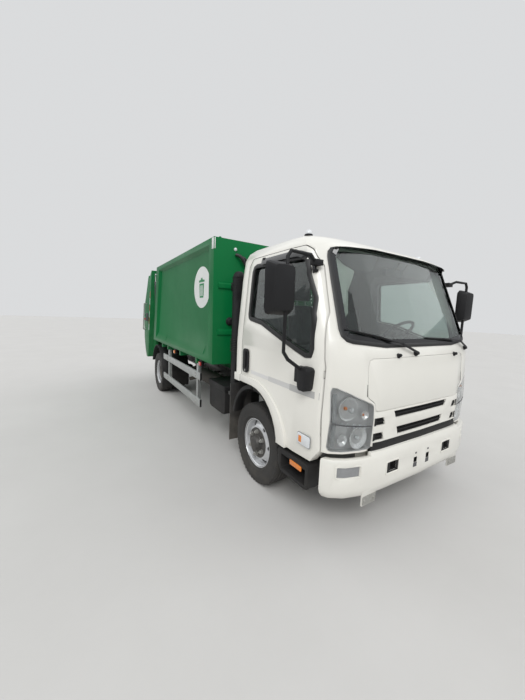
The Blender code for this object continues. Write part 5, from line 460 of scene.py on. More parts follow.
class Maker:
    """Gathers the faces of one piece in the model's frame."""

    def __init__(self) -> None:
        """Starts an empty mesh."""
        self.mesh = bmesh.new()

    def rings(self, rings: Sequence[Sequence[Vector]], ends: bool = True, around: bool = False) -> None:
        """Skins a row of rings of equal size.

        Args:
            rings: The rings, each a closed loop of places.
            ends: Whether the first and last ring are closed by a face.
            around: Whether the last ring joins the first.
        """
        made = [[self.mesh.verts.new(point) for point in ring] for ring in rings]
        pairs = list(zip(made, made[1:])) + ([(made[-1], made[0])] if around else [])
        for low, high in pairs:
            for step in range(len(low)):
                corners = (low[step - 1], low[step], high[step], high[step - 1])
                if len(set(corners)) == 4:
                    self.mesh.faces.new(corners)
        if ends and not around:
            self.mesh.faces.new(made[0])
            self.mesh.faces.new(made[-1])

    def slab(self, outline: Sequence[Vector], depth: Vector) -> None:
        """Adds a plate: an outline and its copy moved by depth."""
        self.rings([list(outline), [point + depth for point in outline]])

    def box(self, low: Sequence[float], high: Sequence[float]) -> None:
        """Adds a box between two corners."""
        outline = [Vector((low[0], low[1], low[2])), Vector((high[0], low[1], low[2])),
                   Vector((high[0], high[1], low[2])), Vector((low[0], high[1], low[2]))]
        self.slab(outline, Vector((0, 0, high[2] - low[2])))

    def turned(self, profile: Sequence[tuple[float, float]], centre: Vector, axis: Vector, sides: int,
               closed: bool = False) -> None:
        """Adds a turned shape.

        Args:
            profile: Pairs of distance along the axis and radius.
            centre: Where the distance along the axis is zero.
            axis: Direction of the axis.
            sides: Number of faces round it.
            closed: Whether the profile is a closed loop, as on a tyre.
        """
        axis = axis.normalized()
        first = axis.orthogonal().normalized()
        second = axis.cross(first)
        turns = [2 * math.pi * step / sides for step in range(sides)]
        outs = [first * math.cos(turn) + second * math.sin(turn) for turn in turns]
        rings = [[centre + axis * along + out * radius for out in outs] for along, radius in profile]
        self.rings(rings, ends=not closed, around=closed)

    def tube(self, path: Sequence[Vector], radius: float, sides: int = 12, around: bool = False) -> None:
        """Adds a round bar along a path.

        Args:
            path: The places that its middle follows.
            radius: Its radius.
            sides: Number of faces round it.
            around: Whether the path is a closed loop.
        """
        path = [Vector(point) for point in path]
        count = len(path)
        side = None
        rings = []
        for step, point in enumerate(path):
            before = path[step - 1] if step or around else point
            after = path[(step + 1) % count] if step < count - 1 or around else point
            way = (after - before).normalized()
            side = way.orthogonal() if side is None else side - way * side.dot(way)
            side = side.normalized()
            other = way.cross(side)
            turns = (2 * math.pi * k / sides for k in range(sides))
            rings.append([point + (side * math.cos(turn) + other * math.sin(turn)) * radius
                          for turn in turns])
        self.rings(rings, around=around)

    def strip(self, path: Sequence[Vector], outward: Sequence[Vector], width: float, lift: float,
              around: bool = False) -> None:
        """Adds a flat strip along a path, square to the given outward directions.

        Args:
            path: The places that its middle follows.
            outward: The way out of the surface at each place.
            width: Its width along the surface.
            lift: Its thickness outwards.
            around: Whether the path is a closed loop.
        """
        count = len(path)
        rings = []
        for step, (point, out) in enumerate(zip(path, outward)):
            before = path[step - 1] if step or around else point
            after = path[(step + 1) % count] if step < count - 1 or around else point
            across = (after - before).normalized().cross(out).normalized() * (width / 2)
            rings.append([point - across, point + across, point + across + out * lift,
                          point - across + out * lift])
        self.rings(rings, around=around)

    def piece(self, name: str, body: str, finish: Finish, bevel: float = 0.0,
              smooth: float = 35.0) -> bpy.types.Object:
        """Turns the gathered faces into a finished piece.

        Args:
            name: The piece's name.
            body: The CAD body that it rides on.
            finish: Its finish.
            bevel: Width of its rounded edges.
            smooth: Angle in degrees up to which edges shade smoothly.

        Returns:
            The piece.
        """
        bmesh.ops.remove_doubles(self.mesh, verts=self.mesh.verts, dist=MERGE)
        bmesh.ops.recalc_face_normals(self.mesh, faces=self.mesh.faces)
        data = bpy.data.meshes.new(name)
        self.mesh.to_mesh(data)
        self.mesh.free()
        thing = bpy.data.objects.new(name, data)
        bpy.context.scene.collection.objects.link(thing)
        if bevel:
            rounded(thing, bevel)
        return finished(thing, body, finish, smooth)


def baked(thing: bpy.types.Object) -> bpy.types.Object:
    """Turns an object's modifiers into plain mesh and removes them."""
    graph = bpy.context.evaluated_depsgraph_get()
    graph.update()
    data = bpy.data.meshes.new_from_object(thing.evaluated_get(graph))
    thing.modifiers.clear()
    old, thing.data = thing.data, data
    bpy.data.meshes.remove(old)
    return thing


def rounded(thing: bpy.types.Object, width: float, segments: int = 2) -> bpy.types.Object:
    """Rounds an object's sharp edges by a small bevel."""
    bevel = thing.modifiers.new("round", "BEVEL")
    bevel.width = width
    bevel.segments = segments
    bevel.limit_method = "ANGLE"
    bevel.angle_limit = math.radians(32)
    bevel.use_clamp_overlap = True
    return baked(thing)


def finished(thing: bpy.types.Object, body: str, finish: Finish,
             smooth: float = 35.0) -> bpy.types.Object:
    """Gives a piece its shading, finish and body.

    Args:
        thing: The piece, with its place in its mesh.
        body: The CAD body that it rides on.
        finish: Its finish.
        smooth: Angle in degrees up to which edges shade smoothly.

    Returns:
        The piece.
    """
    thing.data.materials.clear()
    thing.data.materials.append(PAINT.material(finish))
    for polygon in thing.data.polygons:
        polygon.material_index = 0
    thing.data.shade_smooth()
    thing.data.set_sharp_from_angle(angle=math.radians(smooth))
    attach(thing, body)
    LOG.info("%s rides on %s, %d faces", thing.name, body, len(thing.data.polygons))
    return thing


# Repeated shapes


class Repeat:
    """Geometry trees that repeat a shape round a ring or at marked places."""

    def __init__(self) -> None:
        """Builds the two trees."""
        self.ring, self.ring_inputs = self.ring_tree()
        self.spots, self.spots_inputs = self.spots_tree()

    def start(self, name: str, sockets: dict[str, str]) -> tuple[bpy.types.NodeTree, dict[str, str],
            Graph, bpy.types.Node]:
        """Starts a geometry tree with named inputs.

        Args:
            name: The tree's name.
            sockets: Its inputs' names and types.

        Returns:
            The tree, its inputs' identifiers, its graph and its input node.
        """
        tree = bpy.data.node_groups.new(name, "GeometryNodeTree")
        tree.interface.new_socket("Geometry", in_out="INPUT", socket_type="NodeSocketGeometry")
        keys = {title: tree.interface.new_socket(title, in_out="INPUT",
                                                 socket_type=kind).identifier for title,
                                                 kind in sockets.items()}
        tree.interface.new_socket("Geometry", in_out="OUTPUT", socket_type="NodeSocketGeometry")
        graph = Graph(tree)
        return tree, keys, graph, graph.add("NodeGroupInput")

    def end(self, graph: Graph, given: bpy.types.Node, result: bpy.types.NodeSocket) -> None:
        """Ends a tree with its finish set on the result."""
        dressed = graph.add("GeometryNodeSetMaterial", {"Geometry": result,
                                                        "Material": given.outputs["Finish"]})
        graph.add("NodeGroupOutput", {"Geometry": dressed.outputs[0]})

    def ring_tree(self) -> tuple[bpy.types.NodeTree, dict[str, str]]:
        """Builds the tree that repeats a shape round an axis along X."""
        sockets = {"Shape": "NodeSocketObject", "Count": "NodeSocketInt", "Radius": "NodeSocketFloat",
                   "Centre": "NodeSocketVector", "Start": "NodeSocketFloat",
                   "Finish": "NodeSocketMaterial"}
        tree, keys, graph, given = self.start("ring of shapes", sockets)
        circle = graph.add("GeometryNodeMeshCircle", {"Vertices": given.outputs["Count"],
                                                      "Radius": given.outputs["Radius"]})
        place = graph.add("GeometryNodeInputPosition")
        turn = graph.add("FunctionNodeAlignRotationToVector", {"Vector": place.outputs[0]}, axis="X",
                         pivot_axis="Z")
        shape = graph.add("GeometryNodeObjectInfo", {"Object": given.outputs["Shape"]})
        copies = graph.add("GeometryNodeInstanceOnPoints", {"Points": circle.outputs[0],
                                                            "Instance": shape.outputs["Geometry"],
                                                            "Rotation": turn.outputs[0]})
        real = graph.add("GeometryNodeRealizeInstances", {"Geometry": copies.outputs[0]})
        spin = graph.add("ShaderNodeCombineXYZ", {"Z": given.outputs["Start"]})
        spun = graph.add("GeometryNodeTransform", {"Geometry": real.outputs[0],
                                                   "Rotation": spin.outputs[0]})
        moved = graph.add("GeometryNodeTransform", {"Geometry": spun.outputs[0],
                                                    "Translation": given.outputs["Centre"],
                                                    "Rotation": (0.0, math.pi / 2, 0.0)})
        self.end(graph, given, moved.outputs[0])
        return tree, keys

    def spots_tree(self) -> tuple[bpy.types.NodeTree, dict[str, str]]:
        """Builds the tree that sets a shape on marked places, along their outward directions."""
        tree, keys, graph, given = self.start("shapes on spots",
                                              {"Shape": "NodeSocketObject",
                                               "Finish": "NodeSocketMaterial"})
        facing = graph.add("GeometryNodeInputNamedAttribute", {"Name": "facing"},
                           data_type="FLOAT_VECTOR")
        turn = graph.add("FunctionNodeAlignRotationToVector", {"Vector": facing.outputs["Attribute"]},
                         axis="Z")
        shape = graph.add("GeometryNodeObjectInfo", {"Object": given.outputs["Shape"]})
        copies = graph.add("GeometryNodeInstanceOnPoints", {"Points": given.outputs["Geometry"],
                                                            "Instance": shape.outputs["Geometry"],
                                                            "Rotation": turn.outputs[0]})
        real = graph.add("GeometryNodeRealizeInstances", {"Geometry": copies.outputs[0]})
        self.end(graph, given, real.outputs[0])
        return tree, keys

    def shape(self, maker: Maker) -> bpy.types.Object:
        """Makes the loose shape that a tree repeats."""
        bmesh.ops.recalc_face_normals(maker.mesh, faces=maker.mesh.faces)
        data = bpy.data.meshes.new("repeated shape")
        maker.mesh.to_mesh(data)
        maker.mesh.free()
        thing = bpy.data.objects.new("repeated shape", data)
        bpy.context.scene.collection.objects.link(thing)
        return thing

    def grow(self, name: str, data: bpy.types.Mesh, tree: bpy.types.NodeTree, values: dict[str, object],
             shape: bpy.types.Object) -> bpy.types.Object:
        """Runs a tree on a mesh and keeps its result as plain mesh."""
        thing = bpy.data.objects.new(name, data)
        bpy.context.scene.collection.objects.link(thing)
        modifier = thing.modifiers.new("repeat", "NODES")
        modifier.node_group = tree
        for key, value in values.items():
            modifier[key] = value
        baked(thing)
        bpy.data.objects.remove(shape)
        return thing

    def round_ring(self, name: str, body: str, finish: Finish, maker: Maker, count: int, radius: float,
                   centre: Vector, start: float = 0.0) -> bpy.types.Object:
        """Repeats a shape round an axis along X.

        Args:
            name: The piece's name.
            body: The CAD body that it rides on.
            finish: Its finish.
            maker: The shape, with X outwards from the axis and Z along the axis.
            count: How many there are.
            radius: Distance from the axis.
            centre: Middle of the ring.
            start: Turn of the first one in radians.

        Returns:
            The piece.
        """
        shape = self.shape(maker)
        keys = self.ring_inputs
        values = {keys["Shape"]: shape, keys["Count"]: count, keys["Radius"]: radius,
                  keys["Centre"]: tuple(centre), keys["Start"]: start,
                  keys["Finish"]: PAINT.material(finish)}
        thing = self.grow(name, bpy.data.meshes.new(name), self.ring, values, shape)
        return finished(thing, body, finish)

    def on_spots(self, name: str, body: str, finish: Finish, maker: Maker,
                 spots: Iterable[tuple[Vector, Vector]]) -> bpy.types.Object:
        """Sets a shape on places.

        Args:
            name: The piece's name.
            body: The CAD body that it rides on.
            finish: Its finish.
            maker: The shape, standing on Z = 0 with Z outwards.
            spots: Pairs of place and outward direction.

        Returns:
            The piece.
        """
        spots = list(spots)
        shape = self.shape(maker)
        data = bpy.data.meshes.new(name)
        data.from_pydata([tuple(place) for place, _ in spots], [], [])
        facing = data.attributes.new("facing", "FLOAT_VECTOR", "POINT")
        facing.data.foreach_set("vector", [value for _, out in spots for value in out])
        keys = self.spots_inputs
        values = {keys["Shape"]: shape, keys["Finish"]: PAINT.material(finish)}
        return finished(self.grow(name, data, self.spots, values, shape), body, finish)


REPEAT = Repeat()


def hexagon_bolt(width: float, height: float) -> Maker:
    """Makes a bolt head on its washer, with Z outwards."""
    maker = Maker()
    up = UPWARDS
    maker.turned([(0, width * 0.75), (height * 0.2, width * 0.75)], Vector(), up, 12)
    maker.turned([(height * 0.2, width * 0.56), (height * 0.85, width * 0.56), (height, width * 0.42)],
                 Vector(), up, 6)
    return maker


# Surfaces of the CAD


@dataclass(frozen=True)
class Spot:
    """A place on a CAD surface and the way out of it."""

    place: Vector
    out: Vector


class Skin:
    """Finds places on the surfaces of CAD nodes, so that details sit on them."""

    def __init__(self, *nodes: str) -> None:
        """Joins the nodes' triangles into one search tree."""
        points: list[Vector] = []
        faces: list[list[int]] = []
        for node in nodes:
            data = frame["nodes"][node].data
            first = len(points)
            points += [vertex.co.copy() for vertex in data.vertices]
            faces += [[first + index for index in polygon.vertices] for polygon in data.polygons]
        self.tree = BVHTree.FromPolygons(points, faces)

    def hit(self, start: Vector, way: Vector) -> Spot:
        """Gives the first place that a straight line meets.

        Args:
            start: Where the line starts.
            way: Its direction.

        Returns:
            The place, facing back along the line.
        """
        place, out, _, _ = self.tree.ray_cast(start, way)
        if place is None:
            raise ValueError(f"no surface from {tuple(start)} along {tuple(way)}")
        return Spot(place, out if out.dot(way) < 0 else -out)

    def side(self, side: int, along: float, up: float) -> Spot:
        """Gives the place on the right (-1) or left (1) side at a distance behind the front axle."""
        return self.hit(at(side * 3.0, along, up), Vector((-side, 0, 0)))

    def front(self, across: float, up: float) -> Spot:
        """Gives the place on the front."""
        return self.hit(at(across, -3.0, up), BACKWARDS)

    def rear(self, across: float, up: float) -> Spot:
        """Gives the place on the rear."""
        return self.hit(at(across, 8.0, up), FORWARDS)

    def top(self, across: float, along: float) -> Spot:
        """Gives the place on the top."""
        return self.hit(at(across, along, 4.0), DOWNWARDS)


def rim_of(node: str, way: Vector, reach: float = 0.35) -> tuple[list[Vector], list[Vector]]:
    """Finds the edge loop round a node's outer face.

    Args:
        node: The CAD node.
        way: The way that its outer face looks.
        reach: Least share of that way in a face's normal.

    Returns:
        The loop's places and the way out at each.
    """
    data = bmesh.new()
    data.from_mesh(frame["nodes"][node].data)
    bmesh.ops.remove_doubles(data, verts=data.verts, dist=MERGE)
    data.normal_update()
    outer = {face for face in data.faces if face.normal.dot(way) > reach}
    edges = {edge for edge in data.edges if sum(face in outer for face in edge.link_faces) == 1}
    loops: list[list[bmesh.types.BMVert]] = []
    while edges:
        edge = edges.pop()
        loop = [edge.verts[0], edge.verts[1]]
        while True:
            step = next((item for item in loop[-1].link_edges if item in edges), None)
            if step is None:
                break
            edges.remove(step)
            loop.append(step.other_vert(loop[-1]))
        loops.append(loop[:-1] if loop[-1] is loop[0] else loop)
    best = max(loops, key=lambda loop: sum((one.co - two.co).length for one, two in zip(loop, loop[1:])))
    places, outs = [], []
    for vertex in best:
        near = [face.normal for face in vertex.link_faces if face in outer]
        places.append(vertex.co.copy())
        outs.append(sum(near, Vector()).normalized())
    data.free()
    return places, outs


def spread(places: list[Vector], outs: list[Vector], step: float) -> tuple[list[Vector], list[Vector]]:
    """Fills a closed loop up with places no further apart than a step."""
    new_places, new_outs = [], []
    for index, place in enumerate(places):
        following = places[(index + 1) % len(places)]
        out, next_out = outs[index], outs[(index + 1) % len(outs)]
        parts = max(1, math.ceil((following - place).length / step))
        for part in range(parts):
            share = part / parts
            new_places.append(place.lerp(following, share))
            new_outs.append(out.lerp(next_out, share).normalized())
    return new_places, new_outs


def inwards(places: list[Vector], outs: list[Vector], distance: float) -> list[Vector]:
    """Moves a closed loop towards its inside along the surface."""
    middle = sum(places, Vector()) / len(places)
    moved = []
    for index, (place, out) in enumerate(zip(places, outs)):
        way = (places[(index + 1) % len(places)] - places[index - 1]).normalized()
        inner = out.cross(way)
        if inner.dot(middle - place) < 0:
            inner = -inner
        moved.append(place + inner.normalized() * distance)
    return moved


def smoothed(points: Sequence[Sequence[float]], steps: int = 6) -> list[Vector]:
    """Gives a smooth path through a few places."""
    given = [Vector(point) for point in points]
    path = []
    for index in range(len(given) - 1):
        first = given[max(index - 1, 0)]
        second, third = given[index], given[index + 1]
        fourth = given[min(index + 2, len(given) - 1)]
        for step in range(steps):
            share = step / steps
            path.append(
                0.5
                * (
                    second * 2
                    + (third - first) * share
                    + (first * 2 - second * 5 + third * 4 - fourth) * share**2
                    + (second * 3 - first - third * 3 + fourth) * share**3
                )
            )
    return path + [given[-1]]


# Sub-assemblies


@dataclass
class Redress:
    """Rounded and refinished copies of the CAD's own solids.

    Attributes:
        edge: Width of the rounded edges of heavy parts.
        fine: Width of the rounded edges of thin parts.
        finishes: Each node's finish.
    """

    edge: float = 0.004
    fine: float = 0.0015
    finishes: dict[str, Finish] = field(
        default_factory=lambda: {
            "chassis_frame": FRAME_BLACK,
            "front_axle_beam": CASTING,
            "rear_axle": CASTING,
            "propeller_shaft": CASTING,
            "engine_block": CASTING,
            "fuel_tank": FRAME_BLACK,
            "battery_box": MOULDED_BLACK,
            "silencer": CASTING,
            "front_bumper": CAB_WHITE,
            "air_intake": MOULDED_BLACK,
            "body_shell": BODY_GREEN,
            "side_guard_right": RAIL_ALUMINIUM,
            "side_guard_left": RAIL_ALUMINIUM,
            "rear_mudguard_right": MOULDED_BLACK,
            "rear_mudguard_left": MOULDED_BLACK,
            "track_rod": CASTING,
            "knuckle_right": CASTING,
            "knuckle_left": CASTING,
            "cab_shell": CAB_WHITE,
            "front_panel": CAB_WHITE,
            "grille_panel": CAB_WHITE,
            "dashboard": MOULDED_GREY,
            "steering_wheel": MOULDED_BLACK,
            "entry_step_right": MOULDED_BLACK,
            "entry_step_left": MOULDED_BLACK,
            "door_right": CAB_WHITE,
            "door_left": CAB_WHITE,
            "mirror_right": MOULDED_BLACK,
            "mirror_left": MOULDED_BLACK,
            "tailgate": HOPPER_GREEN,
            "packer_carriage": HOPPER_GREEN,
            "sweep_panel": WORN_STEEL,
            "bin_lifter": HOPPER_GREEN,
            "lift_barrel_right": FRAME_BLACK,
            "lift_barrel_left": FRAME_BLACK,
            "lift_rod_right": CHROME_ROD,
            "lift_rod_left": CHROME_ROD,
        }
    )
    plain: dict[str, Finish] = field(
        default_factory=lambda: {
            "windscreen": WINDOW_GLASS,
            "rear_window": WINDOW_GLASS,
            "door_glass_right": WINDOW_GLASS,
            "door_glass_left": WINDOW_GLASS,
        }
    )
    thin: tuple[str, ...] = ("side_guard_right", "side_guard_left", "rear_mudguard_right",
                             "rear_mudguard_left", "mirror_right", "mirror_left", "steering_wheel",
                             "cab_shell", "door_right", "door_left", "front_panel", "grille_panel",
                             "lift_rod_right", "lift_rod_left", "track_rod")

    def copy(self, node: str, finish: Finish, width: float) -> bpy.types.Object:
        """Makes a rounded copy of one node that stands for it."""
        data = bmesh.new()
        data.from_mesh(frame["nodes"][node].data)
        bmesh.ops.remove_doubles(data, verts=data.verts, dist=MERGE)
        bmesh.ops.dissolve_limit(data, angle_limit=math.radians(0.5), verts=data.verts, edges=data.edges)
        mesh = bpy.data.meshes.new(node)
        data.to_mesh(mesh)
        data.free()
        thing = bpy.data.objects.new(f"dressed_{node}", mesh)
        bpy.context.scene.collection.objects.link(thing)
        if width:
            rounded(thing, width)
        finished(thing, body_of[node], finish)
        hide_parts(node)
        return thing

    def dress(self) -> None:
        """Copies the painted solids and finishes the glass where it is."""
        for node, finish in self.finishes.items():
            self.copy(node, finish, self.fine if node in self.thin else self.edge)
        for node, finish in self.plain.items():
            solid = frame["nodes"][node]
            solid.data.materials.clear()
            solid.data.materials.append(PAINT.material(finish))


body_of: dict[str, str] = {node: body for body,
                           nodes in frame["record"]["behaviour"]["bodies"].items() for node in nodes}


@dataclass
class Wheels:
    """Tyres with tread, disc wheels, hubs and nuts.

    Attributes:
        outer: Outer radius of the tyre.
        half: Half the tyre's width; not used.
        bead: Radius of the tyre's bead.
        groove: Depth of the tread's grooves.
        groove_width: Half the width of a groove at the tread.
        groove_places: The grooves' distances from the tyre's middle.
        lugs: Number of shoulder lugs round the tyre.
        sides: Faces round a turned shape.
        rim: Radius of the rim's edge.
        holes: Number of hand holes.
        hole_circle: Radius of the circle of hand holes.
        hole: Radius of a hand hole.
        nut_circle: Radius of the circle of wheel nuts.
        nuts: Number of wheel nuts.
    """

    outer: float = 0.392
    half: float = 0.109
    bead: float = 0.226
    groove: float = 0.011
    groove_width: float = 0.0045
    groove_places: tuple[float, ...] = (-0.058, -0.020, 0.020, 0.058)
    lugs: int = 54
    sides: int = 72
    rim: float = 0.238
    holes: int = 6
    hole_circle: float = 0.187
    hole: float = 0.026
    nut_circle: float = 0.111
    nuts: int = 6

    def tyre_profile(self) -> list[tuple[float, float]]:
        """Gives the tyre's closed profile as pairs of distance from its middle and radius."""
        tread = [(-0.092, self.outer - 0.004)]
        for middle in self.groove_places:
            w = self.groove_width
            top, low = self.outer - 0.0006, self.outer - self.groove
            tread += [(middle - w, top), (middle - w * 0.6, low), (middle + w * 0.6, low),
                      (middle + w, top)]
        tread.append((0.092, self.outer - 0.004))
        wall = [(0.101, 0.378), (0.1045, 0.366), (0.106, 0.352), (0.1085, 0.345), (0.109, 0.325),
                (0.1095, 0.312), (0.1085, 0.309), (0.107, 0.290), (0.101, 0.266), (0.1015, 0.262),
                (0.097, 0.258), (0.088, 0.244), (0.086, 0.236), (0.082, self.bead)]
        inner = [(0.070, 0.232), (0.094, 0.300), (0.090, 0.355), (0.060, 0.372)]
        left = [(-along, radius) for along, radius in reversed(wall)]
        hollow = [*inner, *[(-along, radius) for along, radius in reversed(inner)]]
        return [*tread, *wall, *hollow, *left]

    def tyre(self, node: str, centre: Vector) -> None:
        """Builds one tyre in place of its CAD solid."""
        maker = Maker()
        maker.turned(self.tyre_profile(), centre, LEFTWARDS, self.sides * 2, closed=True)
        thing = maker.piece(f"dressed_{node}", body_of[node], TREAD_RUBBER, smooth=28)
        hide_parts(node)
        for side in SIDES:
            lug = Maker()
            outline = [Vector((0.0, -0.0085, 0)), Vector((0.0145, -0.0070, 0)),
                       Vector((0.0145, 0.0070, 0)), Vector((0.0, 0.0085, 0))]
            lug.slab(outline, Vector((0, 0, 0.013)))
            start = centre + Vector((side * 0.0965 - 0.0065, 0, 0))
            REPEAT.round_ring(f"{node}_lugs_{SIDE_NAMES[side]}", body_of[node], TREAD_RUBBER, lug,
                              self.lugs, self.outer - 0.0215, start)

    def disc(self, name: str, body: str, centre: Vector, side: int, profile: list[tuple[float, float]],
             holes: int) -> bpy.types.Object:
        """Turns a wheel from a closed profile and cuts its hand holes.

        Args:
            name: The piece's name.
            body: The CAD body that it rides on.
            centre: Middle of the wheel.
            side: -1 on the right and 1 on the left.
            profile: Closed profile, outwards positive.
            holes: Number of hand holes.

        Returns:
            The piece, not yet finished.
        """
        maker = Maker()
        maker.turned([(side * along, radius) for along, radius in profile], centre, LEFTWARDS,
                     self.sides, closed=True)
        cutter = Maker()
        for step in range(holes):
            turn = 2 * math.pi * step / holes
            spot = centre + Vector((0, math.cos(turn), math.sin(turn))) * self.hole_circle
            cutter.turned([(-0.16, self.hole), (0.16, self.hole)], spot, LEFTWARDS, 20)
        things = []
        for title, source in ((name, maker), ("hole cutter", cutter)):
            bmesh.ops.recalc_face_normals(source.mesh, faces=source.mesh.faces)
            data = bpy.data.meshes.new(title)
            source.mesh.to_mesh(data)
            source.mesh.free()
            thing = bpy.data.objects.new(title, data)
            bpy.context.scene.collection.objects.link(thing)
            things.append(thing)
        cut = things[0].modifiers.new("hand holes", "BOOLEAN")
        cut.object = things[1]
        cut.operation = "DIFFERENCE"
        cut.solver = "EXACT"
        baked(things[0])
        bpy.data.objects.remove(things[1])
        return finished(things[0], body, RIM_SILVER)

    def front(self, side: int) -> None:
        """Builds one front wheel: rim, dished disc, hub, nuts and cap."""
        name = SIDE_NAMES[side]
        node = f"front_wheel_{name}"
        low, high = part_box(node)
        tyre_low, tyre_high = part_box(f"front_tyre_{name}")
        centre = (tyre_low + tyre_high) / 2
        self.tyre(f"front_tyre_{name}", centre)
        profile = [
            (0.086, self.rim), (0.087, 0.231), (0.078, 0.226), (0.070, 0.216), (0.045, 0.211),
            (0.028, 0.206), (0.034, 0.198),
            (0.052, 0.182), (0.066, 0.160), (0.070, 0.148), (0.070, 0.070), (0.062, 0.070),
            (0.062, 0.146), (0.044, 0.178),
            (0.024, 0.196), (0.012, 0.206), (-0.060, 0.206), (-0.078, 0.224), (-0.087, 0.229),
            (-0.086, self.rim), (-0.070, 0.230),
            (-0.055, 0.214), (0.035, 0.217), (0.066, 0.222), (0.078, 0.234),
        ]
        wheel = self.disc(f"dressed_{node}", body_of[node], centre, side, profile, self.holes)
        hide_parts(node)
        self.hub(side, node, centre, 0.072, min(abs(low.x), abs(high.x)))

    def hub(self, side: int, node: str, centre: Vector, face: float, inner: float) -> None:
        """Builds the hub, nuts and drum of one wheel.

        Args:
            side: -1 on the right and 1 on the left.
            node: The wheel's node.
            centre: Middle of the wheel.
            face: Distance of the disc's outer face from the middle.
            inner: Distance of the wheel's innermost face from the middle plane.
        """
        axis = Vector((side, 0, 0))
        back = -(abs(centre.x) - inner)
        maker = Maker()
        maker.turned([(face, 0.146), (face + 0.004, 0.143), (face + 0.005, 0.084),
                      (face + 0.016, 0.078), (face + 0.017, 0.070)], centre, axis, 48)
        maker.turned([(face + 0.014, 0.070), (face + 0.040, 0.062), (face + 0.050, 0.052),
                      (face + 0.052, 0.030), (face + 0.052, 0.001)], centre, axis, 36)
        maker.piece(f"{node}_hub", body_of[node], HUB_IRON, smooth=40)
        drum = Maker()
        drum.turned([(back, 0.162), (back + 0.006, 0.170), (0.030, 0.170), (0.040, 0.158),
                     (face - 0.012, 0.120), (face - 0.012, 0.075)], centre, axis, 48)
        drum.piece(f"{node}_drum", body_of[node], CASTING, smooth=40)
        nut = Maker()
        up = Vector((0, 0, side))
        nut.turned([(0, 0.0215), (0.006, 0.0215)], Vector(), up, 20)
        nut.turned([(0.006, 0.0185), (0.024, 0.0185), (0.027, 0.0150)], Vector(), up, 6)
        nut.turned([(0.027, 0.0105), (0.036, 0.0105), (0.038, 0.008)], Vector(), up, 14)
        REPEAT.round_ring(f"{node}_nuts", body_of[node], ZINC, nut, self.nuts, self.nut_circle,
                          centre + axis * (face + 0.003))

    def rear(self, side: int) -> None:
        """Builds one twin wheel: two discs back to back, hub and nuts."""
        name = SIDE_NAMES[side]
        node = f"rear_wheel_{name}"
        low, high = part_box(node)
        pieces = []
        for place in ("outer", "inner"):
            tyre = f"rear_tyre_{place}_{name}"
            tyre_low, tyre_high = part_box(tyre)
            centre = (tyre_low + tyre_high) / 2
            self.tyre(tyre, centre)
            profile = [
                (0.086, self.rim), (0.087, 0.231), (0.078, 0.226), (0.066, 0.212), (-0.040, 0.206),
                (-0.060, 0.190), (-0.098, 0.168),
                (-0.118, 0.155), (-0.1195, 0.070), (-0.1235, 0.070), (-0.1235, 0.160), (-0.104, 0.172),
                (-0.070, 0.196),
                (-0.080, 0.224), (-0.087, 0.229), (-0.086, self.rim), (-0.060, 0.216), (0.060, 0.218),
                (0.076, 0.234),
            ]
            if place == "inner":
                profile = [(-along, radius) for along, radius in profile]
            pieces.append(self.disc(f"dressed_{node}_{place}", body_of[node], centre, side, profile,
                                    self.holes))
        for piece in pieces:
            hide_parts(node)
        tyre_low, tyre_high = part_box(f"rear_tyre_outer_{name}")
        outer_centre = (tyre_low + tyre_high) / 2
        self.hub(side, node, outer_centre, -0.117, min(abs(low.x), abs(high.x)))

    def dress(self) -> None:
        """Builds all wheels."""
        for side in SIDES:
            self.front(side)
            self.rear(side)


def outer_shell(node: str, way: Vector, reach: float, front: Vector, back: Vector) -> Maker:
    """Builds a plate from a node's outer faces, between two offsets.

    Args:
        node: The CAD node.
        way: The way that its outer face looks.
        reach: Least share of that way in a face's normal.
        front: Offset of the plate's outer face.
        back: Offset of its inner face.

    Returns:
        The plate's faces.
    """
    source = bmesh.new()
    source.from_mesh(frame["nodes"][node].data)
    bmesh.ops.remove_doubles(source, verts=source.verts, dist=MERGE)
    source.normal_update()
    outer = {face for face in source.faces if face.normal.dot(way.normalized()) > reach}
    maker = Maker()
    levels = []
    for offset in (front, back):
        level = {vertex: maker.mesh.verts.new(vertex.co + offset) for face in outer for vertex in face.verts}
        for face in outer:
            maker.mesh.faces.new([level[vertex] for vertex in face.verts])
        levels.append(level)
    for edge in {edge for face in outer for edge in face.edges}:
        if sum(face in outer for face in edge.link_faces) == 1:
            one, two = edge.verts
            maker.mesh.faces.new((levels[0][one], levels[0][two], levels[1][two], levels[1][one]))
    source.free()
    return maker


def rounded_outline(half_a: float, half_b: float, corner: float,
                    steps: int = 4) -> list[tuple[float, float]]:
    """Gives a rectangle with round corners about its middle."""
    points = []
    for quarter, (a, b) in enumerate(((1, 1), (-1, 1), (-1, -1), (1, -1))):
        for step in range(steps + 1):
            turn = math.pi / 2 * (quarter + step / steps)
            points.append((a * (half_a - corner) + corner * math.cos(turn),
                           b * (half_b - corner) + corner * math.sin(turn)))
    return points


def dish(radius: float, depth: float) -> list[tuple[float, float]]:
    """Gives the profile of a lamp's bowl that opens at distance zero."""
    inside = [(-depth, radius * 0.06), (-depth * 0.96, radius * 0.25), (-depth * 0.80, radius * 0.55),
              (-depth * 0.5, radius * 0.82), (0.0, radius)]
    outside = [(0.001, radius * 1.07), (-0.004, radius * 1.09), (-depth * 0.8, radius * 0.66),
               (-depth - 0.003, radius * 0.1)]
    return inside + outside


def dome(radius: float, height: float, steps: int = 6) -> list[tuple[float, float]]:
    """Gives the profile of a domed lens on its foot."""
    arc = [(height * math.sin(math.pi / 2 * step / steps),
            radius * math.cos(math.pi / 2 * step / steps)) for step in range(steps)]
    return [(-0.002, radius), *arc, (height, radius * 0.05)]


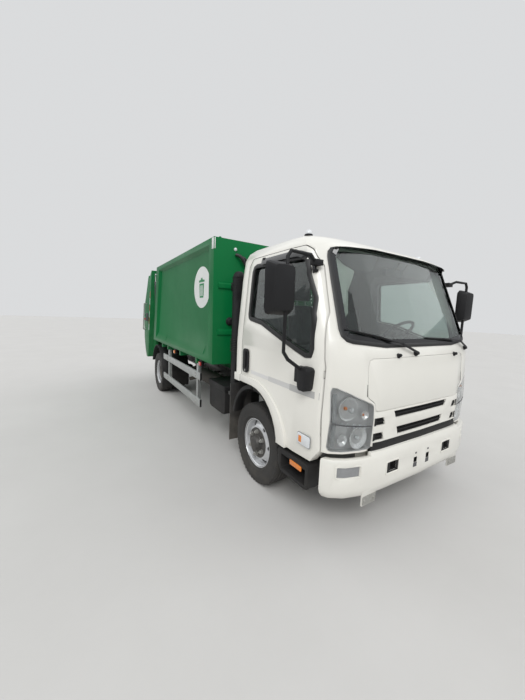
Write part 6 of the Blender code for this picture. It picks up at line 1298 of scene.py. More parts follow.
@dataclass
class CabFront:
    """Windscreen seal, wipers, headlamps, grille slots, fog lamps and bumper openings.

    Attributes:
        seal: Width of the windscreen's rubber.
        border: Width of the black border inside the glass.
        lamp_depth: Depth of a headlamp's housing.
        slots: Inner and outer end, low and high edge of each air slot on one half.
        louvre: Spacing of the fins in the slots.
        tow: Place across and height of a towing opening's middle.
        tow_half: Half its size.
        plate_hole: Place across and height of a plate fixing's middle.
        plate_half: Half its size.
    """

    seal: float = 0.030
    border: float = 0.034
    lamp_depth: float = 0.046
    slots: tuple[tuple[float, float, float, float], ...] = (
        (-0.372, 0.372, 0.911, 0.966),
        (-0.325, 0.325, 0.773, 0.837),
        (0.475, 0.569, 0.879, 0.937),
        (0.475, 0.569, 0.765, 0.823),
        (-0.569, -0.475, 0.879, 0.937),
        (-0.569, -0.475, 0.765, 0.823),
    )
    louvre: float = 0.0125
    tow: tuple[float, float] = (0.385, 0.555)
    tow_half: float = 0.034
    plate_hole: tuple[float, float] = (0.088, 0.530)
    plate_half: float = 0.0215

    def __post_init__(self) -> None:
        """Prepares the surfaces that the details sit on."""
        self.glass = Skin("windscreen")
        self.nose = Skin("cab_shell", "front_panel", "grille_panel", "windscreen")
        self.bumper = Skin("front_bumper")
        self.grille = Skin("grille_panel")

    def screen(self) -> None:
        """Lays the windscreen's rubber and its black border."""
        places, outs = rim_of("windscreen", Vector((0, -1, 0.35)).normalized(), 0.25)
        places, outs = spread(places, outs, 0.04)
        rubber = Maker()
        rubber.strip(inwards(places, outs, self.seal * 0.30), outs, self.seal, 0.007, around=True)
        rubber.piece("windscreen_rubber", "cab", SEAL_RUBBER, bevel=0.002)
        border = Maker()
        border.strip(inwards(places, outs, self.seal * 0.8 + self.border / 2), outs, self.border,
                     0.0012, around=True)
        border.piece("windscreen_border", "cab", BORDER_BLACK)

    def on_glass(self, across: float, up: float, lift: float) -> tuple[Vector, Vector]:
        """Gives a place off the windscreen and the way out of it."""
        spot = self.glass.front(across, up)
        return spot.place + spot.out * lift, spot.out

    def wiper(self, name: str, pivot: tuple[float, float], elbow: tuple[float, float],
              heel: tuple[float, float], tip: tuple[float, float]) -> None:
        """Builds one wiper: pivot, sprung arm, blade frame and rubber.

        Args:
            name: The wiper's name.
            pivot: Place across and height of its pivot.
            elbow: The same of its arm's bend.
            heel: The same of the blade's inner end.
            tip: The same of the blade's outer end.
        """
        base = self.nose.front(*pivot)
        arm = Maker()
        arm.turned([(-0.004, 0.021), (0.010, 0.020), (0.022, 0.014), (0.030, 0.013)], base.place,
                   base.out, 20)
        bend, bend_out = self.on_glass(*elbow, 0.030)
        middle = ((heel[0] + tip[0]) / 2, (heel[1] + tip[1]) / 2)
        grip, grip_out = self.on_glass(*middle, 0.026)
        root = base.place + base.out * 0.024
        arm.strip([root, root.lerp(bend, 0.5), bend], [base.out, (base.out + bend_out).normalized(),
                                                       bend_out], 0.020, 0.007)
        arm.strip([bend, bend.lerp(grip, 0.5), grip], [bend_out, bend_out, grip_out], 0.011, 0.005)
        arm.piece(f"wiper_arm_{name}", "cab", MOULDED_BLACK, bevel=0.0015)
        blade, rubber = Maker(), Maker()
        steps = 10
        spine, feet, outs = [], [], []
        for step in range(steps + 1):
            share = step / steps
            across = heel[0] + (tip[0] - heel[0]) * share
            up = heel[1] + (tip[1] - heel[1]) * share
            foot, out = self.on_glass(across, up, 0.0015)
            feet.append(foot)
            outs.append(out)
            spine.append(foot + out * (0.013 + 0.007 * math.sin(math.pi * share)))
        blade.strip(spine, outs, 0.009, 0.004)
        rubber.strip(feet, outs, 0.004, 0.0125)
        blade.piece(f"wiper_blade_{name}", "cab", MOULDED_BLACK, bevel=0.001)
        rubber.piece(f"wiper_rubber_{name}", "cab", SEAL_RUBBER)

    def nozzles(self) -> None:
        """Sets the two washer nozzles under the windscreen."""
        knob = Maker()
        knob.turned([(-0.003, 0.019), (0.006, 0.019), (0.010, 0.013), (0.022, 0.013), (0.028, 0.009)],
                    Vector(), UPWARDS, 18)
        spots = [self.nose.front(*spot) for spot in ((-0.344, 1.376), (0.483, 1.36))]
        REPEAT.on_spots("washer_nozzles", "cab", MOULDED_BLACK, knob,
                        [(spot.place, spot.out) for spot in spots])

    def bowl(self, maker: Maker, node: Skin, side: int, across: float, up: float, radius: float,
             depth: float) -> None:
        """Adds one reflector bowl that opens close behind the lens."""
        ring = [node.front(side * (across + radius * a), up + radius * b).place.y for a,
                b in ((-0.9, 0), (0.9, 0), (0, 0.9), (0, -0.9), (0, 0))]
        centre = Vector((side * across, max(ring) + 0.006, up))
        maker.turned(dish(radius, depth), centre, Vector((side * 0.10, -1, 0)), 28)

    def headlamp(self, side: int) -> None:
        """Builds one headlamp: housing, bowls, bulbs, amber light, row of lights and clear lens."""
        name = SIDE_NAMES[side]
        node = f"headlamp_{name}"
        way = Vector((side * 0.25, -1, 0.1)).normalized()
        skin = Skin(node)
        housing = outer_shell(node, way, 0.3, Vector((0, self.lamp_depth, 0)),
                              Vector((0, self.lamp_depth + 0.003, 0)))
        places, outs = rim_of(node, way, 0.3)
        inner = inwards(places, outs, 0.004)
        walls = [[place, place + Vector((0, self.lamp_depth, 0)),
                  inside + Vector((0, self.lamp_depth, 0)), inside] for place,
                  inside in zip(places, inner)]
        housing.rings(walls, around=True)
        back = housing.piece(f"headlamp_housing_{name}", "cab", LAMP_GREY)
        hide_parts(node)
        bowls = Maker()
        for across, up, radius, depth in ((0.785, 1.012, 0.080, 0.036), (0.700, 0.798, 0.074, 0.036),
                                          (0.822, 0.790, 0.040, 0.026), (0.672, 0.968, 0.030, 0.022)):
            self.bowl(bowls, skin, side, across, up, radius, depth)
        bowls.piece(f"headlamp_bowls_{name}", "cab", LAMP_BOWL, smooth=50)
        bulbs = Maker()
        for across, up, size in ((0.760, 1.000, 0.020), (0.700, 0.798, 0.016)):
            centre = skin.front(side * across, up).place + Vector((0, 0.034, 0))
            bulbs.turned([(-0.012, size * 0.8), (0.004, size), (0.012, size * 0.8),
                          (0.016, size * 0.3)], centre, FORWARDS, 20)
        bulbs.piece(f"headlamp_bulbs_{name}", "cab", LENS_WHITE, smooth=60)
        amber = Maker()
        for across, up, size in ((0.815, 1.022, 0.014), (0.672, 0.968, 0.009)):
            centre = skin.front(side * across, up).place + Vector((0, 0.028, 0))
            amber.turned(dome(size, size * 1.2), centre, FORWARDS, 16)
        amber.piece(f"headlamp_amber_{name}", "cab", AMBER, smooth=60)
        light = Maker()
        light.slab([Vector((a, b, 0)) for a, b in rounded_outline(0.012, 0.014, 0.004, 2)],
                   Vector((0, 0, 0.006)))
        row = [skin.front(side * (0.665 + 0.046 * step), 0.884 + 0.007 * step).place + Vector((0, 0.014,
                0)) for step in range(5)]
        REPEAT.on_spots(f"headlamp_row_{name}", "cab", LENS_WHITE, light,
                        [(place, FORWARDS) for place in row])
        fin = [skin.front(side * (0.612 + 0.30 * step / 8),
                          0.883 + 0.034 * step / 8) for step in range(9)]
        bar = Maker()
        bar.strip([spot.place + spot.out * 0.0002 for spot in fin], [spot.out for spot in fin], 0.009,
                  0.0015)
        bar.piece(f"headlamp_split_{name}", "cab", MOULDED_GREY)
        edge = [skin.front(side * 0.893, 0.745 + 0.38 * step / 8) for step in range(9)]
        strip = Maker()
        strip.strip([spot.place + Vector((0, 0.010, 0)) for spot in edge], [spot.out for spot in edge],
                    0.028, 0.003)
        strip.piece(f"headlamp_reflector_{name}", "cab", REFLECTOR_GREY)
        lens = outer_shell(node, way, 0.3, Vector(), Vector((0, 0.0025, 0)))
        lens.piece(f"headlamp_lens_{name}", "cab", LENS_CLEAR)

    def patch(self, maker: Maker, skin: Skin, ends: tuple[float, float], heights: tuple[float, float],
              samples: tuple[float, float], face: float, back: float, slant: float = 0.0) -> None:
        """Adds a curved plate that follows a front surface.

        Args:
            maker: Where its faces go.
            skin: The surface that it follows.
            ends: Its two ends across the truck.
            heights: Its low and high edge.
            samples: Heights at which the surface is felt for its low and high edge.
            face: Depth of its outer face behind the surface.
            back: Depth of its inner face.
            slant: How far its first end leans towards the second at the low edge.
        """
        count = max(3, round(abs(ends[1] - ends[0]) / 0.04))
        rings = []
        for step in range(count + 1):
            high = ends[0] + (ends[1] - ends[0]) * step / count
            low = ends[0] + slant + (ends[1] - ends[0] - slant) * step / count
            foot = skin.front(low, samples[0]).place.y
            top = skin.front(high, samples[1]).place.y
            rings.append([Vector((low, foot + face, heights[0])),
                          Vector((high, top + face, heights[1])),
                          Vector((high, top + back, heights[1])), Vector((low, foot + back, heights[0]))])
        maker.rings(rings)

    def slot_mesh(self) -> None:
        """Fills the air slots with a dark backing, a louvre and fins."""
        backing, louvres, edges = Maker(), Maker(), Maker()
        spots = []
        for side in SIDES:
            for _, _, low, high in self.slots[2:4]:
                self.patch(edges, self.grille, (side * 0.568, side * 0.588), (low, high),
                           (low - 0.008, high + 0.008), -0.0012, 0.0008)
        self.patch(edges, self.grille, (-0.583, 0.583), (0.7215, 0.752), (0.7225, 0.752), -0.0012, 0.0008)
        for ends, heights in (((-0.720, 0.720), (1.3650, 1.3725)),
                              ((-0.6670, -0.6610), (1.100, 1.3650)), ((0.6610, 0.6670), (1.100, 1.3650))):
            self.patch(edges, self.nose, ends, heights, (heights[0] + 0.006, heights[1] + 0.006),
                       -0.0018, 0.0010)
        edges.piece("grille_dark_edges", "cab", SLOT_BLACK)
        for left, right, low, high in self.slots:
            count = max(6, round((right - left) / 0.05))
            rings, bars, outs = [], [], []
            for step in range(count + 1):
                across = left + (right - left) * step / count
                top = self.grille.front(across, high + 0.009).place.y
                foot = self.grille.front(across, low - 0.009).place.y
                rings.append([Vector((across, y + depth, z)) for y, z,
                              depth in ((foot, low, 0.0125), (top, high, 0.0125), (top, high, 0.0165),
                                        (foot, low, 0.0165))])
                bars.append(Vector((across, (top + foot) / 2 + 0.010, (low + high) / 2)))
                outs.append(FORWARDS)
            backing.rings(rings)
            louvres.strip(bars, outs, 0.007, 0.006)
            fins = int((right - left) / self.louvre)
            for fin in range(1, fins):
                across = left + (right - left) * fin / fins
                y = self.grille.front(across, high + 0.009).place.y + 0.0115
                spots.append((Vector((across, y, (low + high) / 2)), UPWARDS))
        backing.piece("grille_backing", "cab", SLOT_BLACK)
        louvres.piece("grille_louvres", "cab", MOULDED_BLACK, bevel=0.001)
        fin = Maker()
        fin.box((-0.001, -0.003, -0.026), (0.001, 0.001, 0.026))
        REPEAT.on_spots("grille_fins", "cab", MOULDED_BLACK, fin, spots)

    def tray(self, maker: Maker, across: float, up: float, half_across: float, half_up: float,
             depth: float) -> None:
        """Adds an open dark tray that fills a square opening of the bumper."""
        edge = self.bumper.front(across, up - half_up - 0.012).place.y + 0.0004
        wall = 0.0025
        low = (across - half_across, edge, up - half_up)
        high = (across + half_across, edge + depth, up + half_up)
        maker.box((low[0], high[1] - wall, low[2]), high)
        maker.box(low, (low[0] + wall, high[1], high[2]))
        maker.box((high[0] - wall, low[1], low[2]), high)
        maker.box(low, (high[0], high[1], low[2] + wall))
        maker.box((low[0], low[1], high[2] - wall), high)

    def openings(self) -> None:
        """Lines the bumper's towing openings and plate fixings, and plates its two tabs."""
        trays, tabs, patches, squares, lips = Maker(), Maker(), Maker(), Maker(), Maker()
        for side in SIDES:
            for ends in ((0.318, 0.350), (0.420, 0.452)):
                self.patch(patches, self.bumper, (side * ends[0], side * ends[1]), (0.508, 0.586),
                           (0.508, 0.586), -0.0012, 0.001)
            self.patch(patches, self.bumper, (side * 0.318, side * 0.452), (0.508, 0.5195),
                       (0.508, 0.5175), -0.0012, 0.001)
            loop = [(0.385 + a, 0.546 + b) for a, b in rounded_outline(0.074, 0.050, 0.012, 3)]
            spots = [self.bumper.front(side * a, b) for a, b in loop]
            lips.strip([spot.place - spot.out * 0.001 for spot in spots], [spot.out for spot in spots],
                       0.010, 0.005, around=True)
            self.patch(squares, self.bumper, (side * 0.064, side * 0.112), (0.470, 0.5065),
                       (0.470, 0.5060), -0.0015, 0.001)
            self.patch(squares, self.bumper, (side * 0.078, side * 0.098), (0.580, 0.594),
                       (0.580, 0.594), -0.0015, 0.001)
            self.tray(trays, side * self.tow[0], self.tow[1], self.tow_half, self.tow_half, 0.045)
            self.tray(trays, side * self.plate_hole[0], self.plate_hole[1], self.plate_half,
                      self.plate_half, 0.030)
            outline = rounded_outline(0.073, 0.033, 0.010)
            tabs.slab([at(side * 0.600 + a, -1.0785, 0.338 + b) for a, b in outline],
                      Vector((0, -0.003, 0)))
        trays.piece("bumper_openings", "chassis", SLOT_BLACK)
        patches.piece("bumper_opening_edges", "chassis", SLOT_BLACK)
        squares.piece("bumper_plate_fixings", "chassis", MOULDED_GREY)
        lips.piece("bumper_opening_lips", "chassis", CAB_WHITE, bevel=0.0012)
        tabs.piece("bumper_tabs", "chassis", ZINC, bevel=0.0008)
        bolt = hexagon_bolt(0.014, 0.008)
        spots = [(at(side * 0.600 + shift, -1.0815, 0.338), Vector((0, -1,
                0))) for side in SIDES for shift in (-0.05, 0.05)]
        REPEAT.on_spots("bumper_tab_bolts", "chassis", ZINC, bolt, spots)

    def fog(self, side: int) -> None:
        """Builds one fog lamp in its recess, with a grey lens and a white lip."""
        name = SIDE_NAMES[side]
        low, high = 0.5415, 0.6135
        backing, lens, lip = Maker(), Maker(), Maker()
        steps = 8
        back_rings, lens_rings = [], []
        for step in range(steps + 1):
            across = side * (0.7195 + 0.161 * step / steps)
            y = self.bumper.front(across, high + 0.010).place.y
            back_rings.append([Vector((across, y + depth, z)) for depth,
                               z in ((0.030, low), (0.030, high), (0.034, high), (0.034, low))])
            lens_rings.append([Vector((across, y + depth, z)) for depth,
                               z in ((0.007, low), (0.007, high), (0.010, high), (0.010, low))])
        backing.rings(back_rings)
        lens.rings(lens_rings)
        backing.piece(f"fog_lamp_housing_{name}", "chassis", LAMP_GREY)
        lens.piece(f"fog_lamp_lens_{name}", "chassis", FOG_GREY)
        loop = [(0.800 + a, 0.5775 + b) for a, b in rounded_outline(0.089, 0.044, 0.014, 3)]
        spots = [self.bumper.front(side * a, b) for a, b in loop]
        lip.strip([spot.place - spot.out * 0.001 for spot in spots], [spot.out for spot in spots],
                  0.010, 0.005, around=True)
        lip.piece(f"fog_lamp_lip_{name}", "chassis", CAB_WHITE, bevel=0.0012)

    def band(self) -> None:
        """Lays the dark band between the bumper and the cab."""
        maker = Maker()
        rings = []
        for step in range(25):
            across = -0.60 + 1.20 * step / 24
            y = self.bumper.front(across, 0.640).place.y
            rings.append([Vector((across, y + depth, z)) for depth,
                          z in ((0.034, 0.668), (0.034, 0.726), (0.046, 0.726), (0.046, 0.668))])
        maker.rings(rings)
        maker.piece("bumper_top_band", "chassis", MOULDED_BLACK, bevel=0.002)

    def dress(self) -> None:
        """Builds all of the front's details."""
        self.screen()
        self.wiper("right", (-0.124, 1.385), (-0.308, 1.455), (-0.386, 1.480), (-0.815, 1.560))
        self.wiper("left", (0.770, 1.400), (0.600, 1.465), (0.520, 1.478), (0.060, 1.500))
        self.nozzles()
        self.slot_mesh()
        self.openings()
        self.band()
        for side in SIDES:
            self.headlamp(side)
            self.fog(side)


@dataclass
class CabSides:
    """Door seals, visors, handles, mirrors' glass, side lamps, grey bands of painted shade and arch flares.

    Attributes:
        seal: Width of the window's rubber.
        visor: The visor's path as distance behind the front axle and height.
        visor_width: Its width down the glass.
        handle: Middle of the handle as distance behind the front axle and height.
        band: Ends of the grey band of painted shade as distance behind the front axle.
        band_height: Its height above the ground.
    """

    seal: float = 0.030
    visor: tuple[tuple[float, float], ...] = ((-0.020, 2.138), (-0.25, 2.140), (-0.49, 2.138),
                                              (-0.575, 2.126), (-0.635, 2.094), (-0.680, 2.035),
                                              (-0.708, 1.960))
    visor_width: float = 0.050
    handle: tuple[float, float] = (0.105, 1.200)
    band: tuple[float, float] = (-0.885, 0.020)
    band_height: float = 1.096

    def window(self, side: int) -> None:
        """Lays the rubber round one door's window."""
        name = SIDE_NAMES[side]
        places, outs = rim_of(f"door_glass_{name}", Vector((side, 0, 0)), 0.5)
        places, outs = spread(places, outs, 0.04)
        door = Skin(f"door_{name}", f"door_glass_{name}")
        edge = inwards(places, outs, -self.seal * 0.12)
        spots = [door.hit(place + Vector((side * 0.5, 0, 0)), Vector((-side, 0, 0))) for place in edge]
        rubber = Maker()
        rubber.strip([spot.place - spot.out * 0.016 for spot in spots], outs, self.seal * 1.2, 0.021,
                     around=True)
        rubber.piece(f"window_rubber_{name}", f"door_{name}", SEAL_RUBBER, bevel=0.002)

    def shade(self, side: int) -> None:
        """Builds the rain visor over one door's window, with its clips."""
        name = SIDE_NAMES[side]
        door = Skin(f"door_{name}")
        path = smoothed([(0.0, along, up) for along, up in self.visor], 5)
        spots = [door.side(side, point.y, point.z) for point in path]
        maker = Maker()
        rings = []
        for index, spot in enumerate(spots):
            before, after = spots[max(index - 1, 0)].place, spots[min(index + 1, len(spots) - 1)].place
            run = Vector((0, after.y - before.y, after.z - before.z)).normalized()
            down = Vector((0, -run.z, run.y))
            if down.dot(at(0, -0.30, 1.75) - spot.place) < 0:
                down = -down
            out = Vector((side, 0, 0))
            root = spot.place + out * 0.001
            edge = root + down * self.visor_width
            rings.append([root - out * 0.004, root + out * 0.014, edge + out * 0.026,
                          edge + out * 0.022, root + out * 0.009 + down * 0.006])
        maker.rings(rings)
        maker.piece(f"rain_visor_{name}", f"door_{name}", VISOR_BLACK, bevel=0.0012)
        clip = Maker()
        clip.slab([Vector((a, b, 0)) for a, b in rounded_outline(0.010, 0.014, 0.005, 3)],
                  Vector((0, 0, 0.020)))
        REPEAT.on_spots(f"rain_visor_clips_{name}", f"door_{name}", MOULDED_BLACK, clip,
                        [(spots[index].place, Vector((side, 0, 0))) for index in (1, len(spots) // 3,
                                len(spots) - 2)])

    def grip(self, side: int) -> None:
        """Covers one door's handle: bezel, lever and lock barrel."""
        name = SIDE_NAMES[side]
        along, up = self.handle
        face = Skin(f"door_{name}").side(side, along, up).place.x
        bezel, lever, lock = Maker(), Maker(), Maker()
        bezel.slab([Vector((face - side * 0.012, 0, 0)) + at(0, along + a, up + b) for a,
                    b in rounded_outline(0.054, 0.115, 0.034, 5)], Vector((side * 0.014, 0, 0)))
        lever.slab([Vector((face + side * 0.002, 0, 0)) + at(0, along + a + 0.004,
                up + 0.012 + b) for a, b in rounded_outline(0.024, 0.082, 0.018, 4)],
                Vector((side * 0.012, 0, 0)))
        lock.turned([(0, 0.011), (0.005, 0.011), (0.006, 0.008)],
                    Vector((face + side * 0.001, 0, 0)) + at(0, along, up - 0.092),
                    Vector((side, 0, 0)), 20)
        bezel.piece(f"handle_bezel_{name}", f"door_{name}", MOULDED_BLACK, bevel=0.004)
        lever.piece(f"handle_lever_{name}", f"door_{name}", MOULDED_BLACK, bevel=0.003)
        lock.piece(f"handle_lock_{name}", f"door_{name}", ZINC)

    def door_shade(self, side: int) -> None:
        """Lays the grey band of painted shade along the door, which fades towards the rear."""
        name = SIDE_NAMES[side]
        door = Skin(f"door_{name}")
        fades = (SHADE_BAND_DARK, SHADE_BAND_MID, SHADE_BAND_LIGHT)
        start, end = self.band
        # Painted shade: each of the three strips is paler and narrower than the one before it.
        for part, finish in enumerate(fades):
            spots = []
            for step in range(9):
                share = (part + step / 8) / len(fades)
                spots.append(door.side(side, start + (end - start) * share,
                                       self.band_height + 0.008 * share))
            maker = Maker()
            maker.strip([spot.place - spot.out * 0.0004 for spot in spots],
                        [spot.out for spot in spots], 0.050 - 0.008 * part, 0.0014)
            maker.piece(f"silver_band_{part}_{name}", f"door_{name}", finish)

    def plate(self, name: str, body: str, finish: Finish, skin: Skin, side: int,
              spot: tuple[float, float], halves: tuple[float, float], lift: float) -> None:
        """Sets a small rounded plate or lens on a side.

        Args:
            name: The piece's name.
            body: The CAD body that it rides on.
            finish: Its finish.
            skin: The surface that it sits on.
            side: -1 on the right and 1 on the left.
            spot: Its middle as distance behind the front axle and height.
            halves: Half its length and half its height.
            lift: How far it stands proud.
        """
        outline = [(spot[0] + a, spot[1] + b) for a, b in rounded_outline(*halves, min(halves) * 0.35)]
        seats = [skin.side(side, along, up).place for along, up in outline]
        face = max(abs(seat.x) for seat in seats) - 0.003
        maker = Maker()
        maker.slab([Vector((side * face, seat.y, seat.z)) for seat in seats],
                   Vector((side * (lift + 0.003), 0, 0)))
        maker.piece(name, body, finish, bevel=min(0.003, lift / 2))

    def lights(self, side: int) -> None:
        """Sets the side lamp, the step's reflector, the roof lamp and the mirror's glass."""
        name = SIDE_NAMES[side]
        door = Skin(f"door_{name}")
        self.plate(f"side_lamp_base_{name}", f"door_{name}", REFLECTOR_GREY, door, side,
                   (-0.770, 0.742), (0.074, 0.046), 0.004)
        self.plate(f"side_lamp_{name}", f"door_{name}", LENS_WHITE, door, side, (-0.770, 0.742),
                   (0.069, 0.041), 0.010)
        self.plate(f"side_lamp_amber_{name}", f"door_{name}", AMBER, door, side, (-0.735, 0.742),
                   (0.018, 0.026), 0.0125)
        step = Skin(f"entry_step_{name}")
        self.plate(f"step_reflector_{name}", "cab", AMBER, step, side, (-0.681, 0.500), (0.070, 0.020),
                   0.005)
        cover = Maker()
        foot = door.side(side, -0.787, 1.205).place
        cover.slab([Vector((foot.x - side * 0.01, 0, 0)) + at(0, -0.787 + a, 1.205 + b) for a,
                    b in ((a * (0.86 + 1.6 * b), b) for a, b in rounded_outline(0.060, 0.086, 0.034,
                            5))], Vector((side * (1.060 - abs(foot.x) + 0.01), 0, 0)))
        cover.piece(f"mirror_foot_cover_{name}", f"door_{name}", MOULDED_BLACK, bevel=0.014)
        centre = at(side * 1.2375, -0.7115, 1.8175)
        glass = Maker()
        glass.slab([centre + Vector((a, 0, b)) for a, b in rounded_outline(0.094, 0.158, 0.024)],
                   Vector((0, 0.0022, 0)))
        glass.piece(f"mirror_glass_{name}", f"door_{name}", MIRROR_FACE, bevel=0.0006)
        roof = Skin("cab_shell").top(side * 0.775, -0.45)
        base, lens = Maker(), Maker()
        base.turned([(-0.012, 0.034), (0.012, 0.034), (0.016, 0.029)], roof.place, UPWARDS, 24)
        lens.turned([(0.014, 0.026), (0.030, 0.026), (0.042, 0.021), (0.050, 0.012), (0.053, 0.001)],
                    roof.place, UPWARDS, 24)
        base.piece(f"roof_lamp_base_{name}", "cab", MOULDED_BLACK, bevel=0.001)
        lens.piece(f"roof_lamp_{name}", "cab", LENS_WHITE, smooth=50)

    def flare(self, side: int) -> None:
        """Builds the dark flare of one wheel arch: its front on the cab, its rear on the chassis."""
        section = ((0.860, 0.008), (0.978, 0.003), (0.988, 0.008), (0.986, 0.042), (0.950, 0.046),
                   (0.860, 0.014))
        for piece, body, first, last in (("arch_flare", "cab", 89.0, 172.0),
                                         ("rear_flare", "chassis", 8.0, 86.0)):
            rings = []
            for step in range(15):
                turn = math.radians(first + (last - first) * step / 14)
                rings.append([at(side * across, -0.020 + (0.435 - inset) * math.cos(turn),
                                 0.550 + (0.425 - inset) * math.sin(turn)) for across, inset in section])
            maker = Maker()
            maker.rings(rings)
            maker.piece(f"{piece}_{SIDE_NAMES[side]}", body, MOULDED_BLACK, bevel=0.001)

    def dress(self) -> None:
        """Builds both sides' details."""
        for side in SIDES:
            self.window(side)
            self.shade(side)
            self.grip(side)
            self.door_shade(side)
            self.lights(side)
            self.flare(side)


@dataclass
class Cockpit:
    """Padded seats, dials, vents, levers, visors and the grey lining of the cab.

    Attributes:
        seat_front: Front of the cushions behind the front axle.
        rest: Front of the backrests' foot behind the front axle.
        cushion_low: Underside of the cushions.
        cushion_top: Top of the cushions.
        rest_top: Top of the backrests.
        lean: How far a backrest leans back.
        voxel: Size of the cells that the pads are remeshed to.
        swell: How far a pad's surface may move when it is blown up.
    """

    seat_front: float = -0.325
    rest: float = 0.115
    cushion_low: float = 1.180
    cushion_top: float = 1.318
    rest_top: float = 1.795
    lean: float = 0.060
    voxel: float = 0.013
    swell: float = 0.022

    def pad(self, name: str, node: str, outline: Sequence[tuple[float, float]], low: float, high: float,
            channels: Sequence[float], across: bool = True) -> None:
        """Builds one padded piece: a blown-up form with sewn channels.

        Args:
            name: The piece's name.
            node: The CAD node that it stands for.
            outline: Its side view as distance behind the front axle and height.
            low: Its right end.
            high: Its left end.
            channels: Places across at which it is sewn.
            across: Whether the sewn lines' places are measured across the cab.
        """
        maker = Maker()
        maker.slab([at(low, along, up) for along, up in outline], Vector((high - low, 0, 0)))
        bmesh.ops.recalc_face_normals(maker.mesh, faces=maker.mesh.faces)
        data = bpy.data.meshes.new(name)
        maker.mesh.to_mesh(data)
        maker.mesh.free()
        thing = bpy.data.objects.new(name, data)
        bpy.context.scene.collection.objects.link(thing)
        rounded(thing, 0.022, 3)
        remesh = thing.modifiers.new("cells", "REMESH")
        remesh.mode = "VOXEL"
        remesh.voxel_size = self.voxel
        baked(thing)
        start = [vertex.co.copy() for vertex in thing.data.vertices]
        self.blow(thing)
        shape = bmesh.new()
        shape.from_mesh(thing.data)
        for vertex, before in zip(shape.verts, start):
            move = vertex.co - before
            if move.length > self.swell:
                vertex.co = before + move.normalized() * self.swell
        bmesh.ops.smooth_vert(shape, verts=shape.verts, factor=0.5, use_axis_x=True, use_axis_y=True,
                              use_axis_z=True)
        shape.normal_update()
        for vertex in shape.verts:
            place = vertex.co.x if across else vertex.co.z
            depth = sum(math.exp(-(((place - line) / 0.011) ** 2)) for line in channels)
            vertex.co -= vertex.normal * min(depth, 1.0) * 0.009
        shape.to_mesh(thing.data)
        shape.free()
        finished(thing, "cab", SEAT_CLOTH, 180)
        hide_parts(node)

    def blow(self, thing: bpy.types.Object) -> None:
        """Blows a closed form up as cloth and keeps the result."""
        cloth = thing.modifiers.new("cloth", "CLOTH")
        cloth.settings.quality = 4
        cloth.settings.use_pressure = True
        cloth.settings.uniform_pressure_force = 4.0
        cloth.settings.effector_weights.gravity = 0.0
        cloth.collision_settings.use_collision = False
        cloth.point_cache.frame_start = 1
        cloth.point_cache.frame_end = 20
        for step in range(1, 21):
            bpy.context.scene.frame_set(step)
        baked(thing)
        bpy.context.scene.frame_set(1)

    def seat(self, node: str, places: Sequence[tuple[float, float]],
             sewn: Sequence[Sequence[float]]) -> None:
        """Builds one seat or bench: plinth, cushions, backrests, headrests and their posts.

        Args:
            node: The CAD node that it stands for.
            places: Right and left end of each sitting place.
            sewn: Each place's sewn lines.
        """
        low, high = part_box(node)
        plinth = Maker()
        plinth.box((low.x + 0.055, self.seat_front + 0.065 + FRONT_AXLE_Y, low.z),
                   (high.x - 0.055, self.rest + 0.08 + FRONT_AXLE_Y, self.cushion_low + 0.012))
        base = plinth.piece(f"{node}_plinth", "cab", MOULDED_BLACK, bevel=0.012)
        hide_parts(node)
        bottom = self.cushion_low + 0.008
        front, foot = self.seat_front + 0.012, self.rest
        cushion = [(front, bottom), (foot + 0.07, bottom), (foot + 0.07, self.cushion_top - 0.012),
                   (front + 0.06, self.cushion_top - 0.006), (front, self.cushion_top - 0.045)]
        lean = self.lean
        rest = [(foot + 0.012, self.cushion_top + 0.008), (foot + 0.115, self.cushion_top - 0.05),
                (foot + 0.130 + lean, self.rest_top - 0.012),
                (foot + 0.060 + lean, self.rest_top - 0.012)]
        posts = Maker()
        for index, (left, right) in enumerate(places):
            lines = sewn[index]
            self.pad(f"{node}_cushion_{index}", node, cushion, left + 0.008, right - 0.008, lines)
            self.pad(f"{node}_backrest_{index}", node, rest, left + 0.012, right - 0.012, lines)
            middle = (left + right) / 2
            head_y = 0.200 + lean
            head = [(head_y - 0.014, self.rest_top + 0.022), (head_y + 0.050, self.rest_top + 0.022),
                    (head_y + 0.052, self.rest_top + 0.178), (head_y + 0.004, self.rest_top + 0.178)]
            self.pad(f"{node}_headrest_{index}", node, head, middle - 0.122, middle + 0.122, ())
            for shift in (-0.06, 0.06):
                posts.tube([at(middle + shift, head_y + 0.020, self.rest_top - 0.03),
                            at(middle + shift, head_y + 0.020, self.rest_top + 0.04)], 0.006)
        rods = posts.piece(f"{node}_headrest_posts", "cab", CHROME_ROD)
        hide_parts(node)

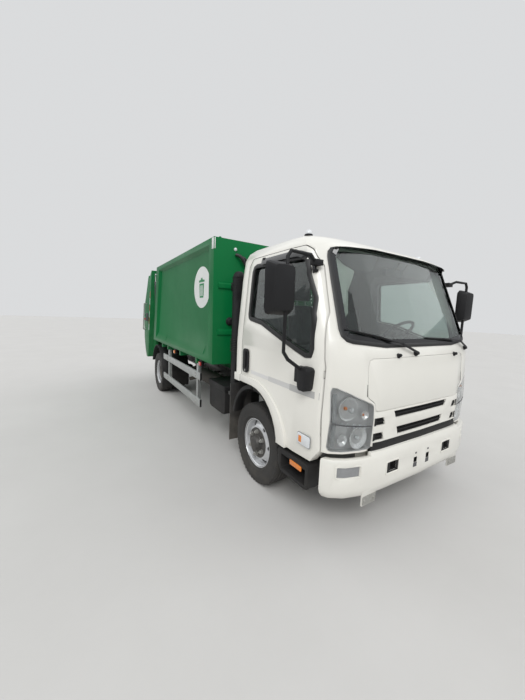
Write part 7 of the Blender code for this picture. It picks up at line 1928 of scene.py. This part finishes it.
    def dials(self) -> None:
        """Builds the cowl with its dials, the vents and the centre panel on the dashboard."""
        cowl, rings, faces, needles = Maker(), Maker(), Maker(), Maker()
        dash = Skin("dashboard")
        arch = [(0.150 * math.cos(math.pi * step / 14),
                 0.070 * math.sin(math.pi * step / 14)) for step in range(15)]
        outline = [*arch, (-0.150, -0.030), (0.150, -0.030)]
        cowl.slab([at(0.48 + a, -0.790, 1.360 + b) for a, b in outline], Vector((0, 0.105, 0)))
        cowl.piece("dial_cowl", "cab", MOULDED_GREY, bevel=0.006)
        for across in (0.415, 0.545):
            centre = at(across, -0.684, 1.375)
            rings.turned([(0, 0.046), (0.006, 0.046), (0.006, 0.042), (0.001, 0.042)], centre,
                         BACKWARDS, 32)
            faces.turned([(0.0005, 0.0415), (0.002, 0.0415)], centre, BACKWARDS, 32)
            needles.slab([centre + Vector((a, 0.003, b)) for a,
                          b in ((-0.002, -0.008), (0.002, -0.008), (0.026, 0.024), (0.024, 0.026))],
                          Vector((0, 0.001, 0)))
        rings.piece("dial_rings", "cab", CHROME_ROD)
        faces.piece("dial_faces", "cab", SLOT_BLACK)
        needles.piece("dial_needles", "cab", RED)
        vents, slats = Maker(), []
        for across in (-0.72, -0.16, 0.16, 0.76):
            place = dash.hit(at(across, 1.0, 1.290), FORWARDS).place
            vents.slab([place + Vector((a, 0, b)) for a, b in rounded_outline(0.060, 0.030, 0.008)],
                       Vector((0, 0.008, 0)))
            slats += [(place + Vector((0, 0.009, shift)), BACKWARDS) for shift in (-0.018,
                    -0.006, 0.006, 0.018)]
        vents.piece("dashboard_vents", "cab", MOULDED_BLACK, bevel=0.003)
        slat = Maker()
        slat.box((-0.050, -0.001, 0.0), (0.050, 0.001, 0.004))
        REPEAT.on_spots("dashboard_vent_slats", "cab", MOULDED_GREY, slat, slats)
        panel = Maker()
        place = dash.hit(at(0.0, 1.0, 1.20), FORWARDS).place
        panel.slab([place + Vector((a, 0, b)) for a, b in rounded_outline(0.095, 0.055, 0.010)],
                   Vector((0, 0.006, 0)))
        panel.piece("dashboard_centre_panel", "cab", MOULDED_BLACK, bevel=0.003)
        knob = Maker()
        knob.turned([(0, 0.014), (0.012, 0.013), (0.015, 0.010)], Vector(), UPWARDS, 20)
        REPEAT.on_spots("dashboard_knobs", "cab", MOULDED_GREY, knob,
                        [(place + Vector((shift, 0.006, 0.0)), BACKWARDS) for shift in (-0.06,
                                -0.02, 0.02, 0.06)])

    def levers(self) -> None:
        """Builds the gear lever with its gaiter, and the two stalks."""
        gaiter, lever, knob, stalks = Maker(), Maker(), Maker(), Maker()
        floor = Skin("cab_shell").hit(at(0.15, -0.42, 1.5), DOWNWARDS).place
        folds = []
        for step in range(9):
            share = step / 8
            folds.append((0.085 * share, 0.062 * (1 - share) + 0.018 + (0.006 if step % 2 else 0.0)))
        gaiter.turned([(-0.003, 0.085), *folds], floor, UPWARDS, 28)
        top = floor + Vector((0, 0.03, 0.33))
        lever.tube(smoothed([floor + Vector((0, 0, 0.06)), floor + Vector((0, 0.0, 0.20)), top]), 0.008)
        knob.turned([(-0.012, 0.012), (0.0, 0.021), (0.022, 0.026), (0.038, 0.021), (0.046, 0.006)],
                    top, Vector((0, 0.2, 1)), 20)
        for side in SIDES:
            root = at(0.48, -0.560, 1.420)
            stalks.tube(smoothed([root, root + Vector((side * 0.10, 0.02, 0.01)),
                                  root + Vector((side * 0.19, 0.035, 0.03))]), 0.0075)
        gaiter.piece("gear_gaiter", "cab", SEAL_RUBBER)
        lever.piece("gear_lever", "cab", CHROME_ROD)
        knob.piece("gear_knob", "cab", MOULDED_BLACK, smooth=60)
        stalks.piece("steering_stalks", "cab", MOULDED_BLACK)

    def overhead(self) -> None:
        """Hangs the sun visors and the inner mirror behind the windscreen's top."""
        glass = Skin("windscreen")
        for side in SIDES:
            edge = glass.front(side * 0.42, 2.13).place
            board = Maker()
            outline = rounded_outline(0.210, 0.058, 0.018)
            board.slab([edge + Vector((a, 0.085 - b * 0.55, b - 0.035)) for a, b in outline],
                       Vector((0, 0.014, 0.004)))
            board.piece(f"sun_visor_{SIDE_NAMES[side]}", "cab", MOULDED_GREY, bevel=0.004)
        edge = glass.front(0.0, 2.10).place
        mirror = Maker()
        mirror.slab([edge + Vector((a, 0.060, b - 0.055)) for a,
                     b in rounded_outline(0.115, 0.032, 0.012)], Vector((0, 0.018, 0)))
        mirror.tube([edge + Vector((0, 0.012, 0.03)), edge + Vector((0, 0.062, -0.04))], 0.006)
        mirror.piece("inner_mirror", "cab", MOULDED_BLACK, bevel=0.002)

    def lining(self) -> None:
        """Gives the cab's inner faces the grey of their trim."""
        for node in ("cab_shell", "door_right", "door_left"):
            thing = bpy.data.objects[f"dressed_{node}"]
            thing.data.materials.append(PAINT.material(MOULDED_GREY))
            for polygon in thing.data.polygons:
                middle = at(0.0, -0.25, 1.55)
                way = (middle - polygon.center).normalized()
                inside = abs(polygon.center.x) < 0.962 and polygon.center.z > 0.99
                if inside and polygon.normal.dot(way) > 0.22:
                    polygon.material_index = 1

    def dress(self) -> None:
        """Builds the inside of the cab."""
        self.seat("driver_seat", ((0.222, 0.738),), ((0.36, 0.60),))
        low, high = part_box("passenger_bench")
        split = low.x + (high.x - low.x) * 0.5
        places = ((low.x, split - 0.002), (split + 0.002, high.x))
        self.seat("passenger_bench", places, [(left + 0.14, right - 0.14) for left, right in places])
        self.dials()
        self.levers()
        self.overhead()
        self.lining()


@dataclass
class Chassis:
    """Frame bolts, U-bolts, tank straps and cap, brake chambers, pipes and guard ends.

    Attributes:
        bolt_step: Spacing of the bolts along the frame rails.
        bolt_heights: Heights of the two rows.
        spring: Place of a spring across the truck.
    """

    bolt_step: float = 0.155
    bolt_heights: tuple[float, ...] = (0.640, 0.762)
    spring: float = 0.365

    def rows(self) -> None:
        """Sets the bolts along both frame rails."""
        skin = Skin("chassis_frame")
        spots = []
        for side in SIDES:
            for up in self.bolt_heights:
                for step in range(33):
                    along = -0.78 + self.bolt_step * step
                    if abs(along - 0.505) < 0.05:
                        continue
                    spot = skin.side(side, along, up)
                    if abs(spot.place.x) < RAIL_CLEAR:
                        spots.append((spot.place, Vector((side, 0, 0))))
        REPEAT.on_spots("frame_bolts", "chassis", FRAME_BLACK, hexagon_bolt(0.019, 0.012), spots)

    def clamps(self) -> None:
        """Bends the U-bolts over the four leaf springs, with their nuts."""
        clamps = Maker()
        nuts = []
        for axle, node in ((0.0, "front_axle_beam"), (WHEELBASE, "rear_axle")):
            skin = Skin(node)
            for side in SIDES:
                top = skin.top(side * self.spring, axle).place.z
                for shift in (-0.042, 0.042):
                    legs = [at(side * self.spring + across, axle + shift, up) for across,
                            up in ((-0.043, top - 0.20), (-0.043, top - 0.02), (-0.030, top + 0.009),
                                   (0.030, top + 0.009), (0.043, top - 0.02), (0.043, top - 0.20))]
                    clamps.tube(legs, 0.008, sides=10)
                    nuts += [(leg + Vector((0, 0, 0.012)), DOWNWARDS) for leg in (legs[0],
                            legs[-1])]
        clamps.piece("spring_clamps", "chassis", CASTING)
        REPEAT.on_spots("spring_clamp_nuts", "chassis", ZINC, hexagon_bolt(0.024, 0.016), nuts)

    def tank(self) -> None:
        """Straps the fuel tank and caps it."""
        low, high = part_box("fuel_tank")
        side = 1 if low.x + high.x > 0 else -1
        inner, outer = sorted((abs(low.x), abs(high.x)))
        inner = max(inner, RAIL_CLEAR)
        straps = Maker()
        middle = Vector((side * (inner + outer) / 2, 0, (low.z + high.z) / 2))
        loop = rounded_outline((outer - inner) / 2, (high.z - low.z) / 2, 0.060, 6)
        for share in (0.24, 0.76):
            along = low.y + (high.y - low.y) * share
            places = [middle + Vector((a, along, b)) for a, b in loop]
            outs = []
            for a, b in loop:
                reach_a, reach_b = (outer - inner) / 2 - 0.060, (high.z - low.z) / 2 - 0.060
                out = Vector((a - max(-reach_a, min(reach_a, a)), 0, b - max(-reach_b, min(reach_b, b))))
                outs.append(out.normalized())
            straps.strip([place - out * 0.002 for place, out in zip(places, outs)], outs, 0.038, 0.0055,
                         around=True)
        straps.piece("tank_straps", "chassis", ZINC, bevel=0.001)
        cap = Maker()
        centre = Vector((side * (outer - 0.10), low.y + 0.10, high.z))
        cap.turned([(-0.010, 0.036), (0.012, 0.036), (0.013, 0.044), (0.034, 0.044), (0.038, 0.038)],
                   centre, UPWARDS, 28)
        cap.piece("tank_cap", "chassis", MOULDED_BLACK, bevel=0.002)
        box_low, box_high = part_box("battery_box")
        lid = Maker()
        lid.box((box_low.x - 0.004, box_low.y - 0.004, box_high.z - 0.030),
                (box_high.x + 0.004, box_high.y + 0.004, box_high.z + 0.006))
        lid.piece("battery_lid", "chassis", MOULDED_BLACK, bevel=0.006)

    def brakes(self) -> None:
        """Sets the brake chambers on the rear axle and runs the brake pipes along the rails."""
        cans, pipes = Maker(), Maker()
        for side in SIDES:
            centre = at(side * 0.22, WHEELBASE - 0.20, 0.500)
            cans.turned([(-0.060, 0.030), (-0.055, 0.066), (-0.006, 0.070), (-0.004, 0.078),
                         (0.004, 0.078), (0.006, 0.070), (0.050, 0.064), (0.060, 0.020)], centre,
                         FORWARDS, 28)
            pipes.tube(smoothed([centre + Vector((0, -0.055, 0)),
                                 centre + Vector((side * 0.02, -0.14, 0.10)),
                                 centre + Vector((side * 0.06, -0.30, 0.16))]), 0.008)
            rail = [at(side * 0.330, along, 0.700 + 0.006 * math.sin(along * 9)) for along in (0.95,
                    1.25, 1.6, 2.0, 2.4, 2.8, 3.2, 3.5)]
            pipes.tube(rail, 0.010)
        cans.piece("brake_chambers", "chassis", CASTING)
        pipes.piece("brake_pipes", "chassis", SEAL_RUBBER)

    def guards(self) -> None:
        """Caps the side guards' ends and bolts their rails to the posts."""
        caps = Maker()
        spots = []
        for side in SIDES:
            for low in (0.390, 0.752):
                for along, shift in ((1.275, -0.004), (3.290, 0.0)):
                    inner, outer = sorted((side * 1.0195, side * 1.0455))
                    caps.box((inner, along + shift + FRONT_AXLE_Y, low - 0.0005),
                             (outer, along + shift + 0.004 + FRONT_AXLE_Y, low + 0.1005))
                for along in (1.452, 2.987):
                    spots += [(at(side * 1.045, along, low + up),
                               Vector((side, 0, 0))) for up in (0.028, 0.072)]
        caps.piece("guard_end_caps", "chassis", MOULDED_BLACK)
        REPEAT.on_spots("guard_bolts", "chassis", ZINC, hexagon_bolt(0.016, 0.009), spots)

    def dress(self) -> None:
        """Builds the chassis details."""
        self.rows()
        self.clamps()
        self.tank()
        self.brakes()
        self.guards()


@dataclass
class RefuseBody:
    """Discs with a plain litter bin sign, gussets, roof ribs, lamps, hose, bellows and plugs.

    Attributes:
        disc: Middle of the disc as distance behind the front axle and height.
        disc_halves: Half its length and half its height.
        roof_ribs: Places of the roof's folded ribs behind the front axle.
    """

    disc: tuple[float, float] = (1.335, 1.965)
    disc_halves: tuple[float, float] = (0.292, 0.262)
    roof_ribs: tuple[float, ...] = (1.35, 1.95, 2.55, 3.15, 3.75)

    def flat(self, name: str, finish: Finish, side: int, outline: Sequence[tuple[float, float]],
             lift: float, depth: float) -> None:
        """Lays a flat sign on one side panel.

        Args:
            name: The piece's name.
            finish: Its finish.
            side: -1 on the right and 1 on the left.
            outline: Its outline from the disc's middle, to the rear and up.
            lift: How far its face stands out of the panel.
            depth: Its thickness.
        """
        face = abs(Skin("body_shell").side(side, self.disc[0] + 0.1, self.disc[1]).place.x)
        maker = Maker()
        points = [at(side * (face + lift - depth), self.disc[0] + a, self.disc[1] + b) for a,
                  b in outline]
        maker.slab(points, Vector((side * depth, 0, 0)))
        maker.piece(name, "chassis", finish)

    def sign(self, side: int) -> None:
        """Lays the white disc with a plain sign of a litter bin, drawn for this truck."""
        name = SIDE_NAMES[side]
        turns = [2 * math.pi * step / 72 for step in range(72)]
        across, up = self.disc_halves
        rim = [(across * math.cos(turn), up * math.sin(turn)) for turn in turns]
        self.flat(f"body_disc_{name}", DISC_WHITE, side, rim, 0.0016, 0.003)
        self.flat(f"body_sign_bin_{name}", MARK_GREEN, side,
                  [(-0.066, -0.130), (0.066, -0.130), (0.084, 0.050), (-0.084, 0.050)], 0.0028, 0.003)
        self.flat(f"body_sign_lid_{name}", MARK_GREEN, side,
                  [(-0.100, 0.068), (0.100, 0.068), (0.100, 0.092), (0.030, 0.100), (0.026, 0.122),
                   (-0.026, 0.122), (-0.030, 0.100), (-0.100, 0.092)], 0.0028, 0.003)
        for index, shift in enumerate((-0.038, 0.0, 0.038)):
            foot = shift * 0.82
            self.flat(f"body_sign_rib_{index}_{name}", DISC_WHITE, side,
                      [(foot - 0.007, -0.108), (foot + 0.007, -0.108), (shift + 0.007, 0.026),
                       (shift - 0.007, 0.026)], 0.0040, 0.003)

    def frames(self) -> None:
        """Adds gussets on the ledges, roof ribs, lifting eyes, and white patches of painted highlight on the
        body's top front corners.
        """
        gussets, ribs, eyes, highlight_patches = Maker(), Maker(), Maker(), Maker()
        body = Skin("body_shell")
        for side in SIDES:
            for along in (1.16, 3.10):
                foot = body.side(side, along, 1.115).place
                head = body.side(side, along, 1.235).place
                outline = [Vector((side * (abs(foot.x) - 0.002), foot.y, foot.z)),
                           Vector((side * (abs(head.x) + 0.040), head.y, 1.128)),
                           Vector((side * (abs(head.x) - 0.002), head.y, head.z))]
                gussets.slab(outline, Vector((0, 0.008, 0)))
            for along in (1.00, 3.80):
                arc = [(0.050 * math.cos(math.pi * step / 10),
                        0.050 * math.sin(math.pi * step / 10)) for step in range(11)]
                eyes.tube([at(side * 0.92, along + a, 2.492 + b) for a, b in arc], 0.009)
            # White patches of painted highlight where the light catches each top front corner, on its side
            # face and its front face.
            highlight_patches.slab([at(side * 1.0565, 0.843 + a, 2.452 + b) for a,
                          b in ((0, -0.085), (0.056, -0.085), (0.056, 0.036), (0, 0.036))],
                          Vector((side * 0.003, 0, 0)))
            highlight_patches.slab([at(side * (1.052 - a), 0.8365, 2.452 + b) for a,
                          b in ((0, -0.085), (0.012, -0.085), (0.012, 0.036), (0, 0.036))],
                          Vector((0, -0.003, 0)))
        for along in self.roof_ribs:
            section = [(-0.045, -0.003), (0.045, -0.003), (0.028, 0.016), (-0.028, 0.016)]
            ribs.slab([at(-0.98, along + a, 2.495 + b) for a, b in section], Vector((1.96, 0, 0)))
        for up in (1.42, 1.96):
            section = [(-0.040, 0.003), (0.040, 0.003), (0.026, -0.018), (-0.026, -0.018)]
            ribs.slab([at(-1.0, 0.835 + b, up + a) for a, b in section], Vector((2.0, 0, 0)))
        gussets.piece("ledge_gussets", "chassis", BODY_GREEN, bevel=0.001)
        ribs.piece("body_ribs", "chassis", BODY_GREEN, bevel=0.003)
        eyes.piece("lifting_eyes", "chassis", BODY_GREEN)
        highlight_patches.piece("corner_markers", "chassis", DISC_WHITE, bevel=0.0006)

    def fittings(self) -> None:
        """Adds the front wall's lamp, hose, valve bodies and plugs, and the side lamps."""
        lamp, hose, plugs = Maker(), Maker(), Maker()
        lamp.turned(dome(0.020, 0.016), at(-0.79, FRONT_WALL, 2.39), FORWARDS, 24)
        path = smoothed([at(-0.790, 0.822, 2.330), at(-0.730, 0.780, 2.290), at(-0.640, 0.775, 2.130),
                         at(-0.560, 0.775, 1.800), at(-0.540, 0.778, 1.450), at(-0.530, 0.790, 1.130),
                         at(-0.450, 0.860, 0.960)], 8)
        hose.tube(path, 0.019, sides=14)
        hose.tube([point + Vector((0.055, 0.004, -0.012)) for point in path[4:]], 0.013)
        for across, up in ((-0.806, 1.96), (-0.845, 1.55)):
            plugs.turned([(-0.004, 0.050), (0.012, 0.050), (0.016, 0.040), (0.040, 0.036),
                          (0.046, 0.028)], at(across, FRONT_WALL, up), FORWARDS, 24)
        lamp.piece("front_wall_lamp", "chassis", LENS_WHITE, smooth=60)
        hose.piece("front_wall_hoses", "chassis", SEAL_RUBBER, smooth=50)
        plugs.piece("front_wall_plugs", "chassis", MOULDED_BLACK, bevel=0.001)
        clamp = Maker()
        clamp.box((-0.060, -0.014, 0.0), (0.060, 0.014, 0.062))
        clamps = [(at(-0.528, 0.838, up), FORWARDS) for up in (1.25, 1.72)]
        REPEAT.on_spots("hose_clamps", "chassis", ZINC, clamp, clamps)
        brackets, lenses, reds = Maker(), Maker(), Maker()
        for side in SIDES:
            for along, target in ((1.337, reds), (2.600, lenses)):
                inner, outer = sorted((side * 0.985, side * 1.020))
                brackets.box((inner, along - 0.045 + FRONT_AXLE_Y, 0.930),
                             (outer, along + 0.045 + FRONT_AXLE_Y, 1.041))
                target.slab([at(side * 1.019, along + a, 0.968 + b) for a,
                             b in rounded_outline(0.036, 0.024, 0.008)], Vector((side * 0.018, 0, 0)))
        brackets.piece("side_lamp_brackets", "chassis", MOULDED_BLACK, bevel=0.002)
        lenses.piece("side_lamps_amber", "chassis", AMBER, bevel=0.004)
        reds.piece("side_lamps_red", "chassis", RED, bevel=0.004)

    def intake(self) -> None:
        """Folds the bellows of the air intake and slats its head."""
        low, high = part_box("air_intake")
        side = -1 if low.x + high.x < 0 else 1
        middle = at(side * 0.8645, 0.5825, 0.0)
        fold = Maker()
        fold.slab([Vector((a, b, 0)) for a, b in rounded_outline(0.0600, 0.070, 0.016, 3)],
                  Vector((0, 0, 0.008)))
        spots = [(middle + Vector((0, 0, 1.22 + 0.019 * step)), UPWARDS) for step in range(8)]
        REPEAT.on_spots("intake_bellows", "chassis", SEAL_RUBBER, fold, spots)
        slat = Maker()
        slat.slab([Vector((a, b, 0)) for a, b in rounded_outline(0.0555, 0.0655, 0.012, 3)],
                  Vector((0, 0, 0.006)))
        spots = [(middle + Vector((0, 0, 1.80 + 0.026 * step)), UPWARDS) for step in range(10)]
        REPEAT.on_spots("intake_slats", "chassis", MOULDED_BLACK, slat, spots)

    def dress(self) -> None:
        """Builds the body's details."""
        for side in SIDES:
            self.sign(side)
        self.frames()
        self.fittings()
        self.intake()


@dataclass
class Tailgate:
    """Rear lamps, marker strips, blank plate, grab bars, ribs, control box, hoses and covers.

    Attributes:
        lamp: Middle of a lamp cluster across the truck and its height.
        lamp_spacing: Distance between the cluster's lenses.
        strip_height: Height of the marker strips.
    """

    lamp: tuple[float, float] = (0.905, 0.880)
    lamp_spacing: float = 0.082
    strip_height: float = 1.060

    def __post_init__(self) -> None:
        """Prepares the surface that the details sit on."""
        self.skin = Skin("tailgate")

    def lamps(self) -> None:
        """Builds both lamp clusters: housing and red, amber and white lenses."""
        housing = Maker()
        sets: dict[str, tuple[Finish, list[tuple[Vector, Vector]]]] = {"red": (RED, []),
                "amber": (AMBER, []), "white": (LENS_WHITE, [])}
        for side in SIDES:
            middle = self.skin.rear(side * self.lamp[0], self.lamp[1])
            tilt = Vector((0, middle.out.y, middle.out.z)).normalized()
            across = LEFTWARDS
            up = tilt.cross(across)
            up = up if up.z > 0 else -up
            outline = rounded_outline(0.130, 0.045, 0.014)
            housing.slab([middle.place + across * a + up * b - tilt * 0.004 for a, b in outline],
                         tilt * 0.034)
            for index, (_, spots) in enumerate(sets.values()):
                aside = across * side * (0.082 - self.lamp_spacing * index)
                spots.append((middle.place + aside + tilt * 0.030, tilt))
        housing.piece("tail_lamp_housings", "tailgate", MOULDED_BLACK, bevel=0.004)
        for colour, (finish, spots) in sets.items():
            lens = Maker()
            lens.turned([(-0.002, 0.036), (0.008, 0.036), (0.014, 0.031), (0.017, 0.018),
                         (0.018, 0.002)], Vector(), UPWARDS, 28)
            REPEAT.on_spots(f"tail_lamps_{colour}", "tailgate", finish, lens, spots)

    def strips(self) -> None:
        """Sets red and white marker strips under the hopper's mouth and on the cheeks."""
        groups: dict[str, tuple[Finish, Maker]] = {"red": (RED, Maker()), "white": (LENS_WHITE, Maker())}
        for step in range(8):
            finish, maker = groups["red" if step % 2 else "white"]
            left = -0.40 + 0.10 * step
            spots = [self.skin.rear(left + 0.002 + 0.096 * part / 2,
                                    self.strip_height) for part in range(3)]
            maker.strip([spot.place - spot.out * 0.001 for spot in spots], [spot.out for spot in spots],
                        0.045, 0.003)
        for side in SIDES:
            for step in range(6):
                finish, maker = groups["red" if step % 2 else "white"]
                heights = [1.22 + 0.14 * step + 0.134 * part / 2 for part in range(3)]
                spots = [self.skin.side(side, 4.225 + (2.49 - height) * 0.243,
                                        height) for height in heights]
                maker.strip([spot.place - spot.out * 0.001 for spot in spots],
                            [spot.out for spot in spots], 0.045, 0.003)
        for colour, (finish, maker) in groups.items():
            maker.piece(f"marker_strips_{colour}", "tailgate", finish)

    def bars(self) -> None:
        """Fits the grab bars and ribs."""
        bars, ribs = Maker(), Maker()
        for side in SIDES:
            low = self.skin.side(side, 4.84, 1.22)
            high = self.skin.side(side, 4.70, 1.80)
            out = Vector((side, 0, 0))
            bars.tube(smoothed([low.place, low.place + out * 0.055,
                                low.place + out * 0.060 + Vector((0, -0.012, 0.05)),
                                high.place + out * 0.060 + Vector((0, 0.012, -0.05)),
                                high.place + out * 0.055, high.place], 4), 0.0125)
            for across in (0.30, 0.62):
                spots = [self.skin.rear(side * across, 1.93 + 0.5 * step / 5) for step in range(6)]
                ribs.strip([spot.place - spot.out * 0.002 for spot in spots],
                           [spot.out for spot in spots], 0.045, 0.020)
        bars.piece("grab_bars", "tailgate", ZINC, smooth=50)
        ribs.piece("tailgate_ribs", "tailgate", HOPPER_GREEN, bevel=0.002)

    def plate(self) -> None:
        """Hangs the blank number plate on the sill."""
        spot = self.skin.rear(0.0, 0.70)
        tilt = Vector((0, spot.out.y, spot.out.z)).normalized()
        up = tilt.cross(LEFTWARDS)
        up = up if up.z > 0 else -up
        plate = Maker()
        plate.slab([spot.place + LEFTWARDS * a + up * b - tilt * 0.002 for a,
                    b in rounded_outline(0.220, 0.062, 0.010)], tilt * 0.006)
        plate.piece("rear_plate", "tailgate", DISC_WHITE, bevel=0.001)

    def controls(self) -> None:
        """Fits the control box with its buttons on the right cheek."""
        side = -1
        spot = self.skin.side(side, 4.62, 1.50)
        box = Maker()
        box.slab([spot.place + Vector((0.004, a, b)) for a, b in rounded_outline(0.055, 0.085, 0.010)],
                 Vector((-0.052, 0, 0)))
        box.piece("control_box", "tailgate", MOULDED_GREY, bevel=0.003)
        button = Maker()
        button.turned([(0, 0.013), (0.004, 0.013), (0.005, 0.010), (0.012, 0.010), (0.013, 0.008)],
                      Vector(), UPWARDS, 20)
        face = spot.place + Vector((-0.048, 0, 0))
        REPEAT.on_spots("control_buttons", "tailgate", MARK_GREEN, button,
                        [(face + Vector((0, a, b)), Vector((-1, 0, 0))) for a,
                         b in ((-0.022, 0.045), (0.022, 0.045), (-0.022, 0.010), (0.022, 0.010))])
        stop = Maker()
        stop.turned([(0, 0.019), (0.006, 0.019), (0.007, 0.011), (0.014, 0.011), (0.015, 0.018),
                     (0.024, 0.017), (0.027, 0.010)], face + Vector((0, 0, -0.042)), Vector((-1, 0, 0)),
                     24)
        stop.piece("control_stop", "tailgate", RED, smooth=50)

    def hoses(self) -> None:
        """Runs a short pressure hose over each side of the tailgate's top."""
        maker = Maker()
        for side in SIDES:
            top = self.skin.top(side * 0.70, 4.35).place
            path = smoothed([top + Vector((0, -0.20, 0.030)), top + Vector((side * 0.02, -0.08, 0.034)),
                             top + Vector((0, 0.06, -0.004)), top + Vector((side * 0.01, 0.16, -0.09))],
                             8)
            maker.tube(path, 0.010)
        maker.piece("tailgate_hoses", "tailgate", SEAL_RUBBER, smooth=50)

    def covers(self) -> None:
        """Closes the channel between the roof plate and each cheek with a sloped plate."""
        sections = ((4.20, 2.486, 2.458), (4.28, 2.486, 2.411), (4.36, 2.486, 2.364),
                    (4.43, 2.486, 2.323), (4.48, 2.440, 2.330))
        maker = Maker()
        for side in SIDES:
            rings = []
            for along, inner, outer in sections:
                rings.append([at(side * 0.885, along, inner + 0.002),
                              at(side * 1.077, along, outer + 0.003),
                              at(side * 1.077, along, outer - 0.004),
                              at(side * 0.885, along, inner - 0.005)])
            maker.rings(rings)
        maker.piece("gate_corner_covers", "tailgate", BODY_GREEN)

    def dress(self) -> None:
        """Builds the tailgate's details."""
        self.lamps()
        self.strips()
        self.bars()
        self.plate()
        self.controls()
        self.hoses()
        self.covers()


@dataclass
class Studio:
    """The floor, backdrop light, lamps and the photograph's camera.

    Attributes:
        eye: The camera's place from the front axle.
        yaw: Its turn to the driver's side of straight back, in degrees.
        pitch: Its tilt upwards in degrees.
        roll: Its turn about its own axis in degrees.
        focal: Focal length in millimetres for a sensor of the frame's width.
        sensor: Width of the sensor in millimetres.
    """

    eye: Place = (-2.334, -2.307, 1.638)
    yaw: float = 32.08
    pitch: float = -6.87
    roll: float = 2.18
    focal: float = 19.735
    sensor: float = 36.0

    def camera(self) -> None:
        """Places the camera as the photograph's was."""
        yaw, pitch, roll = (math.radians(angle) for angle in (self.yaw, self.pitch, self.roll))
        ahead = Vector((math.sin(yaw) * math.cos(pitch), math.cos(yaw) * math.cos(pitch),
                        math.sin(pitch)))
        level = Vector((math.cos(yaw), -math.sin(yaw), 0))
        above = level.cross(ahead)
        right = level * math.cos(roll) + above * math.sin(roll)
        up = above * math.cos(roll) - level * math.sin(roll)
        data = bpy.data.cameras.new("photograph")
        data.sensor_fit = "HORIZONTAL"
        data.sensor_width = self.sensor
        data.lens = self.focal
        data.clip_start = 0.05
        thing = bpy.data.objects.new("photograph", data)
        turn = Matrix((right, up, -ahead)).transposed().to_4x4()
        thing.matrix_world = Matrix.Translation(at(*self.eye)) @ turn
        bpy.context.scene.collection.objects.link(thing)
        bpy.context.scene.camera = thing

    def sun(self, name: str, place: Place, softness: float, strength: float) -> None:
        """Adds one soft far lamp, which lights the whole floor evenly.

        Args:
            name: The lamp's name.
            place: Where it shines from.
            softness: Its apparent width in degrees.
            strength: Its strength.
        """
        data = bpy.data.lights.new(name, "SUN")
        data.angle = math.radians(softness)
        data.energy = strength
        thing = bpy.data.objects.new(name, data)
        way = -Vector(place)
        thing.matrix_world = Matrix.Translation(place) @ way.to_track_quat("-Z", "Y").to_matrix().to_4x4()
        bpy.context.scene.collection.objects.link(thing)

    def floor(self) -> None:
        """Lays the pale floor."""
        data = bmesh.new()
        bmesh.ops.create_grid(data, x_segments=4, y_segments=4, size=60.0)
        mesh = bpy.data.meshes.new("floor")
        data.to_mesh(mesh)
        data.free()
        thing = bpy.data.objects.new("floor", mesh)
        material = bpy.data.materials.new("pale floor")
        material.use_nodes = True
        graph = Graph(material.node_tree)
        spot = graph.add("ShaderNodeTexCoord")
        noise = graph.add("ShaderNodeTexNoise", {"Vector": spot.outputs["Object"], "Scale": 0.8,
                                                 "Detail": 8.0, "Roughness": 0.65})
        shader = material.node_tree.nodes["Principled BSDF"]
        material.node_tree.links.new(graph.blend(noise.outputs["Fac"], (0.58, 0.57, 0.55),
                                                 (0.50, 0.49, 0.47)), shader.inputs["Base Color"])
        shader.inputs["Roughness"].default_value = 0.85
        mesh.materials.append(material)
        bpy.context.scene.collection.objects.link(thing)

    def world(self) -> None:
        """Sets the soft light from all round and the pale background."""
        world = bpy.data.worlds.new("studio")
        bpy.context.scene.world = world
        world.use_nodes = True
        graph = Graph(world.node_tree)
        ray = graph.add("ShaderNodeLightPath")
        seen = graph.math("MAXIMUM", ray.outputs["Is Camera Ray"], ray.outputs["Is Transmission Ray"])
        spot = graph.add("ShaderNodeTexCoord")
        parts = graph.add("ShaderNodeSeparateXYZ", {0: spot.outputs["Generated"]})
        rise = graph.add("ShaderNodeMapRange", {0: parts.outputs["Z"], 1: -0.1, 2: 0.75})
        sky = graph.blend(rise.outputs[0], (0.15, 0.155, 0.16), (0.90, 0.92, 0.95))
        around = graph.add("ShaderNodeBackground", {0: sky, 1: 0.95})
        behind = graph.add("ShaderNodeBackground", {0: (0.80, 0.81, 0.82, 1.0), 1: 0.88})
        both = graph.add("ShaderNodeMixShader", {0: seen, 1: around.outputs[0], 2: behind.outputs[0]})
        out = world.node_tree.nodes["World Output"]
        world.node_tree.links.new(both.outputs[0], out.inputs[0])

    def dress(self) -> None:
        """Builds the studio."""
        bpy.context.scene.view_settings.view_transform = "Standard"
        self.camera()
        self.world()
        self.floor()
        self.sun("key sun", (-5.0, -6.0, 7.0), 28.0, 1.55)
        self.sun("fill sun", (6.0, -3.0, 6.0), 50.0, 0.50)
        self.sun("rear sun", (-4.0, 8.0, 5.0), 50.0, 0.35)


def main() -> None:
    """Builds the studio and every sub-assembly in order."""
    logging.basicConfig(level=logging.INFO, format="%(name)s: %(message)s")
    assemblies = (Studio(), Redress(), Wheels(), CabFront(), CabSides(), Cockpit(), Chassis(),
                  RefuseBody(), Tailgate())
    for assembly in assemblies:
        LOG.info("building %s", type(assembly).__name__)
        assembly.dress()


if __name__ == "__main__":
    main()
